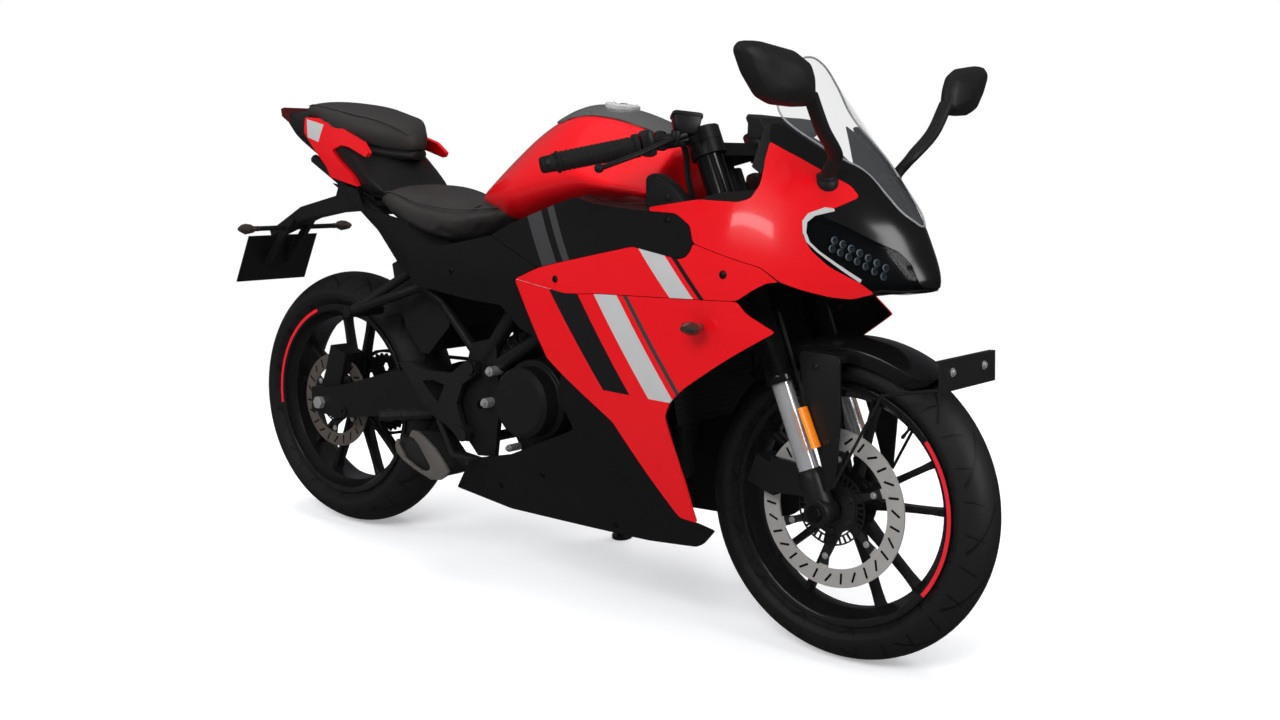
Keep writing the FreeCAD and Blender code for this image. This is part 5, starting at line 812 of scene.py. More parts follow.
def piece(bm: BMesh, name: str, body: Body, finishes: Sequence[Finish], slot: str,
          replaces: Sequence[str] = (), crease: float = 36.0, wall: Optional[Wall] = None,
          bevel: float = 0.0) -> Thing:
    """Makes a finished piece out of a mesh of the upright machine.

    Args:
        bm: The mesh, which is freed.
        name: The piece's name.
        body: The body it rides on.
        finishes: Its finishes, in the order of the faces' material indices.
        slot: The record's material slot; not used.
        replaces: The CAD nodes it stands for.
        crease: Edges sharper than this angle stay sharp.
        wall: The wall that an open sheet gets.
        bevel: Width of a bevel on sharp edges.

    Returns:
        The object.
    """
    bmesh.ops.transform(bm, matrix=PARK, verts=bm.verts)
    for face in bm.faces:
        face.smooth = True
    for edge in bm.edges:
        folded = len(edge.link_faces) == 2 and edge.calc_face_angle(0.0) > math.radians(crease)
        edge.smooth = not (edge.is_boundary or folded)
    mesh = bpy.data.meshes.new(name)
    bm.to_mesh(mesh)
    bm.free()
    for finish in finishes:
        mesh.materials.append(finish.material())
    made = bpy.data.objects.new(name, mesh)
    bpy.context.scene.collection.objects.link(made)
    if wall is not None:
        thick = made.modifiers.new("wall", "SOLIDIFY")
        thick.thickness = wall.thickness
        thick.offset = -1.0
        thick.use_even_offset = False
        thick.material_offset = wall.inner
        if wall.edge:
            eased(made, wall.edge, 50.0)
    elif bevel:
        eased(made, bevel, 48.0)
    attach(made, body.value)
    if replaces:
        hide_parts(*replaces)
    LOG.info("made %s", name)
    return made


@dataclass(frozen=True)
class FramePiece:
    """A CAD node carried over: merged, edges eased, and given its finish."""

    node: str
    body: Body
    finish: Finish
    slot: str
    crease: float = 50.0
    bevel: float = 0.0012

    def build(self) -> Thing:
        """Merges the node's copy and gives it its look.

        Returns:
            The piece that stands for the node.
        """
        bm = bmesh.new()
        bm.from_mesh(frame["nodes"][self.node].data)
        bmesh.ops.remove_doubles(bm, verts=bm.verts, dist=WELD)
        bmesh.ops.dissolve_limit(bm, angle_limit=math.radians(0.8), verts=bm.verts, edges=bm.edges)
        bmesh.ops.transform(bm, matrix=PARK.inverted(), verts=bm.verts)
        return piece(bm, self.node + "_look", self.body, [self.finish], self.slot, [self.node],
                     crease=self.crease, bevel=self.bevel)


# The bodywork's surface

LENGTH_WIDTHS = ((-420, 0.62), (-250, 0.72), (-100, 0.8), (0, 0.85), (150, 0.92), (300, 0.97), (450, 1.0),
                 (540, 1.0), (600, 0.93), (650, 0.835), (700, 0.69))
HEIGHT_WIDTHS = ((150, 0.56), (170, 0.6), (250, 0.74), (350, 0.86), (450, 0.95), (550, 0.99), (650, 1.0),
                 (720, 0.99), (780, 0.95), (850, 0.87), (950, 0.68), (1010, 0.55))
NOSE_TIPS = ((620, 790), (680, 822), (705, 832), (732, 828), (770, 812), (808, 793), (855, 762), (900, 728),
             (950, 690), (1010, 640))
BODY_HALF = 236.0
NOSE_START = 540.0


def body_half(x: float, z: float) -> float:
    """Half width of the bodywork's flank, in millimetres."""
    return BODY_HALF * smoothed(LENGTH_WIDTHS, x) * smoothed(HEIGHT_WIDTHS, z)


def on_flank(x: float, z: float) -> Vector:
    """Point of the right flank."""
    return spot(x, -body_half(x, z), z)


def on_nose(x: float, z: float) -> Vector:
    """Point of the right side of the upper bodywork, which rounds in to the nose's tip.

    Args:
        x: Its place along the machine, in millimetres.
        z: Its height.

    Returns:
        The point.
    """
    if x <= NOSE_START:
        return on_flank(x, z)
    run = min(1.0, (x - NOSE_START) / (smoothed(NOSE_TIPS, z) - NOSE_START))
    return spot(x, -body_half(NOSE_START, z) * (1.0 - run ** 1.5) ** 0.75, z)


def nose_turn(x: float, z: float) -> float:
    """The angle round the nose, 0 at its broad end and 90 at the tip, of a place in side view."""
    run = min(1.0, max(0.0, (x - NOSE_START) / (smoothed(NOSE_TIPS, z) - NOSE_START)))
    return math.degrees(math.asin(math.sqrt(run ** 1.5)))


def round_nose(turn: float, z: float, sink: float = 0.0) -> Vector:
    """Point of the nose's right side at an angle round it.

    Args:
        turn: 0 at the broad end, 90 at the tip.
        z: Its height.
        sink: How far behind the surface it lies.

    Returns:
        The point.
    """
    w = math.radians(min(90.0, max(0.0, turn)))
    tip = smoothed(NOSE_TIPS, z)
    x = NOSE_START + (tip - NOSE_START) * math.sin(w) ** (4.0 / 3.0)
    return spot(x - sink, -(body_half(NOSE_START, z) - sink * 0.35) * math.cos(w) ** 1.5, z)


def turned_outline(outline: Sequence[Pair]) -> list[Pair]:
    """A side-view outline with its x turned into the angle round the nose.

    Args:
        outline: The corners (x, z).

    Returns:
        Points (angle, z), with each side cut up so that it stays true on the curved nose.
    """
    points: list[Pair] = []
    for (x0, z0), (x1, z1) in zip(outline, list(outline[1:]) + [outline[0]]):
        for k in range(4):
            t = k / 4
            x, z = x0 + (x1 - x0) * t, z0 + (z1 - z0) * t
            points.append((nose_turn(x, z), z))
    kept = [points[0]]
    for point in points[1:]:
        if (Vector(point) - Vector(kept[-1])).length > 0.8:
            kept.append(point)
    if (Vector(kept[0]) - Vector(kept[-1])).length < 0.8:
        kept.pop()
    return kept


# Seams that neighbouring panels share, in side view
UPPER_LOW_SEAM = ((466, 762), (602, 730), (635, 706))
MID_LOW_SEAM = ((13, 657), (162, 643), (255, 652), (566, 669))
BELLY_SEAM = ((149, 486), (279, 411), (349, 325), (418, 244), (459, 241))
TANK_UPPER_SEAM = ((354, 811), (416, 811), (453, 792), (466, 762))
TANK_MID_SEAM = ((464, 750), (455, 737), (439, 732), (327, 746), (133, 699), (80, 685))
COVER_SEAM = ((-67, 737), (80, 685))
COVER_FLANK_SEAM = ((13, 657), (47, 604), (86, 545))
NOSE_UPPER_SEAM = ((568, 945), (620, 918), (676, 886), (697, 874), (715, 854), (690, 834))
NOSE_LAMP_SEAM = ((690, 834), (677, 820), (714, 803), (750, 782), (783, 764), (802, 742), (813, 715), (818, 703))
LAMP_UPPER_SEAM = ((690, 834), (663, 825), (654, 810), (657, 788), (673, 763), (703, 736), (745, 711), (764, 692))

UPPER_PANEL = (*TANK_UPPER_SEAM[::-1], (352, 819), (460, 839), (545, 839), (566, 846), (575, 871), (572, 907),
               *NOSE_UPPER_SEAM, *LAMP_UPPER_SEAM[1:], (734, 681), (705, 684), (665, 695), *UPPER_LOW_SEAM[:0:-1])
MID_PANEL = (*TANK_MID_SEAM[::-1], *UPPER_LOW_SEAM, (616, 704), (593, 690), *MID_LOW_SEAM[::-1])
LOWER_PANEL = (*MID_LOW_SEAM, (585, 648), (634, 620), (572, 578), (460, 501), (426, 470), (412, 441), (421, 407),
               (446, 316), *BELLY_SEAM[::-1], (110, 511), *COVER_FLANK_SEAM[:0:-1])
BELLY_PANEL = ((-239, 173), (-170, 253), (-33, 288), (171, 377), (135, 441), *BELLY_SEAM, (499, 233), (466, 200),
               (444, 188), (323, 174), (-68, 158))
LEFT_BELLY_PANEL = ((30, 163), (20, 300), (171, 377), (135, 441), *BELLY_SEAM, (499, 233), (466, 200),
                    (444, 188), (323, 174))
TANK_SIDE_PANEL = ((-15, 763), (125, 815), (165, 827), (211, 817), *TANK_UPPER_SEAM, *TANK_MID_SEAM, COVER_SEAM[0])
COVER_PANEL = ((-364, 744), (-283, 705), (-241, 700), *COVER_SEAM, *COVER_FLANK_SEAM, (30, 560), (-30, 600),
               (-132, 600), (-330, 612))
NOSE_PANEL = (*NOSE_UPPER_SEAM[:-1], *NOSE_LAMP_SEAM, (850, 700), (850, 808), (793, 808), (772, 826), (745, 856),
              (719, 886), (696, 903), (677, 913), (640, 934), (580, 974), (562, 975))
LAMP_PANEL = (*LAMP_UPPER_SEAM, (800, 690), (830, 696), *NOSE_LAMP_SEAM[:0:-1])
TAIL_PANEL = ((-764, 958), (-712, 957), (-626, 938), (-538, 910), (-510, 886), (-520, 874), (-587, 894),
              (-616, 898), (-650, 886), (-626, 866), (-577, 836), (-552, 807), (-666, 824), (-674, 845),
              (-727, 888), (-764, 922))
TAIL_LOW_PANEL = ((-655, 812), (-556, 804), (-530, 765), (-366, 743), (-300, 712), (-345, 614), (-392, 640),
                  (-475, 715), (-590, 782))


@dataclass(frozen=True)
class Mark:
    """A field of another finish inside a panel, bounded by straight lines in side view."""

    outline: tuple[Pair, ...]
    finish: Finish


def inside(outline: Sequence[Pair], x: float, z: float) -> bool:
    """Whether a place lies inside an outline.

    Args:
        outline: The corners (x, z).
        x: The place along the machine.
        z: Its height.

    Returns:
        True if it does.
    """
    hit = False
    for (x0, z0), (x1, z1) in zip(outline, list(outline[1:]) + [outline[0]]):
        if (z0 > z) != (z1 > z) and x < (x1 - x0) * (z - z0) / (z1 - z0) + x0:
            hit = not hit
    return hit


@dataclass(frozen=True)
class Panel:
    """A moulded panel of the bodywork, with its painted fields and its folded edge."""

    name: str
    node: str
    outline: tuple[Pair, ...]
    finish: Finish
    slot: str
    marks: tuple[Mark, ...] = ()
    lift: Callable[[float, float], Vector] = on_flank
    step: Pair = (16.0, 14.0)
    corner: float = 7.0
    gap: float = 1.2
    wall: float = 0.0036
    sides: tuple[int, ...] = (-1, 1)
    lined: bool = True

    def build(self) -> Thing:
        """Cuts the sheet to its outline and fields, lifts it and gives it a wall.

        Returns:
            The panel.
        """
        bm = bmesh.new()
        outline = rounded(self.outline, self.corner)
        bm.faces.new([bm.verts.new((x, 0.0, z)) for x, z in outline])
        for mark in self.marks:
            self._cut(bm, mark)
        gridded(bm, self.step)
        for face in bm.faces:
            middle = face.calc_center_median()
            for n, mark in enumerate(self.marks):
                if inside(mark.outline, middle.x, middle.z):
                    face.material_index = n + 1
        tidied(bm, min(self.step) * 0.28)
        self._draw_in(bm)
        for vert in bm.verts:
            vert.co = self.lift(vert.co.x, vert.co.z)
        bmesh.ops.remove_doubles(bm, verts=bm.verts, dist=WELD)
        facing(bm, -ACROSS)
        self._sided(bm)
        finishes = [self.finish] + [m.finish for m in self.marks] + [MATT_BLACK]
        return piece(bm, self.name, Body.CHASSIS, finishes, self.slot, [self.node], crease=50.0,
                     wall=Wall(self.wall, 0.0, len(finishes) - 1 if self.lined else 0))

    @staticmethod
    def _cut(bm: BMesh, mark: Mark) -> None:
        """Cuts the flat sheet along a field's sides.

        Args:
            bm: The flat sheet.
            mark: The field.
        """
        corners = mark.outline
        for (x0, z0), (x1, z1) in zip(corners, corners[1:] + corners[:1]):
            bmesh.ops.bisect_plane(bm, geom=whole(bm), dist=1e-6,
                                   plane_co=(x0, 0.0, z0), plane_no=(z1 - z0, 0.0, x0 - x1))

    def _draw_in(self, bm: BMesh) -> None:
        """Draws the sheet's rim in by half the gap between neighbouring panels.

        Args:
            bm: The flat sheet.
        """
        bm.normal_update()
        moves: dict[BMVert, Vector] = {}
        for edge in bm.edges:
            if not edge.is_boundary:
                continue
            face = edge.link_faces[0]
            along = (edge.verts[1].co - edge.verts[0].co).normalized()
            inward = ACROSS.cross(along)
            if inward.dot(face.calc_center_median() - edge.verts[0].co) < 0:
                inward.negate()
            for vert in edge.verts:
                moves[vert] = moves.get(vert, Vector()) + inward
        for vert, way in moves.items():
            if way.length > 0.05:
                vert.co += way.normalized() * self.gap * 0.5

    def _sided(self, bm: BMesh) -> None:
        """Gives the panel the sides that it has, from the right-hand sheet.

        Args:
            bm: The right-hand sheet.
        """
        if self.sides == (-1,):
            return
        if self.sides == (1,):
            bmesh.ops.transform(bm, matrix=MIRRORED, verts=bm.verts)
            bmesh.ops.reverse_faces(bm, faces=bm.faces)
            return
        copy = bmesh.ops.duplicate(bm, geom=whole(bm))
        other = [g for g in copy["geom"] if isinstance(g, BMVert)]
        bmesh.ops.transform(bm, matrix=MIRRORED, verts=other)
        bmesh.ops.reverse_faces(bm, faces=[g for g in copy["geom"] if isinstance(g, BMFace)])
        bmesh.ops.remove_doubles(bm, verts=bm.verts, dist=WELD)


MID_MARKS = (
    Mark(((316, 770), (372, 770), (502, 640), (446, 640)), SILVER),
    Mark(((386, 770), (398, 770), (528, 640), (516, 640)), BLACK_STRIPE),
)
# Painted reflections: grey slanted bands on the gloss black tank side panels stand in for the lights' reflections.
TANK_SIDE_PAINTED_REFLECTIONS = (
    Mark(((-6, 850), (40, 850), (140, 690), (94, 690)), GREY_STRIPE_AND_REFLECTION),
    Mark(((60, 850), (80, 850), (180, 690), (160, 690)), GREY_STRIPE_AND_REFLECTION),
)
LOWER_MARKS = (
    Mark(((96, 670), (176, 670), (330, 470), (262, 470)), BLACK_STRIPE),
    Mark(((222, 670), (284, 670), (438, 470), (376, 470)), SILVER),
    Mark(((300, 670), (312, 670), (466, 470), (454, 470)), GREY_STRIPE_AND_REFLECTION),
)


@dataclass(frozen=True)
class Fairing:
    """The red and black panels round the machine's front and flanks."""

    ledge_stations: int = 66
    tray_stations: int = 25

    def build(self) -> list[Thing]:
        """Builds the panels, each mirrored to the left side where the machine has it.

        Returns:
            The panels and the dark pieces behind them.
        """
        panels = (
            Panel("upper_panels", "upper_fairing", UPPER_PANEL, RED, "red_paint", (), on_nose, (11.0, 12.0)),
            Panel("mid_panels", "side_fairing", MID_PANEL, RED, "red_paint", MID_MARKS),
            Panel("lower_panels", "side_fairing", LOWER_PANEL, RED, "red_paint", LOWER_MARKS),
            Panel("belly_right", "belly_pan", BELLY_PANEL, GLOSS_BLACK, "black_gloss", sides=(-1,)),
            Panel("belly_left", "belly_pan", LEFT_BELLY_PANEL, GLOSS_BLACK, "black_gloss", sides=(1,)),
            # The tank side panels carry the painted reflection bands.
            Panel("tank_side_panels", "side_covers", TANK_SIDE_PANEL, GLOSS_BLACK, "black_gloss", TANK_SIDE_PAINTED_REFLECTIONS),
            Panel("seat_side_panels", "side_covers", COVER_PANEL, GLOSS_BLACK, "black_gloss"),
        )
        return [*(panel.build() for panel in panels), self._nose(), self._inner_nose(), self._under_nose(),
                self._ledges(), self._shields()]

    @staticmethod
    def _shields() -> Thing:
        """The dark inner shields beside the fork, behind the upper panels' rear edges.

        Returns:
            Both shields.
        """
        outline = ((418, 770), (424, 832), (470, 850), (540, 858), (580, 872), (600, 860), (600, 770))
        bm = skinned(rounded(outline, 12.0), lambda u, v: spot(u, -(174.0 - (u - 418.0) * 0.16), v), (22.0, 22.0))
        return piece(bm, "inner_shields", Body.CHASSIS, [MATT_BLACK], "matt_plastic", wall=THIN_WALL)

    def _ledges(self) -> Thing:
        """The dark ledges that run in from the side panels' upper edges to the seat and the tank.

        Returns:
            The ledges of both sides.
        """
        rim = ((-362, 742), (-283, 703), (-241, 698), (-67, 735), (-15, 761), (125, 813), (165, 825), (211, 815),
               (354, 809), (416, 809))
        inner = ((-362, 88), (-240, 120), (-120, 70), (-60, 100), (40, 138), (140, 160), (240, 172), (300, 172),
                 (416, 150))
        start, stop = rim[0][0], rim[-1][0]
        last = self.ledge_stations - 1
        bm = bmesh.new()
        for side in SIDES:
            rows = []
            for n in range(self.ledge_stations):
                x = start + (stop - start) * n / last
                z = linear(rim, x)
                wide, narrow = body_half(x, z) - 1.0, smoothed(inner, x)
                rows.append([spot(x, side * (wide + (narrow - wide) * t), z + 9.0 * t - 2.0)
                             for t in (k / 6 for k in range(7))])
            bridged(bm, rows)
        bm.normal_update()
        bmesh.ops.reverse_faces(bm, faces=[f for f in bm.faces if f.normal.z < 0])
        return piece(bm, "side_ledges", Body.CHASSIS, [SATIN_BLACK], "black_gloss", crease=50.0, wall=THIN_WALL)

    def _under_nose(self) -> Thing:
        """The dark tray that closes the nose from below, from one side panel to the other.

        Returns:
            The tray.
        """
        rim = ((596, 705), (616, 704), (665, 695), (705, 685), (734, 683), (764, 692), (800, 692), (828, 698))
        start, stop = 598.0, 822.0
        last = self.tray_stations - 1
        rows = []
        for n in range(self.tray_stations):
            x = start + (stop - start) * (1.0 - (1.0 - n / last) ** 1.6)
            z = smoothed(rim, x) + 3.0
            half = abs(on_nose(x, z).y) / MM - 4.0
            rows.append([spot(x, half * k / 8.0, z - 5.0 * (1.0 - (k / 8.0) ** 2)) for k in range(-8, 9)])
        bm = bmesh.new()
        bridged(bm, rows)
        facing(bm, -UPWARD)
        return piece(bm, "nose_tray", Body.CHASSIS, [MATT_BLACK], "matt_plastic", crease=50.0, wall=THIN_WALL)

    def _nose(self) -> Thing:
        """The black cowl between the lamps and under the screen.

        Returns:
            The cowl.
        """
        bm = skinned(turned_outline(rounded(NOSE_PANEL, 5.0)), round_nose, (3.0, 10.0))
        return piece(bm, "nose_panel", Body.CHASSIS, [GLOSS_BLACK], "black_gloss", ["nose_cowl"],
                     crease=50.0, wall=Wall(0.004))

    def _inner_nose(self) -> Thing:
        """The dark inner lining behind the screen.

        Returns:
            The lining.
        """
        outline = ((560, 900), (560, 975), (640, 934), (696, 903), (745, 856), (793, 808), (850, 808), (850, 780),
                   (740, 800), (640, 850))
        bm = skinned(turned_outline(outline), lambda u, v: round_nose(u, v, 12.0), (6.0, 16.0))
        return piece(bm, "nose_lining", Body.CHASSIS, [MATT_BLACK], "matt_plastic", wall=THIN_WALL)


@dataclass(frozen=True)
class Screen:
    """The clear screen, curved back over the dials, with its bright cut edge."""

    foot: Pair = (793.0, 808.0)
    lean: float = 0.86
    sweep: float = 100.0

    def at(self, y: float, z: float) -> Vector:
        """Point of the screen at a place across and up."""
        return spot(self.foot[0] - self.lean * (z - self.foot[1]) - self.sweep * (y / 150.0) ** 2, y, z)

    def half(self, z: float) -> float:
        """Half width of the screen at a height, in millimetres."""
        return smoothed(((806, 6), (827, 31), (857, 41), (887, 48), (905, 60), (915, 74), (937, 96), (978, 121),
                         (1008, 119), (1040, 97), (1070, 70), (1088, 38), (1096, 12)), z)

    def build(self) -> list[Thing]:
        """Builds the sheet and the rim round it.

        Returns:
            Both pieces.
        """
        edge = [(self.half(z), float(z)) for z in range(807, 1097, 9)]
        outline = edge + [(-w, z) for w, z in reversed(edge)]
        bm = bmesh.new()
        bm.faces.new([bm.verts.new((w, 0.0, z)) for w, z in outline])
        gridded(bm, (14.0, 14.0))
        for vert in bm.verts:
            vert.co = self.at(vert.co.x, vert.co.z)
        facing(bm, AHEAD)
        sheet = piece(bm, "screen_sheet", Body.CHASSIS, [SCREEN], "clear_screen", ["windscreen"],
                      crease=60.0, wall=Wall(0.0028))
        rim = bmesh.new()
        swept(rim, [self.at(w, z) for w, z in outline + outline[:1]], 0.0019, 8)
        return [sheet, piece(rim, "screen_rim", Body.CHASSIS, [SCREEN_EDGE], "clear_screen")]


@dataclass(frozen=True)
class Lamps:
    """The pair of headlamps: dark housing, row of emitters, smoked lens and silver rim."""

    depth: float = 15.0
    lens_sink: float = 1.5
    strip_rise: float = 1.2
    silver: tuple[Pair, ...] = ((688, 834), (676, 836), (656, 825), (651, 812), (655, 793), (663, 777), (680, 761),
                                (744, 711), (746, 716), (684, 762), (668, 777), (660, 793), (658, 810), (666, 821),
                                (690, 830))
    emitters: tuple[Pair, ...] = ((704, 778), (716, 772), (728, 765), (740, 758), (752, 750), (764, 742),
                                  (776, 734))

    def build(self) -> list[Thing]:
        """Builds both lamps' lenses, housings, emitters and silver strips.

        Returns:
            The four pieces.
        """
        outline = turned_outline(rounded(LAMP_PANEL, 5.0))
        lens = skinned(outline, lambda u, v: round_nose(u, v, self.lens_sink), (3.5, 9.0))
        made = [piece(lens, "lamp_lenses", Body.CHASSIS, [LENS], "smoked_lens", ["headlamp"], crease=60.0,
                      wall=Wall(0.0025))]
        house = skinned(outline, lambda u, v: round_nose(u, v, self.depth), (5.0, 12.0))
        made.append(piece(house, "lamp_housing", Body.CHASSIS, [LAMP_INSIDE], "smoked_lens", crease=50.0,
                          wall=Wall(0.004)))
        made.append(self._emitters())
        strip = skinned(turned_outline(self.silver), lambda u, v: round_nose(u, v, -self.strip_rise), (4.0, 12.0))
        made.append(piece(strip, "lamp_silver_strips", Body.CHASSIS, [SILVER], "red_paint", wall=Wall(0.0016)))
        return made

    def _emitters(self) -> Thing:
        """Two rows of faceted emitter cups behind each lens.

        Returns:
            The emitters of both lamps.
        """
        cup = ((0.0005, -0.002), (0.003, -0.0015), (0.0062, 0.0035), (0.007, 0.004), (0.0072, 0.001))
        bm = bmesh.new()
        for side in SIDES:
            for x, z in self.emitters:
                for rise, sink in ((2.0, 7.0), (-12.0, 8.0)):
                    point = round_nose(nose_turn(x, z + rise), z + rise, sink)
                    middle = Vector((point.x, point.y * -side, point.z))
                    turned(bm, cup, middle, Vector((0.9, 0.25 * side, 0.1)), steps=8)
        return piece(bm, "lamp_emitters", Body.CHASSIS, [LED], "smoked_lens", crease=30.0)


# Wheels and fork

SMALL_BOLT = ((0.0, 0.0026), (0.005, 0.0026), (0.0068, 0.0012))


def spun(hub: Vector, turn: float) -> Matrix:
    """The transform to a place round an axle, at an angle in radians."""
    return Matrix.Translation(hub) @ Matrix.Rotation(turn, 4, "Y")


def ring_of(place: Matrix, half_a: float, half_b: float, corner: float) -> list[Vector]:
    """Corners of a rounded rectangle set by a transform, in metres."""
    outline = rounded(((-half_a, -half_b), (half_a, -half_b), (half_a, half_b), (-half_a, half_b)), corner, 2)
    return [place @ Vector((a, b, 0.0)) for a, b in outline]


def lofted(bm: BMesh, rings: Sequence[Sequence[Vector]]) -> None:
    """Bridges rings of points into a closed form.

    Args:
        bm: The mesh to add to.
        rings: The rings in order, each closed.
    """
    new: list[BMVert] = []
    loops = []
    for n, points in enumerate(rings):
        row = [bm.verts.new(p) for p in points]
        loops.append([bm.edges.new(pair) for pair in zip(row, row[1:] + row[:1])])
        if n in (0, len(rings) - 1):
            bm.faces.new(row)
        new += row
    for first, second in zip(loops, loops[1:]):
        bmesh.ops.bridge_loops(bm, edges=first + second)
    bmesh.ops.recalc_face_normals(bm, faces=list({f for v in new for f in v.link_faces}))


@dataclass(frozen=True)
class Wheel:
    """A cast wheel and its tyre."""

    name: str
    body: Body
    hub: Vector
    radius: float
    width: float
    rim_width: float
    tread: Finish
    hub_left: float
    hub_right: float
    arc: Pair
    bead: float = 0.2183
    edge: float = 0.226
    pairs: int = 5

    def build(self) -> list[Thing]:
        """Returns the tyre, the rim, its stripe arcs and the valve."""
        return [self._tyre(), self._rim(), self._stripes(), self._valve()]

    def _tyre(self) -> Thing:
        """A round crown that runs into bulging walls with raised rings by the bead.

        Returns:
            The tyre.
        """
        half = self.width / 2
        seat = self.rim_width / 2 - 0.0053
        shoulder = self.radius - 0.046
        drop = self.radius - shoulder
        arc = (half * half + drop * drop) / (2 * drop)
        reach = math.asin(min(1.0, half / arc))
        crown = [(self.radius - arc + arc * math.cos(reach * t), arc * math.sin(reach * t))
                 for t in (n / 14 for n in range(-14, 15))]
        bulge = (seat + half * 2) / 3
        middle = (self.edge + shoulder) / 2
        wall = [(shoulder - 0.0035, half - 0.0002), (middle + 0.002, bulge + 0.0012),
                (middle - 0.001, bulge + 0.0006), (middle - 0.002, bulge - 0.0008),
                (self.edge + 0.0045, seat + 0.0036), (self.edge + 0.0035, seat + 0.0026),
                (self.edge + 0.0008, seat + 0.0004), (self.bead, seat - 0.0004)]
        profile = [(r, -h) for r, h in reversed(wall)] + crown + wall
        bm = bmesh.new()
        turned(bm, profile, self.hub, ACROSS, steps=120, closed=True)
        return piece(bm, self.name + "_tyre_look", self.body, [self.tread], "tyre_rubber", [self.name + "_tyre"],
                     crease=52.0)

    def _rim(self) -> Thing:
        """The barrel with its flanges, the pairs of spokes and the hub.

        Returns:
            The cast wheel.
        """
        half = self.rim_width / 2
        seat = self.bead - 0.0003
        outer = ((self.edge - 0.001, half), (self.edge, half - 0.0012), (self.edge, half - 0.0042),
                 (self.edge - 0.0014, half - 0.005), (seat, half - 0.005), (seat, half - 0.016),
                 (0.203, half - 0.026), (0.201, 0.0))
        inner = ((0.1955, 0.0), (0.1968, half - 0.028), (0.2105, half - 0.012), (0.2125, half - 0.003),
                 (self.edge - 0.0095, half))
        profile = [*outer, *[(r, -h) for r, h in reversed(outer[:-1])],
                   *[(r, -h) for r, h in reversed(inner)], *inner[1:]]
        bm = bmesh.new()
        turned(bm, profile, self.hub, ACROSS, steps=96, closed=True)
        for n in range(self.pairs):
            for side in SIDES:
                self._spoke(bm, math.tau * n / self.pairs, side)
        body = ((0.0095, -self.hub_right), (0.03, -self.hub_right), (0.0325, -self.hub_right + 0.003),
                (0.033, -0.03), (0.036, -0.022), (0.036, 0.022), (0.033, 0.03), (0.0325, self.hub_left - 0.003),
                (0.03, self.hub_left), (0.0095, self.hub_left))
        turned(bm, body, self.hub, ACROSS, steps=48, closed=True)
        web = ((0.03, -0.013), (0.052, -0.0085), (0.056, 0.0), (0.052, 0.0085), (0.03, 0.013))
        turned(bm, web, self.hub, ACROSS, steps=60, closed=True)
        return piece(bm, self.name + "_rim_look", self.body, [CAST_BLACK], "cast_black", [self.name + "_rim"],
                     crease=38.0, bevel=0.0007)

    def _spoke(self, bm: BMesh, turn: float, side: float) -> None:
        """One blade of a spoke pair, waisted in its middle and flared into the barrel.

        Args:
            bm: The mesh to add to.
            turn: The pair's place round the wheel.
            side: -1 or 1, the blade of the pair.
        """
        lean = math.tan(math.radians(13.0)) * side
        rows = ((0.024, 0.01, 0.017), (0.05, 0.0086, 0.0158), (0.09, 0.0068, 0.014), (0.13, 0.006, 0.0128),
                (0.165, 0.006, 0.0122), (0.188, 0.0072, 0.0126), (0.1985, 0.01, 0.014))
        spin = spun(self.hub, turn)
        rings = []
        for radius, half_wide, half_deep in rows:
            shift = lean * (radius - 0.0216) + side * 0.005
            place = spin @ Matrix.Translation((shift, 0.0, radius))
            rings.append(ring_of(place, half_wide, half_deep, 0.0032))
        lofted(bm, rings)

    def _stripes(self) -> Thing:
        """A painted arc on each flange, a bit under a quarter turn.

        Returns:
            Both arcs.
        """
        first, last = self.arc
        turns = [math.radians(first + (last - first) * n / 30) for n in range(31)]
        bm = bmesh.new()
        for side in SIDES:
            y = side * (self.rim_width / 2 + 0.0003)
            faces = bridged(bm, [[self.hub + Vector((radius * math.cos(turn), y, radius * math.sin(turn)))
                                  for turn in turns] for radius in (self.edge - 0.0088, self.edge - 0.0014)])
            bm.normal_update()
            if sum(f.normal.y for f in faces) * side < 0:
                bmesh.ops.reverse_faces(bm, faces=faces)
        return piece(bm, self.name + "_rim_stripes", self.body, [RED_STRIPE], "cast_black",
                     wall=Wall(0.0006))

    def _valve(self) -> Thing:
        """The air valve that stands out of the barrel between two spokes.

        Returns:
            The valve.
        """
        bm = bmesh.new()
        way = Vector((math.sin(math.radians(36.0)), 0.0, math.cos(math.radians(36.0))))
        stem = ((0.0, 0.0), (0.0042, 0.0), (0.0042, 0.008), (0.0026, 0.01), (0.0026, 0.022), (0.0034, 0.0225),
                (0.0034, 0.03), (0.0022, 0.031), (0.0, 0.031))
        turned(bm, stem, self.hub + way * 0.1975, -way, steps=14)
        return piece(bm, self.name + "_valve", self.body, [RUBBER], "cast_black")


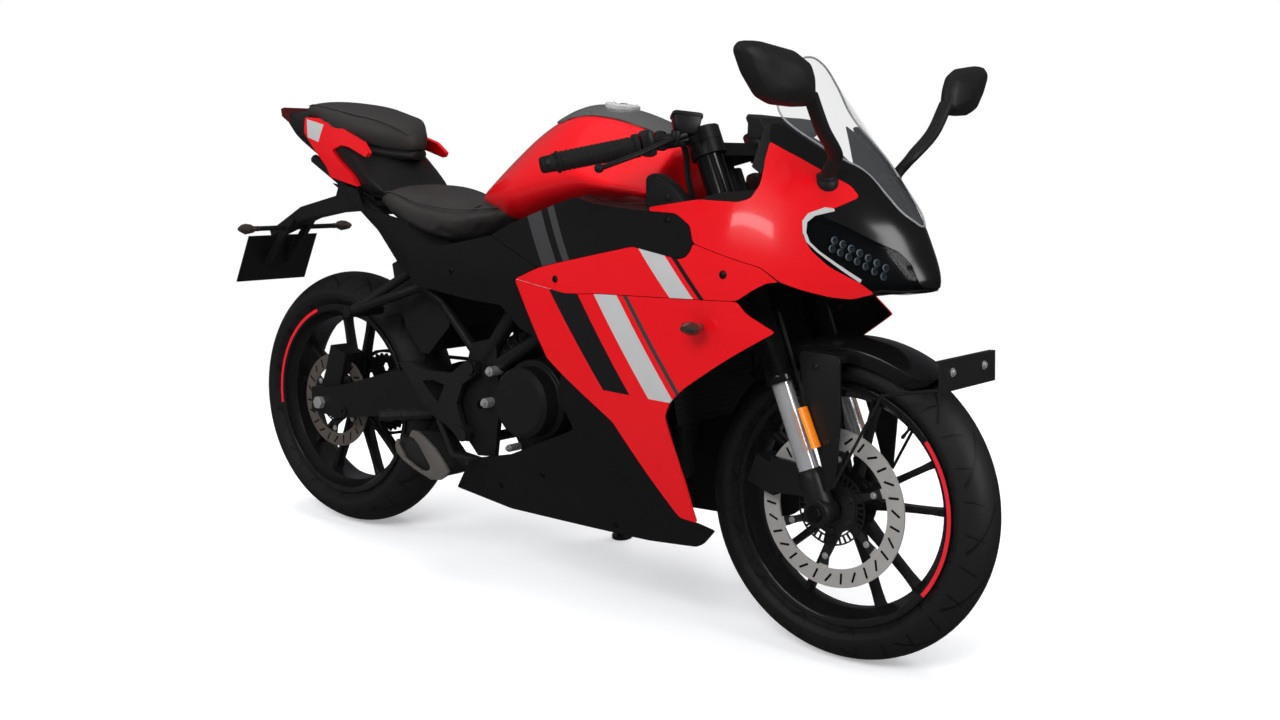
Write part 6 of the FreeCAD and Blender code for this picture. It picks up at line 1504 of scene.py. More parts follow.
@dataclass(frozen=True)
class Disc:
    """A brake disc: bright band with painted-shade slots, carrier with rivets and bolts, and the wheel sensor's
    ring.
    """

    name: str
    body: Body
    hub: Vector
    plane: float
    radius: float
    band: float
    finish: Finish
    slots: int = 28
    arms: int = 6
    teeth: int = 36
    thick: float = 0.0045

    def build(self) -> list[Thing]:
        """Returns the disc, its slots' painted shade, the sensor ring and the bright bolts."""
        return [self._disc(), self._painted_slot_shade(), self._ring(), self._bolts()]

    def _at_arm(self, n: int, reach: float, y: float) -> Matrix:
        """The transform to a place on a carrier arm, which slants as it goes out.

        Args:
            n: The arm's number.
            reach: The place's distance from the axle.
            y: Its place along the axle.

        Returns:
            The transform.
        """
        return spun(self.hub, math.tau * n / self.arms) @ Matrix.Translation((0.012 * (reach - 0.04) / 0.07, y,
                                                                              reach))

    def _disc(self) -> Thing:
        """The band, and the carrier with its arms, rivets and bolts.

        Returns:
            The disc.
        """
        bm = bmesh.new()
        inner = self.radius - self.band
        thick = self.thick
        base = -(self.plane + thick)
        ring = [(self.radius, base), (self.radius, base + thick), (inner, base + thick), (inner, base)]
        turned(bm, ring, self.hub, ACROSS, steps=112, closed=True)
        carrier = inner + 0.006
        rivet = ((0.0, -0.001), (0.0055, -0.001), (0.006, 0.0), (0.006, thick), (0.0, thick + 0.0005))
        bolt = ((0.0, -0.0035), (0.0058, -0.0035), (0.0064, -0.0028), (0.0064, 0.001), (0.0, 0.001))
        for n in range(self.arms):
            rows = ((0.04, 0.0125), (0.062, 0.0072), (0.084, 0.0068), (carrier, 0.0105))
            lofted(bm, [ring_of(self._at_arm(n, r, base + thick / 2), w, 0.002, 0.0008) for r, w in rows])
            spin = spun(self.hub, math.tau * n / self.arms)
            turned(bm, rivet, spin @ Vector((0.012, base, carrier - 0.002)), ACROSS, steps=16)
            turned(bm, bolt, spin @ Vector((0.0, base, 0.0415)), ACROSS, steps=12)
        hub = ((0.0195, base), (0.048, base), (0.048, base + thick), (0.0195, base + thick))
        turned(bm, hub, self.hub, ACROSS, steps=48, closed=True)
        return piece(bm, self.name + "_look", self.body, [self.finish], "disc_steel", [self.name], crease=40.0,
                     bevel=0.0004)

    def _painted_slot_shade(self) -> Thing:
        """Dark slanting sheets on both faces of the band: painted shade where the slots are.

        Returns:
            The slots' painted shade.
        """
        bm = bmesh.new()
        middle = self.radius - self.band / 2
        outline = rounded(((-0.0021, -0.0105), (0.0021, -0.0105), (0.0021, 0.0105), (-0.0021, 0.0105)), 0.002, 3)
        for n in range(self.slots):
            lean = math.radians(38.0 if n % 2 else 12.0)
            slant = Matrix.Translation((0.0, 0.0, middle)) @ Matrix.Rotation(lean, 4, "Y")
            for y, way in ((-(self.plane + 0.0046), -1.0), (-(self.plane - 0.0001), 1.0)):
                place = spun(self.hub, math.tau * n / self.slots) @ slant @ Matrix.Translation((0.0, y, 0.0))
                lofted(bm, [[place @ Vector((a, rise, b)) for a, b in outline] for rise in (0.0, way * 0.00025)])
        # Gloss black sheets on the band: painted shade where the slots are.
        return piece(bm, self.name + "_painted_slot_shade", self.body, [GLOSS_BLACK], "disc_steel")

    def _ring(self) -> Thing:
        """The toothed ring outside the carrier that the wheel's sensor reads.

        Returns:
            The ring.
        """
        bm = bmesh.new()
        rims = (self.radius * 0.36, self.radius * 0.46)
        top = -(self.plane + self.thick)
        for r in rims:
            turned(bm, ((r + 0.0015, top - 0.0016), (r + 0.0015, top + 0.0004), (r - 0.0015, top + 0.0004),
                        (r - 0.0015, top - 0.0016)), self.hub, ACROSS, steps=72, closed=True)
        for n in range(self.teeth):
            spin = spun(self.hub, math.tau * n / self.teeth)
            lofted(bm, [ring_of(spin @ Matrix.Translation((0.0, top - 0.0006, r)), 0.0022, 0.0007, 0.0002)
                        for r in rims])
        return piece(bm, self.name + "_sensor_ring", self.body, [SATIN_BLACK], "disc_steel", crease=40.0)

    def _bolts(self) -> Thing:
        """Bright bolts half way out on the carrier's arms.

        Returns:
            The bolts.
        """
        bm = bmesh.new()
        head = ((0.0, -0.003), (0.0034, -0.003), (0.004, -0.0024), (0.0042, -0.001), (0.0062, -0.0006),
                (0.0064, 0.0008), (0.0, 0.0008))
        for n in range(self.arms):
            centre = self._at_arm(n, self.radius * 0.62, -(self.plane + self.thick)).translation
            turned(bm, head, centre, ACROSS, steps=18)
        return piece(bm, self.name + "_bolts", self.body, [STEEL], "axle_steel", crease=40.0)


@dataclass(frozen=True)
class Fork:
    """The fork legs: black upper tubes, bright sliders and cast lugs with an axle pinch bolt."""

    half: float = 96.0
    top: float = 938.0
    seal: float = 519.0
    lug: float = 364.0
    foot: float = 293.0

    def at(self, z: float, side: float) -> Vector:
        """Point of a leg's centre line, in metres."""
        return spot(680.0 - 0.4557 * (z - 293.0), side * self.half, z)

    def build(self) -> list[Thing]:
        """Builds the black tubes, the bright sliders, the lugs and the caps.

        Returns:
            The four pieces.
        """
        tubes, sliders, lugs, caps = bmesh.new(), bmesh.new(), bmesh.new(), bmesh.new()
        for side in SIDES:
            low, high = self.at(self.seal, side), self.at(self.top, side)
            way = (high - low).normalized()
            run = (high - low).length
            tube = ((0.0195, -0.008), (0.0272, -0.008), (0.0284, -0.006), (0.0284, 0.008), (0.0272, 0.01),
                    (0.0258, 0.013), (0.0258, run - 0.03), (0.026, run - 0.028), (0.026, run - 0.002),
                    (0.0245, run), (0.0, run))
            turned(tubes, tube, low, way, steps=56)
            cap = ((0.0, run + 0.0045), (0.0085, run + 0.0045), (0.0095, run + 0.0035), (0.0095, run + 0.0015),
                   (0.0185, run + 0.0015), (0.0205, run), (0.0205, run - 0.004))
            turned(caps, cap, low, way, steps=40)
            base = self.at(self.lug - 12.0, side)
            turned(sliders, ((0.0, 0.0), (0.019, 0.0), (0.019, (low - base).length), (0.0, (low - base).length)),
                   base, way, steps=56)
            self._lug(lugs, side, way)
        finish = dict(body=Body.STEERING, crease=40.0)
        return [
            piece(tubes, "fork_tubes", finishes=[GLOSS_BLACK], slot="satin_black", replaces=["fork_legs"],
                  **finish),
            piece(sliders, "fork_sliders", finishes=[CHROME], slot="fork_chrome", **finish),
            piece(lugs, "fork_lugs", finishes=[SATIN_BLACK], slot="satin_black", bevel=0.0012, **finish),
            piece(caps, "fork_caps", finishes=[STEEL], slot="axle_steel", **finish),
        ]

    def _lug(self, bm: BMesh, side: float, way: Vector) -> None:
        """The casting at a leg's foot, which holds the axle.

        Args:
            bm: The mesh to add to.
            side: -1 for the right leg, 1 for the left.
            way: The leg's direction.
        """
        foot = self.at(self.foot, side)
        run = (self.at(self.lug, side) - foot).length
        turned(bm, ((0.0, -0.006), (0.018, -0.004), (0.024, 0.004), (0.025, 0.018), (0.0242, run - 0.016),
                    (0.0225, run - 0.004), (0.02, run), (0.0, run)), foot, way, steps=44)
        boss = ((0.0088, -0.02), (0.0235, -0.02), (0.0258, -0.017), (0.0258, 0.022), (0.0238, 0.0255),
                (0.0088, 0.0255))
        turned(bm, boss, foot, Vector((0.0, side, 0.0)), steps=44, closed=True)
        pinch = foot + Vector((-0.024, side * 0.004, -0.01))
        turned(bm, ((0.0, -0.014), (0.0075, -0.014), (0.0075, 0.014), (0.0, 0.014)), pinch,
               Vector((0.3, 0.0, 1.0)), steps=20)


@dataclass(frozen=True)
class FrontMudguard:
    """The front mudguard: a thin shell over the tyre, with side cheeks, arms and bolts."""

    inner: float = 306.0
    half: float = 66.0
    front_deg: float = 56.0
    rear_deg: float = 134.0

    def build(self) -> list[Thing]:
        """Builds the shell and the arms down to the fork lugs.

        Returns:
            Both pieces.
        """
        bm = bmesh.new()
        sweep = self.rear_deg - self.front_deg
        bridged(bm, [self._row(self.front_deg + sweep * n / 26) for n in range(27)])
        bm.normal_update()
        if sum(f.normal.dot(f.calc_center_median() - FRONT_AXLE) * f.calc_area() for f in bm.faces) < 0:
            bmesh.ops.reverse_faces(bm, faces=bm.faces)
        shell = piece(bm, "mudguard_shell", Body.STEERING, [GLOSS_BLACK], "matt_plastic", ["front_mudguard"],
                      crease=60.0, wall=Wall(0.003, 0.0009))
        arms = bmesh.new()
        arm = ((618, 578), (704, 578), (712, 470), (708, 345), (694, 330), (672, 395), (640, 470))
        outline = metres(rounded(arm, 14, 4))
        for side in SIDES:
            y = side * (FORK_HALF + 0.0075)
            plated(arms, outline, y - 0.003, y + 0.003, 0.0012)
            link = metres(((624, 576), (700, 576), (700, 562), (624, 562)))
            plated(arms, link, min(side * 0.063, y), max(side * 0.063, y), 0.001)
            for x, z in ((656, 552), (688, 420)):
                middle = Vector((x * MM, y + side * 0.003, z * MM))
                turned(arms, (*SMALL_BOLT, (0.0068, 0.0)), middle, Vector((0.0, side, 0.0)), steps=18)
        return [shell, piece(arms, "mudguard_arms", Body.STEERING, [SATIN_BLACK], "matt_plastic", crease=45.0)]

    def _row(self, turn: float) -> list[Vector]:
        """One open section of the shell.

        Args:
            turn: Its angle round the axle, in degrees.

        Returns:
            Its points, from the right edge over the crown to the left.
        """
        share = (turn - self.front_deg) / (self.rear_deg - self.front_deg)
        end = min(1.0, min(share, 1.0 - share) * 7.0)
        ease = math.sqrt(max(0.0, end * (2.0 - end)))
        half = self.half * (0.62 + 0.38 * ease)
        drop = 16.0 + 25.0 * ease
        radius = self.inner + 3.0
        section = ((1.0, drop), (1.0, drop * 0.62), (0.97, drop * 0.36), (0.85, 11.0), (0.62, 3.6), (0.32, 0.6),
                   (0.0, -1.6))
        points = [(radius - low, -half * w) for w, low in section]
        points += [(r, -y) for r, y in reversed(points[:-1])]
        way = math.radians(turn)
        return [FRONT_AXLE + Vector((r * math.cos(way), y, r * math.sin(way))) * MM for r, y in points]


# Tank, seats and tail

TANK_ROWS = ((-214, 772, 800, 826, 30, 66, 30), (-150, 764, 815, 888, 60, 100, 40),
             (-60, 765, 830, 956, 80, 138, 52), (40, 790, 850, 996, 90, 160, 66),
             (140, 805, 865, 990, 96, 176, 74), (240, 812, 865, 958, 100, 186, 84),
             (320, 815, 862, 916, 104, 186, 100), (385, 832, 856, 880, 120, 178, 130))
RIDER_ROWS = ((-505, 768, 784, 800, 60, 100, 60), (-440, 742, 776, 812, 80, 138, 90),
              (-340, 712, 752, 796, 96, 150, 100), (-240, 712, 748, 790, 90, 142, 90),
              (-160, 738, 768, 797, 70, 112, 60), (-118, 760, 780, 798, 50, 80, 40))
PILLION_ROWS = ((-812, 962, 974, 986, 34, 56, 34), (-750, 944, 965, 993, 62, 90, 58),
                (-660, 917, 946, 988, 80, 108, 70), (-600, 902, 934, 980, 76, 104, 66),
                (-550, 893, 925, 970, 62, 84, 54), (-515, 889, 916, 956, 40, 58, 36),
                (-490, 889, 908, 938, 22, 34, 20), (-478, 892, 902, 920, 10, 16, 10))
BASE_ROWS = ((-866, 925, 945, 972, 40, 62, 44), (-820, 905, 935, 970, 60, 82, 50),
             (-740, 868, 915, 955, 70, 92, 60), (-650, 830, 885, 926, 78, 102, 72),
             (-585, 800, 855, 903, 84, 110, 74), (-540, 788, 836, 893, 84, 112, 54),
             (-505, 784, 816, 868, 76, 108, 38), (-480, 782, 798, 830, 64, 98, 30),
             (-440, 778, 784, 792, 40, 70, 24))
STEP_ROWS = ((-700, 905, 918, 930, 60, 92, 60), (-620, 884, 898, 915, 70, 98, 70),
             (-560, 874, 886, 902, 62, 86, 60), (-522, 870, 881, 896, 42, 60, 40),
             (-498, 870, 879, 893, 24, 36, 22), (-484, 872, 878, 890, 10, 16, 10))


def section_at(rows: Sequence[Sequence[float]], x: float) -> list[float]:
    """The section values at a place, each column followed smoothly."""
    return [smoothed([(row[0], row[n]) for row in rows], x) for n in range(1, len(rows[0]))]


def section_ring(rows: Sequence[Sequence[float]], x: float, steps: int = 6) -> list[Pair]:
    """The closed section (y, z) of a tank or seat at a place.

    Args:
        rows: The table of sections.
        x: The place.
        steps: Points from one control point to the next.

    Returns:
        The ring, from the middle of its underside to the right and round.
    """
    low, wide, top, low_half, wide_half, top_half = section_at(rows, x)
    right = [(0.0, low), (-low_half, low), (-wide_half, wide), (-top_half * 1.25, (wide + 3 * top) / 4)]
    corners = right + [(0.0, top)] + [(-y, z) for y, z in reversed(right[1:])]
    ring: list[Pair] = []
    count = len(corners)
    for n in range(count):
        a, b, c, d = (Vector(corners[(n + k) % count]) for k in (-1, 0, 1, 2))
        for k in range(steps):
            t = k / steps
            ring.append(tuple(on_curve(a, b, c, d, t)))
    return ring


def top_at(rows: Sequence[Sequence[float]], x: float, y: float) -> float:
    """Height of a section's upper side at a place across.

    Args:
        rows: The table of sections.
        x: The place along the machine.
        y: The place across.

    Returns:
        The height, in millimetres.
    """
    ring = section_ring(rows, x, 10)
    best = 0.0
    for (y0, z0), (y1, z1) in zip(ring, ring[1:] + ring[:1]):
        if (y0 - y) * (y1 - y) <= 0 and abs(y1 - y0) > 1e-9:
            best = max(best, z0 + (z1 - z0) * (y - y0) / (y1 - y0))
    return best


def body_form(rows: Sequence[Sequence[float]], stations: int, end: Optional[float] = None) -> BMesh:
    """The closed form through a table of sections.

    Args:
        rows: The table.
        stations: How many sections the form is made of.
        end: Where it ends, if before the table's last row.

    Returns:
        The mesh.
    """
    start, stop = rows[0][0], rows[-1][0] if end is None else end
    bm = bmesh.new()
    rings = []
    for n in range(stations):
        t = n / (stations - 1)
        x = start + (stop - start) * (t * t * (3 - 2 * t) * 0.35 + t * 0.65)
        rings.append([spot(x, y, z) for y, z in section_ring(rows, x)])
    lofted(bm, rings)
    return bm


def smoothed_over(mesh: bpy.types.Mesh, rounds: int) -> None:
    """Evens out a mesh's surface.

    Args:
        mesh: The mesh.
        rounds: How many times it is smoothed.
    """
    bm = bmesh.new()
    bm.from_mesh(mesh)
    for _ in range(rounds):
        bmesh.ops.smooth_vert(bm, verts=bm.verts, factor=0.5, use_axis_x=True, use_axis_y=True, use_axis_z=True)
    bm.to_mesh(mesh)
    bm.free()


def remeshed(made: Thing, voxel: float, rounds: int) -> None:
    """Gives a closed form an even mesh and eases its edges.

    Args:
        made: The object.
        voxel: The mesh's step, in metres.
        rounds: How many times it is smoothed.
    """
    even = made.modifiers.new("even", "REMESH")
    even.mode = "VOXEL"
    even.voxel_size = voxel
    graph = bpy.context.evaluated_depsgraph_get()
    mesh = bpy.data.meshes.new_from_object(made.evaluated_get(graph))
    made.modifiers.clear()
    made.data = mesh
    smoothed_over(mesh, rounds)
    mesh.shade_smooth()


@dataclass(frozen=True)
class Tank:
    """The fuel tank, its woven cover and its hinged filler cap."""

    front: float = 306.0
    voxel: float = 0.0048
    ease_rounds: int = 14

    def build(self) -> list[Thing]:
        """Builds the tank's pieces.

        Returns:
            The shell, the cover, and the filler's cap and lock.
        """
        shell = piece(self._shell(), "tank_shell", Body.CHASSIS, [RED], "red_paint", ["fuel_tank"], crease=62.0)
        remeshed(shell, self.voxel, self.ease_rounds)
        return [shell, self._cover(), *self._filler()]

    def _shell(self) -> BMesh:
        """The tank's form, cut where each bar swings in at full lock.

        Returns:
            The mesh.
        """
        bm = body_form(TANK_ROWS, 34, self.front)
        for side in SIDES:
            foot, normal = self._bar_room(side)
            cut = bmesh.ops.bisect_plane(bm, geom=whole(bm), dist=1e-6, plane_co=foot, plane_no=normal,
                                         clear_outer=True)
            rim = [g for g in cut["geom_cut"] if isinstance(g, BMEdge)]
            if rim:
                bmesh.ops.edgeloop_fill(bm, edges=rim)
        bmesh.ops.recalc_face_normals(bm, faces=bm.faces)
        return bm

    @staticmethod
    def _bar_room(side: float) -> tuple[Vector, Vector]:
        """The plane that bounds the room beside the tank's top for a bar at full lock.

        Args:
            side: -1 for the right bar, 1 for the left.

        Returns:
            A point of the plane and the direction towards the bar.
        """
        axis = Vector((-math.sin(RAKE), 0.0, math.cos(RAKE)))
        forward = Vector((axis.z, 0.0, -axis.x))
        clamp = STEER_FOOT + axis * (CLAMP_HEIGHT / axis.z)
        set_off = (FRONT_AXLE - STEER_FOOT).cross(axis).length
        leg = clamp + forward * set_off + Vector((0.0, side * FORK_HALF, 0.0)) + axis * 0.026
        turn = Matrix.Rotation(LOCK * side, 3, axis)
        bar = spot(BAR_END[0], side * BAR_END[1], BAR_END[2])
        near, far = (STEER_FOOT + turn @ (p - STEER_FOOT) for p in (leg, bar))
        way = (far - near).normalized()
        rise = Vector((0.0, -side, 1.0))
        rise = (rise - way * rise.dot(way)).normalized()
        outward = way.cross(rise).normalized()
        outward = outward if outward.z > 0 else -outward
        return near - outward * BAR_ROOM, outward

    def _cover(self) -> Thing:
        """The woven cover down the tank's middle, proud of the paint by its own thickness.

        Returns:
            The cover.
        """
        half = ((-30, 40), (-12, 54), (20, 62), (110, 66), (200, 64), (260, 56), (303, 42))
        outline = [(float(x), smoothed(half, x)) for x in range(-30, 305, 9)]
        corners = outline + [(x, -w) for x, w in reversed(outline)]
        bm = bmesh.new()
        bm.faces.new([bm.verts.new((x, 0.0, y)) for x, y in corners])
        gridded(bm, (9.0, 8.0))
        for vert in bm.verts:
            x, y = vert.co.x, vert.co.z
            vert.co = spot(x, y, top_at(TANK_ROWS, x, y) + 5.5 - 3.0 * (y / 66.0) ** 2)
        facing(bm, UPWARD)
        return piece(bm, "tank_woven_cover", Body.CHASSIS, [WEAVE], "tank_weave", ["tank_cover"], crease=60.0,
                     wall=Wall(0.006, 0.001))

    def _filler(self) -> list[Thing]:
        """The filler's hinged cap with its ring of bolts, and the lock in it.

        Returns:
            Both pieces.
        """
        base = spot(110.0, 0.0, 1001.0)
        up = Vector((math.sin(math.radians(6.0)), 0.0, math.cos(math.radians(6.0))))
        cap = bmesh.new()
        profile = ((0.0, 0.0046), (0.012, 0.0046), (0.0128, 0.0036), (0.0215, 0.0036), (0.023, 0.0042),
                   (0.0335, 0.0036), (0.0352, 0.0024), (0.0356, 0.0), (0.035, -0.006), (0.0, -0.006))
        turned(cap, profile, base, up, steps=64)
        place = aimed(base, up)
        for n in range(7):
            turn = math.tau * (n + 0.5) / 7
            spot_at = place @ Vector((0.0292 * math.cos(turn), 0.0292 * math.sin(turn), 0.0036))
            turned(cap, ((0.0, 0.002), (0.0022, 0.002), (0.003, 0.0012), (0.003, -0.001)), spot_at, up, steps=14)
        lid = piece(cap, "filler_cap", Body.CAP, [SILVER], "satin_black", ["fuel_cap"], crease=35.0)
        key = bmesh.new()
        turned(key, ((0.0, 0.0056), (0.0052, 0.0056), (0.006, 0.005), (0.006, 0.004)), base, up, steps=24)
        return [lid, piece(key, "filler_lock", Body.CAP, [DARK_STEEL], "axle_steel", crease=35.0)]


@dataclass(frozen=True)
class Seat:
    """A padded seat under stretched vinyl, with its sewn seams."""

    name: str
    node: str
    rows: tuple[tuple[float, ...], ...]
    seam_share: float
    cross_seams: tuple[float, ...] = ()
    voxel: float = 0.0065
    pressure: float = 4.0
    reach: float = 0.006
    frames: int = 20
    thread: float = 0.0018

    def build(self) -> list[Thing]:
        """Builds the cushion and its seams.

        Returns:
            Both pieces.
        """
        cushion = piece(body_form(self.rows, 22), self.name, Body.CHASSIS, [VINYL], "seat_vinyl", [self.node],
                        crease=70.0)
        remeshed(cushion, self.voxel, 3)
        self._inflate(cushion)
        smooth = cushion.modifiers.new("finer", "SUBSURF")
        smooth.levels = 1
        smooth.render_levels = 1
        return [cushion, self._seams()]

    def _inflate(self, cushion: Thing) -> None:
        """Fills the cushion as cloth under pressure, its movement held to a few millimetres.

        Args:
            cushion: The cushion.
        """
        rest = [v.co.copy() for v in cushion.data.vertices]
        cloth = cushion.modifiers.new("fill", "CLOTH")
        settings = cloth.settings
        settings.use_pressure = True
        settings.uniform_pressure_force = self.pressure
        settings.effector_weights.gravity = 0.0
        settings.quality = 5
        settings.tension_stiffness = 25.0
        settings.compression_stiffness = 25.0
        cloth.point_cache.frame_start = 1
        cloth.point_cache.frame_end = self.frames
        scene = bpy.context.scene
        for number in range(1, self.frames + 1):
            scene.frame_set(number)
        graph = bpy.context.evaluated_depsgraph_get()
        filled = bpy.data.meshes.new_from_object(cushion.evaluated_get(graph))
        cushion.modifiers.clear()
        for vert, start, after in zip(cushion.data.vertices, rest, filled.vertices):
            move = after.co - start
            if move.length > self.reach:
                move = move.normalized() * self.reach
            vert.co = start + move
        bpy.data.meshes.remove(filled)
        scene.frame_set(1)
        smoothed_over(cushion.data, 1)

    def _seams(self) -> Thing:
        """Sewn ridges along both shoulders and across the top.

        Returns:
            The seams.
        """
        bm = bmesh.new()
        start, stop = self.rows[0][0] + 14.0, self.rows[-1][0] - 10.0
        for side in SIDES:
            path = []
            for n in range(18):
                x = start + (stop - start) * n / 17
                half = section_at(self.rows, x)[4] * self.seam_share * side
                path.append(spot(x, half, top_at(self.rows, x, half) + 1.2))
            swept(bm, path, self.thread, 7)
        for x in self.cross_seams:
            half = section_at(self.rows, x)[4] * self.seam_share
            path = [spot(x + 10.0 * (1 - (k / 5.0) ** 2), half * k / 5.0,
                         top_at(self.rows, x, half * k / 5.0) + 1.0) for k in range(-5, 6)]
            swept(bm, path, self.thread, 7)
        return piece(bm, self.name + "_seams", Body.CHASSIS, [SEAM], "seat_vinyl")


def tail_half(x: float) -> float:
    """Half width of the tail's flank, in millimetres."""
    return 148.0 + (x + 300.0) * 62.0 / 580.0


def on_tail(x: float, z: float) -> Vector:
    """Point of the tail's right flank, which crowns between its upper and lower edges."""
    middle = smoothed(((-822, 935), (-600, 862), (-492, 836), (-380, 700), (-300, 680)), x)
    return spot(x, -(tail_half(x) - 7.0 * min(1.4, abs(z - middle) / 60.0) ** 2), z)


def on_tail_low(x: float, z: float) -> Vector:
    """Point of the black panel under the seat."""
    middle = smoothed(((-655, 800), (-475, 745), (-392, 690), (-300, 680)), x)
    return spot(x, -(tail_half(x) - 3.0 - 6.0 * min(1.5, abs(z - middle) / 70.0) ** 2), z)


@dataclass(frozen=True)
class Tail:
    """The tail's side panels, lamp and base."""

    def build(self) -> list[Thing]:
        """Builds the panels of both sides and the pieces between them.

        Returns:
            The pieces.
        """
        marks = (Mark(((-756, 953), (-690, 942), (-704, 902), (-748, 912)), SILVER),)
        upper = Panel("tail_red_panels", "tail_cowl", TAIL_PANEL, RED, "red_paint", marks, on_tail, (12.0, 10.0),
                      5.0,
                      wall=0.01, lined=False)
        lower = Panel("tail_black_panels", "tail_side", TAIL_LOW_PANEL, GLOSS_BLACK, "black_gloss", (),
                      on_tail_low,
                      (14.0, 12.0))
        base = piece(body_form(BASE_ROWS, 34), "tail_base_form", Body.CHASSIS, [SATIN_BLACK], "matt_plastic",
                     ["tail_base"], crease=60.0)
        step = piece(body_form(STEP_ROWS, 26), "pillion_step", Body.CHASSIS, [MATT_BLACK], "matt_plastic",
                     crease=60.0)
        return [upper.build(), lower.build(), base, step,
                FramePiece("tail_lamp", Body.CHASSIS, RED_LENS, "red_lens").build()]


@dataclass(frozen=True)
class Mirrors:
    """Both mirrors: bent stems on round feet, shield-shaped heads and their glass."""

    outline: tuple[Pair, ...] = ((-232, 1012), (-236, 1048), (-250, 1073), (-290, 1090), (-380, 1100),
                                 (-416, 1098), (-427, 1086), (-405, 1050), (-368, 1014), (-335, 1003),
                                 (-285, 1001), (-245, 1003))

    def build(self) -> list[Thing]:
        """Builds the heads with their stems, and the glass.

        Returns:
            Both pieces.
        """
        bm, glass = bmesh.new(), bmesh.new()
        layers = ((-13.0, 0.93), (-13.0, 0.965), (-10.0, 0.99), (-4.0, 1.0), (3.0, 0.985), (13.0, 0.86),
                  (15.0, 0.82), (22.0, 0.58), (24.5, 0.45), (26.0, 0.3))
        for side in SIDES:
            lofted(bm, [self._layer(side, ahead, size) for ahead, size in layers])
            foot, elbow, neck = spot(662, side * 112, 880), spot(690, side * 142, 922), spot(700, side * 238, 1022)
            start = foot - Vector((0.0, 0.0, 0.004))
            swept(bm, [start, foot.lerp(elbow, 0.4), elbow + Vector((0.002, side * -0.004, 0.004)),
                       elbow.lerp(neck, 0.5) + Vector((0.004, side * 0.004, -0.004)), neck], 0.014, 20, 0.72)
            boot = ((0.0, -0.012), (0.0205, -0.012), (0.0215, -0.007), (0.0205, 0.002), (0.0185, 0.004),
                    (0.0188, 0.009), (0.0165, 0.014), (0.0, 0.016))
            turned(bm, boot, foot, Vector((0.14, side * 0.3, 1.0)), steps=32)
            lofted(glass, [self._layer(side, -13.4, 0.9), self._layer(side, -12.6, 0.905)])
        heads = piece(bm, "mirror_bodies", Body.CHASSIS, [MATT_BLACK], "matt_plastic", ["mirrors"], crease=45.0)
        return [heads, piece(glass, "mirror_glass", Body.CHASSIS, [CHROME], "fork_chrome", crease=30.0)]

    def _layer(self, side: float, ahead: float, size: float) -> list[Vector]:
        """One ring of a mirror's head.

        Args:
            side: -1 for the right mirror, 1 for the left.
            ahead: How far ahead of the head's middle it lies.
            size: Its size as a share of the outline.

        Returns:
            The ring's points.
        """
        points = rounded(self.outline, 9.0, 3)
        mid_y = sum(y for y, _ in points) / len(points)
        mid_z = sum(z for _, z in points) / len(points)
        ring = []
        for y, z in points:
            x = 702.0 - 0.09 * (-232.0 - y) + ahead
            ring.append(spot(x, -side * (mid_y + (y - mid_y) * size), mid_z + (z - mid_z) * size))
        return ring


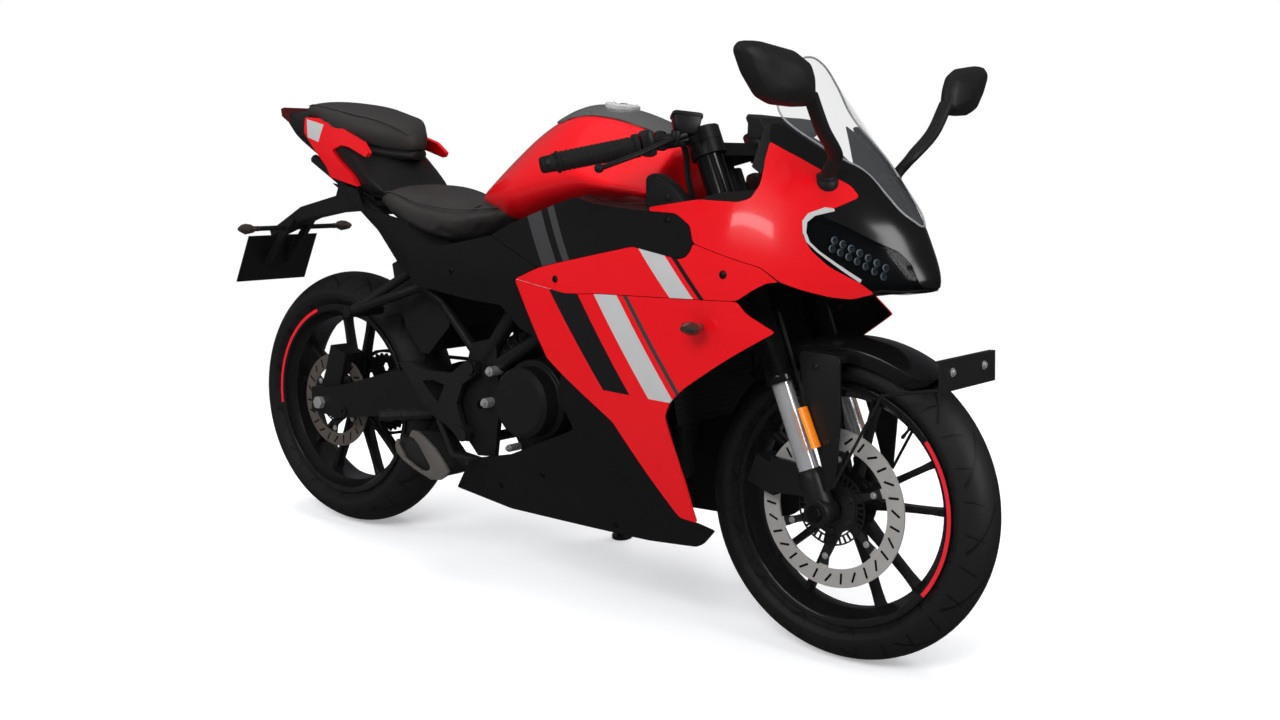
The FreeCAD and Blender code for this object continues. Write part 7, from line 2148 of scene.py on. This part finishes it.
@dataclass(frozen=True)
class Trim:
    """Small fittings: reflectors, bolts, the brake hose, the tank's front trims and the muffler's shield."""

    def build(self) -> list[Thing]:
        """Returns the fittings."""
        return [self._reflectors(), self._bolts(), self._fasteners(), self._hoses(), self._plate_bolts(),
                self._tank_trims(), self._muffler_shield()]

    def _reflectors(self) -> Thing:
        """An amber pill on the outside of each fork leg, with a painted glow.

        Returns:
            Both reflectors.
        """
        bm = bmesh.new()
        for side in SIDES:
            top, low = spot(643, side * 122.0, 480), spot(676, side * 122.0, 412)
            swept(bm, [low, low.lerp(top, 0.33), low.lerp(top, 0.66), top], 0.0135, 20, 0.42)
        # The amber finish paints a glow onto the reflectors.
        return piece(bm, "fork_reflectors", Body.STEERING, [AMBER], "amber_lens", crease=60.0)

    def _bolts(self) -> Thing:
        """Button-headed bolts along the seams of the panels.

        Returns:
            The bolts.
        """
        bm = bmesh.new()
        spots = ((538, 713, on_nose), (132, 668, on_flank), (400, 800, on_nose), (-84, 209, on_flank),
                 (57, 261, on_flank), (242, 190, on_flank), (-190, 655, on_flank))
        for x, z, lift in spots:
            for side in SIDES:
                here, ahead, above = lift(x, z), lift(x + 4.0, z), lift(x, z + 4.0)
                way = (ahead - here).cross(above - here).normalized()
                if way.y > 0:
                    way.negate()
                middle = Vector((here.x, here.y * -side, here.z))
                out = Vector((way.x, way.y * -side, way.z))
                turned(bm, ((0.0, 0.0013), (0.0026, 0.0013), (0.0028, 0.0024), (0.0058, 0.002), (0.0072, 0.0008),
                            (0.0074, -0.002)), middle, out, steps=20)
        return piece(bm, "panel_bolts", Body.CHASSIS, [DARK_STEEL], "axle_steel", crease=40.0)

    @staticmethod
    def _tank_trims() -> Thing:
        """The dark trims at the tank's front corners.

        Returns:
            Both trims.
        """
        bm = bmesh.new()
        outline = metres(rounded(((316, 800), (404, 796), (402, 834), (374, 860), (334, 880), (312, 872)), 9.0, 4))
        for side in SIDES:
            low, high = sorted((side * 0.147, side * 0.176))
            plated(bm, outline, low, high, 0.005, 3)
            turned(bm, (*SMALL_BOLT, (0.0068, -0.002)), spot(368, side * 176, 836), Vector((0.0, side, 0.0)),
                   steps=18)
        return piece(bm, "tank_front_trims", Body.CHASSIS, [MATT_BLACK], "matt_plastic", crease=40.0)

    @staticmethod
    def _muffler_shield() -> Thing:
        """The grey shield that runs along the muffler's outer side.

        Returns:
            The shield.
        """
        bm = bmesh.new()
        outer = ((-306, 299), (-288, 299), (-267, 288), (-235, 269), (-210, 246), (-192, 226), (-202, 214),
                 (-218, 204), (-245, 200), (-282, 210), (-311, 220), (-335, 230), (-353, 242), (-359, 256),
                 (-355, 272))
        inner = ((-345, 274), (-348, 261), (-337, 248), (-327, 235), (-301, 224), (-275, 216), (-259, 216),
                 (-248, 224), (-250, 231), (-268, 252), (-284, 270), (-299, 281), (-315, 285))
        plated(bm, metres(outer + inner), -0.177, -0.168, 0.002, 2)
        return piece(bm, "muffler_shield", Body.CHASSIS, [SHIELD_GREY], "exhaust_steel", crease=40.0)

    @staticmethod
    def _fasteners() -> Thing:
        """Bright flanged bolts of the pivot and the engine's foot.

        Returns:
            The bolts.
        """
        places = ((-101, -150, 451, 6.5), (-113, -150, 383, 6.5), (-62, -128, 292, 5.0), (-101, 150, 451, 6.5),
                  (-113, 150, 383, 6.5))
        bm = bmesh.new()
        for x, y, z, radius in places:
            side = 1.0 if y > 0 else -1.0
            r = radius * MM
            head = ((0.0, 0.0095), (r * 0.7, 0.0095), (r * 0.95, 0.008), (r, 0.003), (r * 1.55, 0.0024),
                    (r * 1.6, 0.0), (r * 1.6, -0.03), (0.0, -0.03))
            turned(bm, head, spot(x, y, z), Vector((0.0, side, 0.0)), steps=18)
        return piece(bm, "bright_fasteners", Body.CHASSIS, [STEEL], "axle_steel", crease=40.0)

    def _hoses(self) -> Thing:
        """The brake hose from the right fork leg down to the caliper, held by clips.

        Returns:
            The hose.
        """
        bm = bmesh.new()
        swept(bm, [spot(560, -88, 640), spot(590, -82, 560), spot(628, -84, 470), spot(632, -86, 400),
                   spot(612, -84, 352)],
              0.004, 14)
        for point, nxt in ((spot(604, -83, 530), spot(612, -83, 508)), (spot(631, -85, 425), spot(632, -85, 405))):
            turned(bm, ((0.0042, -0.006), (0.0066, -0.006), (0.0066, 0.006), (0.0042, 0.006)), point,
                   (nxt - point).normalized(), steps=20, closed=True)
        return piece(bm, "front_brake_hose", Body.STEERING, [RUBBER], "satin_black", crease=50.0)

    def _plate_bolts(self) -> Thing:
        """The two bolts that hold the front plate.

        Returns:
            Both bolts.
        """
        head = ((0.0, 0.0042), (0.0045, 0.0042), (0.0052, 0.0034), (0.0052, 0.0012), (0.0078, 0.0008),
                (0.0078, -0.003), (0.0, -0.003))
        bm = bmesh.new()
        for side in SIDES:
            turned(bm, head, spot(898.0, side * 60.0, 569.0), AHEAD, steps=18)
        return piece(bm, "plate_bolts", Body.STEERING, [STEEL], "axle_steel", crease=40.0)


@dataclass(frozen=True)
class Controls:
    """Levers, perches, switch pods, the brake reservoir, the grips' ribs and the cables of both bars."""

    grip_end: Triple = BAR_END
    grip_root: Triple = (334.0, 220.0, 929.0)

    def build(self) -> list[Thing]:
        """Builds the moulded and metal parts, the rubber and the cables.

        Returns:
            The three pieces.
        """
        hard, soft, cable = bmesh.new(), bmesh.new(), bmesh.new()
        for side in SIDES:
            end, root = (spot(p[0], side * p[1], p[2]) for p in (self.grip_end, self.grip_root))
            way = (root - end).normalized()
            self._grip(soft, end, way, (root - end).length)
            self._lever(hard, side)
            self._pods(hard, root, way, side)
            for shift in (0.0, 9.0):
                swept(cable, [spot(356, side * (196 - shift), 926), spot(374, side * (158 - shift), 934),
                              spot(372, side * (136 - shift), 912), spot(378, side * (134 - shift), 868),
                              spot(396, side * (132 - shift), 812)], 0.0032, 10)
        return [piece(hard, "levers_and_pods", Body.STEERING, [SATIN_BLACK], "satin_black", ["hand_controls"],
                      crease=40.0),
                piece(soft, "grip_ribs", Body.STEERING, [RUBBER], "satin_black", crease=35.0),
                piece(cable, "bar_cables", Body.STEERING, [RUBBER], "satin_black", crease=50.0)]

    @staticmethod
    def _grip(bm: BMesh, end: Vector, way: Vector, length: float) -> None:
        """The grip's collars, its ribs and the weight in its end.

        Args:
            bm: The mesh to add to.
            end: The grip's outer end.
            way: The bar's direction inwards.
            length: The grip's length.
        """
        weight = ((0.0, -0.024), (0.0125, -0.024), (0.015, -0.021), (0.0158, 0.004), (0.02, 0.006), (0.02, 0.01),
                  (0.0172, 0.012))
        ribs = [(r, 0.012 + (length - 0.03) * (n + share) / 14) for n in range(14)
                for r, share in ((0.0172, 0.1), (0.0184, 0.3), (0.0184, 0.7), (0.0172, 0.9))]
        root = ((0.0172, length - 0.014), (0.0215, length - 0.012), (0.0215, length - 0.004),
                (0.0, length - 0.003))
        turned(bm, [*weight, *ribs, *root], end, way, steps=40)

    @staticmethod
    def _lever(bm: BMesh, side: float) -> None:
        """A lever from its pivot, ahead of the grip, out to its ball.

        Args:
            bm: The mesh to add to.
            side: -1 for the right bar, 1 for the left.
        """
        path = [spot(398, side * 196, 944), spot(398, side * 226, 937), spot(384, side * 280, 916),
                spot(360, side * 326, 897), spot(349, side * 340, 890)]
        swept(bm, path, 0.0066, 16, 0.72)
        bmesh.ops.create_uvsphere(bm, u_segments=20, v_segments=12, radius=0.0085,
                                  matrix=Matrix.Translation(spot(345, side * 346, 888)))
        pivot = ((0.0, -0.013), (0.0085, -0.013), (0.0095, -0.011), (0.0095, 0.011), (0.0085, 0.013), (0.0, 0.013))
        turned(bm, pivot, spot(398, side * 200, 944), Vector((0.15, 0.0, 1.0)), steps=28)

    @staticmethod
    def _pods(bm: BMesh, root: Vector, way: Vector, side: float) -> None:
        """The perch clamped to a bar, its switch pod and, on the right, the brake reservoir.

        Args:
            bm: The mesh to add to.
            root: The grip's inner end.
            way: The bar's direction inwards.
            side: -1 for the right bar, 1 for the left.
        """
        perch = ((0.017, 0.019), (0.02, 0.023), (0.021, 0.024), (0.021, 0.024), (0.018, 0.021))
        pod = ((0.014, 0.015), (0.016, 0.018), (0.016, 0.018), (0.014, 0.015))
        for start, sizes in ((0.0, perch), (0.03, pod)):
            lofted(bm, [ring_of(aimed(root + way * (start + 0.006 * n), way), a, b, 0.006)
                        for n, (a, b) in enumerate(sizes)])
        arm = [root + way * 0.02, root + way * 0.02 + Vector((0.03, 0.0, 0.008)), spot(398, side * 198, 944)]
        swept(bm, arm, 0.0105, 16, 0.8)
        if side > 0:
            return
        base = spot(404, -178, 966)
        up = Vector((-0.2, 0.3, 1.0)).normalized()
        along = (Vector((0.036, 0.04, 0.0)) - up * Vector((0.036, 0.04, 0.0)).dot(up)).normalized()
        frame_of = Matrix((along, up.cross(along), up)).transposed().to_4x4()
        rows = ((-0.016, 0.016, 0.011), (-0.01, 0.022, 0.014), (0.004, 0.025, 0.016), (0.014, 0.026, 0.017),
                (0.0145, 0.028, 0.019), (0.0195, 0.028, 0.019), (0.0215, 0.026, 0.017))
        lofted(bm, [ring_of(Matrix.Translation(base + up * h) @ frame_of, a, b, 0.007) for h, a, b in rows])
        swept(bm, [spot(400, -196, 946), base - up * 0.016], 0.0085, 16)


FRAME_PIECES = tuple(FramePiece(*row) for row in (
    ("rear_sprocket", Body.REAR_WHEEL, DARK_STEEL, "chain_steel", 40.0, 0.0006),
    ("chain", Body.CHASSIS, DARK_STEEL, "chain_steel"),
    ("fork_clamps", Body.STEERING, SATIN_BLACK, "satin_black", 35.0),
    ("handlebars", Body.STEERING, SATIN_BLACK, "satin_black", 35.0),
    ("front_axle", Body.STEERING, DARK_STEEL, "axle_steel", 35.0),
    ("rear_axle", Body.CHASSIS, STEEL, "axle_steel", 35.0),
    ("front_caliper", Body.STEERING, SATIN_BLACK, "satin_black", 35.0, 0.006),
    ("front_plate", Body.STEERING, MATT_BLACK, "blank_plate"),
    ("instruments", Body.CHASSIS, MATT_BLACK, "matt_plastic", 35.0, 0.003),
    ("frame", Body.CHASSIS, SATIN_BLACK, "satin_black"),
    ("subframe", Body.CHASSIS, SATIN_BLACK, "satin_black"),
    ("swingarm", Body.CHASSIS, SATIN_BLACK, "satin_black", 35.0, 0.003),
    ("rear_shock", Body.CHASSIS, SATIN_BLACK, "satin_black", 35.0),
    ("engine", Body.CHASSIS, ALLOY, "engine_alloy", 35.0, 0.003),
    ("engine_covers", Body.CHASSIS, SATIN_BLACK, "satin_black", 35.0, 0.003),
    ("radiator", Body.CHASSIS, COOLER, "radiator_alloy", 35.0),
    ("exhaust", Body.CHASSIS, HEAT_SHIELD, "exhaust_steel", 50.0, 0.002),
    ("footrests", Body.CHASSIS, ALLOY, "foot_alloy", 40.0, 0.0015),
    ("inner_mudguard", Body.CHASSIS, MATT_BLACK, "matt_plastic", 35.0, 0.003),
    ("plate_hanger", Body.CHASSIS, MATT_BLACK, "matt_plastic"),
    ("indicators", Body.CHASSIS, SMOKE_AMBER, "amber_lens"),
    ("sprocket_cover", Body.CHASSIS, MATT_BLACK, "matt_plastic", 35.0, 0.002),
    ("rear_caliper", Body.CHASSIS, SATIN_BLACK, "satin_black", 35.0, 0.006),
    ("side_stand", Body.STAND, SATIN_BLACK, "satin_black"),
))


# Studio

@dataclass(frozen=True)
class Light:
    """One soft rectangular light of the studio."""

    name: str
    place: Triple
    aim: Triple
    size: Pair
    power: float
    mirrored: bool = False

    def build(self) -> None:
        """Adds the light, which shows in mirror-like surfaces only where it is said to be mirrored."""
        data = bpy.data.lights.new(self.name, "AREA")
        data.shape = "RECTANGLE"
        data.size, data.size_y = self.size
        data.energy = self.power
        light = bpy.data.objects.new(self.name, data)
        light.location = self.place
        light.visible_glossy = self.mirrored
        light.rotation_euler = (Vector(self.aim) - Vector(self.place)).to_track_quat("-Z", "Y").to_euler()
        bpy.context.scene.collection.objects.link(light)


LIGHTS = (
    Light("key", (1.2, -3.4, 3.6), (0.0, 0.0, 0.5), (2.6, 1.6), 120.0),
    Light("side", (3.8, -0.2, 2.0), (0.2, 0.0, 0.6), (0.8, 2.2), 36.0, True),
    Light("rear", (-3.4, -2.4, 2.4), (-0.2, 0.0, 0.6), (1.6, 1.6), 50.0),
    Light("top", (-0.2, 0.8, 4.2), (0.0, 0.0, 0.4), (4.5, 2.6), 150.0),
    Light("strip", (0.4, -3.6, 2.9), (0.0, 0.0, 0.6), (3.2, 0.35), 18.0, True),
)


@dataclass(frozen=True)
class Studio:
    """Pale floor, white surround, soft lights and the camera."""

    eye: Triple = (2017.6, -2323.3, 962.8)
    azimuth: float = -51.59
    elevation: float = 8.98
    roll: float = 1.91
    lens: float = 41.625
    sensor: float = 36.0
    floor_half: float = 30.0
    shadow_kept: float = 1.15
    shadow_gone: float = 1.95

    def build(self) -> None:
        """Sets up everything that isn't part of the machine."""
        bpy.context.scene.view_settings.view_transform = "Standard"
        self._camera()
        self._floor()
        self._surround()
        for light in LIGHTS:
            light.build()

    def _camera(self) -> None:
        """The camera at the photograph's place, leaned along with the machine."""
        az, el, roll = (math.radians(v) for v in (self.azimuth, self.elevation, self.roll))
        back = Vector((math.cos(el) * math.cos(az), math.cos(el) * math.sin(az), math.sin(el)))
        right = (-back).cross(UPWARD).normalized()
        up = right.cross(-back)
        across = right * math.cos(roll) + up * math.sin(roll)
        upward = up * math.cos(roll) - right * math.sin(roll)
        turn = Matrix((across, upward, back)).transposed().to_4x4()
        data = bpy.data.cameras.new("view")
        data.lens = self.lens
        data.sensor_width = self.sensor
        data.clip_end = 100.0
        view = bpy.data.objects.new("view", data)
        view.matrix_world = PARK @ Matrix.Translation(spot(*self.eye)) @ turn
        bpy.context.scene.collection.objects.link(view)
        bpy.context.scene.camera = view

    def _floor(self) -> None:
        """A wide pale floor that keeps the machine's soft shadow and fades into the white surround."""
        bm = bmesh.new()
        bmesh.ops.create_grid(bm, x_segments=2, y_segments=2, size=self.floor_half)
        mesh = bpy.data.meshes.new("floor")
        bm.to_mesh(mesh)
        bm.free()
        floor = bpy.data.objects.new("floor", mesh)
        bpy.context.scene.collection.objects.link(floor)
        mesh.materials.append(self._floor_material())

    def _floor_material(self) -> bpy.types.Material:
        """Builds the floor's finish.

        Returns:
            A material that is white with the shadow to the camera, pale to scattered light and dark to mirror-like
            reflections.
        """
        material = bpy.data.materials.new("studio_floor")
        material.use_nodes = True
        tree = material.node_tree
        tree.nodes.remove(tree.nodes["Principled BSDF"])
        shade = self._shader(tree, "BsdfDiffuse", (0.82, 0.82, 0.83))
        lift = self._shader(tree, "Emission", (0.3, 0.3, 0.305))
        white = self._shader(tree, "Emission", (1.0, 1.0, 1.0))
        pale = self._shader(tree, "BsdfDiffuse", (0.6, 0.6, 0.6))
        dark = self._shader(tree, "Emission", (0.05, 0.05, 0.055))
        near = tree.nodes.new("ShaderNodeAddShader")
        fed(tree, near.inputs[0], shade)
        fed(tree, near.inputs[1], lift)
        reach = tree.nodes.new("ShaderNodeVectorMath")
        reach.operation = "LENGTH"
        fed(tree, reach.inputs[0], tree.nodes.new("ShaderNodeTexCoord").outputs["Object"])
        fade = node(tree, "MapRange", From_Min=self.shadow_kept, From_Max=self.shadow_gone,
                    Value=reach.outputs["Value"])
        fade.interpolation_type = "SMOOTHSTEP"
        rays = tree.nodes.new("ShaderNodeLightPath")
        seen = self._between(tree, fade.outputs["Result"], near.outputs["Shader"], white)
        unseen = self._between(tree, rays.outputs["Is Glossy Ray"], pale, dark)
        both = self._between(tree, rays.outputs["Is Camera Ray"], unseen, seen)
        fed(tree, tree.nodes["Material Output"].inputs["Surface"], both)
        return material

    @staticmethod
    def _shader(tree: Tree, kind: str, colour: Triple) -> Socket:
        """One shader of a plain colour.

        Args:
            tree: The node tree.
            kind: The shader's node type, without the words in front that all have.
            colour: Its colour.

        Returns:
            The shader's output.
        """
        return node(tree, kind, Color=(*colour, 1.0)).outputs[0]

    @staticmethod
    def _between(tree: Tree, factor: Socket, first: Socket,
                 second: Socket) -> Socket:
        """A mix of two shaders.

        Args:
            tree: The node tree.
            factor: 0 for the first, 1 for the second.
            first: A shader.
            second: A shader.

        Returns:
            The mixed shader.
        """
        mix = tree.nodes.new("ShaderNodeMixShader")
        for slot, value in zip(mix.inputs, (factor, first, second)):
            fed(tree, slot, value)
        return mix.outputs["Shader"]

    def _surround(self) -> None:
        """White to the camera, soft grey to scattered light and darker to mirror-like reflections."""
        world = bpy.data.worlds.new("studio")
        bpy.context.scene.world = world
        world.use_nodes = True
        tree = world.node_tree
        seen = tree.nodes["Background"]
        seen.inputs["Color"].default_value = (1.0, 1.0, 1.0, 1.0)
        lit = self._shader(tree, "Background", (0.36, 0.37, 0.39))
        mirrored = self._shader(tree, "Background", (0.09, 0.092, 0.1))
        rays = tree.nodes.new("ShaderNodeLightPath")
        unseen = self._between(tree, rays.outputs["Is Glossy Ray"], lit, mirrored)
        both = self._between(tree, rays.outputs["Is Camera Ray"], unseen, seen.outputs["Background"])
        fed(tree, tree.nodes["World Output"].inputs["Surface"], both)


FRONT_WHEEL = Wheel("front", Body.FRONT_WHEEL, FRONT_AXLE, 0.293, 0.11, 0.084, FRONT_TREAD, 0.06, 0.06,
                    (-36.0, 41.0))
REAR_WHEEL = Wheel("rear", Body.REAR_WHEEL, REAR_AXLE, 0.3, 0.14, 0.116, REAR_TREAD, 0.081, 0.067,
                   (113.0, 190.0))
FRONT_BRAKE = Disc("front_disc", Body.FRONT_WHEEL, FRONT_AXLE, 0.06, 0.147, 0.034, FRONT_DISC, 30)
REAR_BRAKE = Disc("rear_disc", Body.REAR_WHEEL, REAR_AXLE, 0.067, 0.11, 0.03, REAR_DISC, 22)
RIDER_SEAT = Seat("rider_cushion", "rider_seat", RIDER_ROWS, 0.86, (-200.0,))
PILLION_SEAT = Seat("pillion_cushion", "pillion_seat", PILLION_ROWS, 0.84, ())


def main() -> None:
    """Builds the machine piece by piece, then the studio round it."""
    for carried in FRAME_PIECES:
        carried.build()
    for part in (FRONT_WHEEL, REAR_WHEEL, Fork(), FrontMudguard(), Fairing(), Lamps(), Screen(), Tank(), Tail(),
                 RIDER_SEAT, PILLION_SEAT, Mirrors(), Controls(), Trim(), FRONT_BRAKE, REAR_BRAKE):
        LOG.info("%s: %d pieces", type(part).__name__, len(part.build()))
    Studio().build()


if __name__ == "__main__":
    logging.basicConfig(level=logging.INFO)
    main()
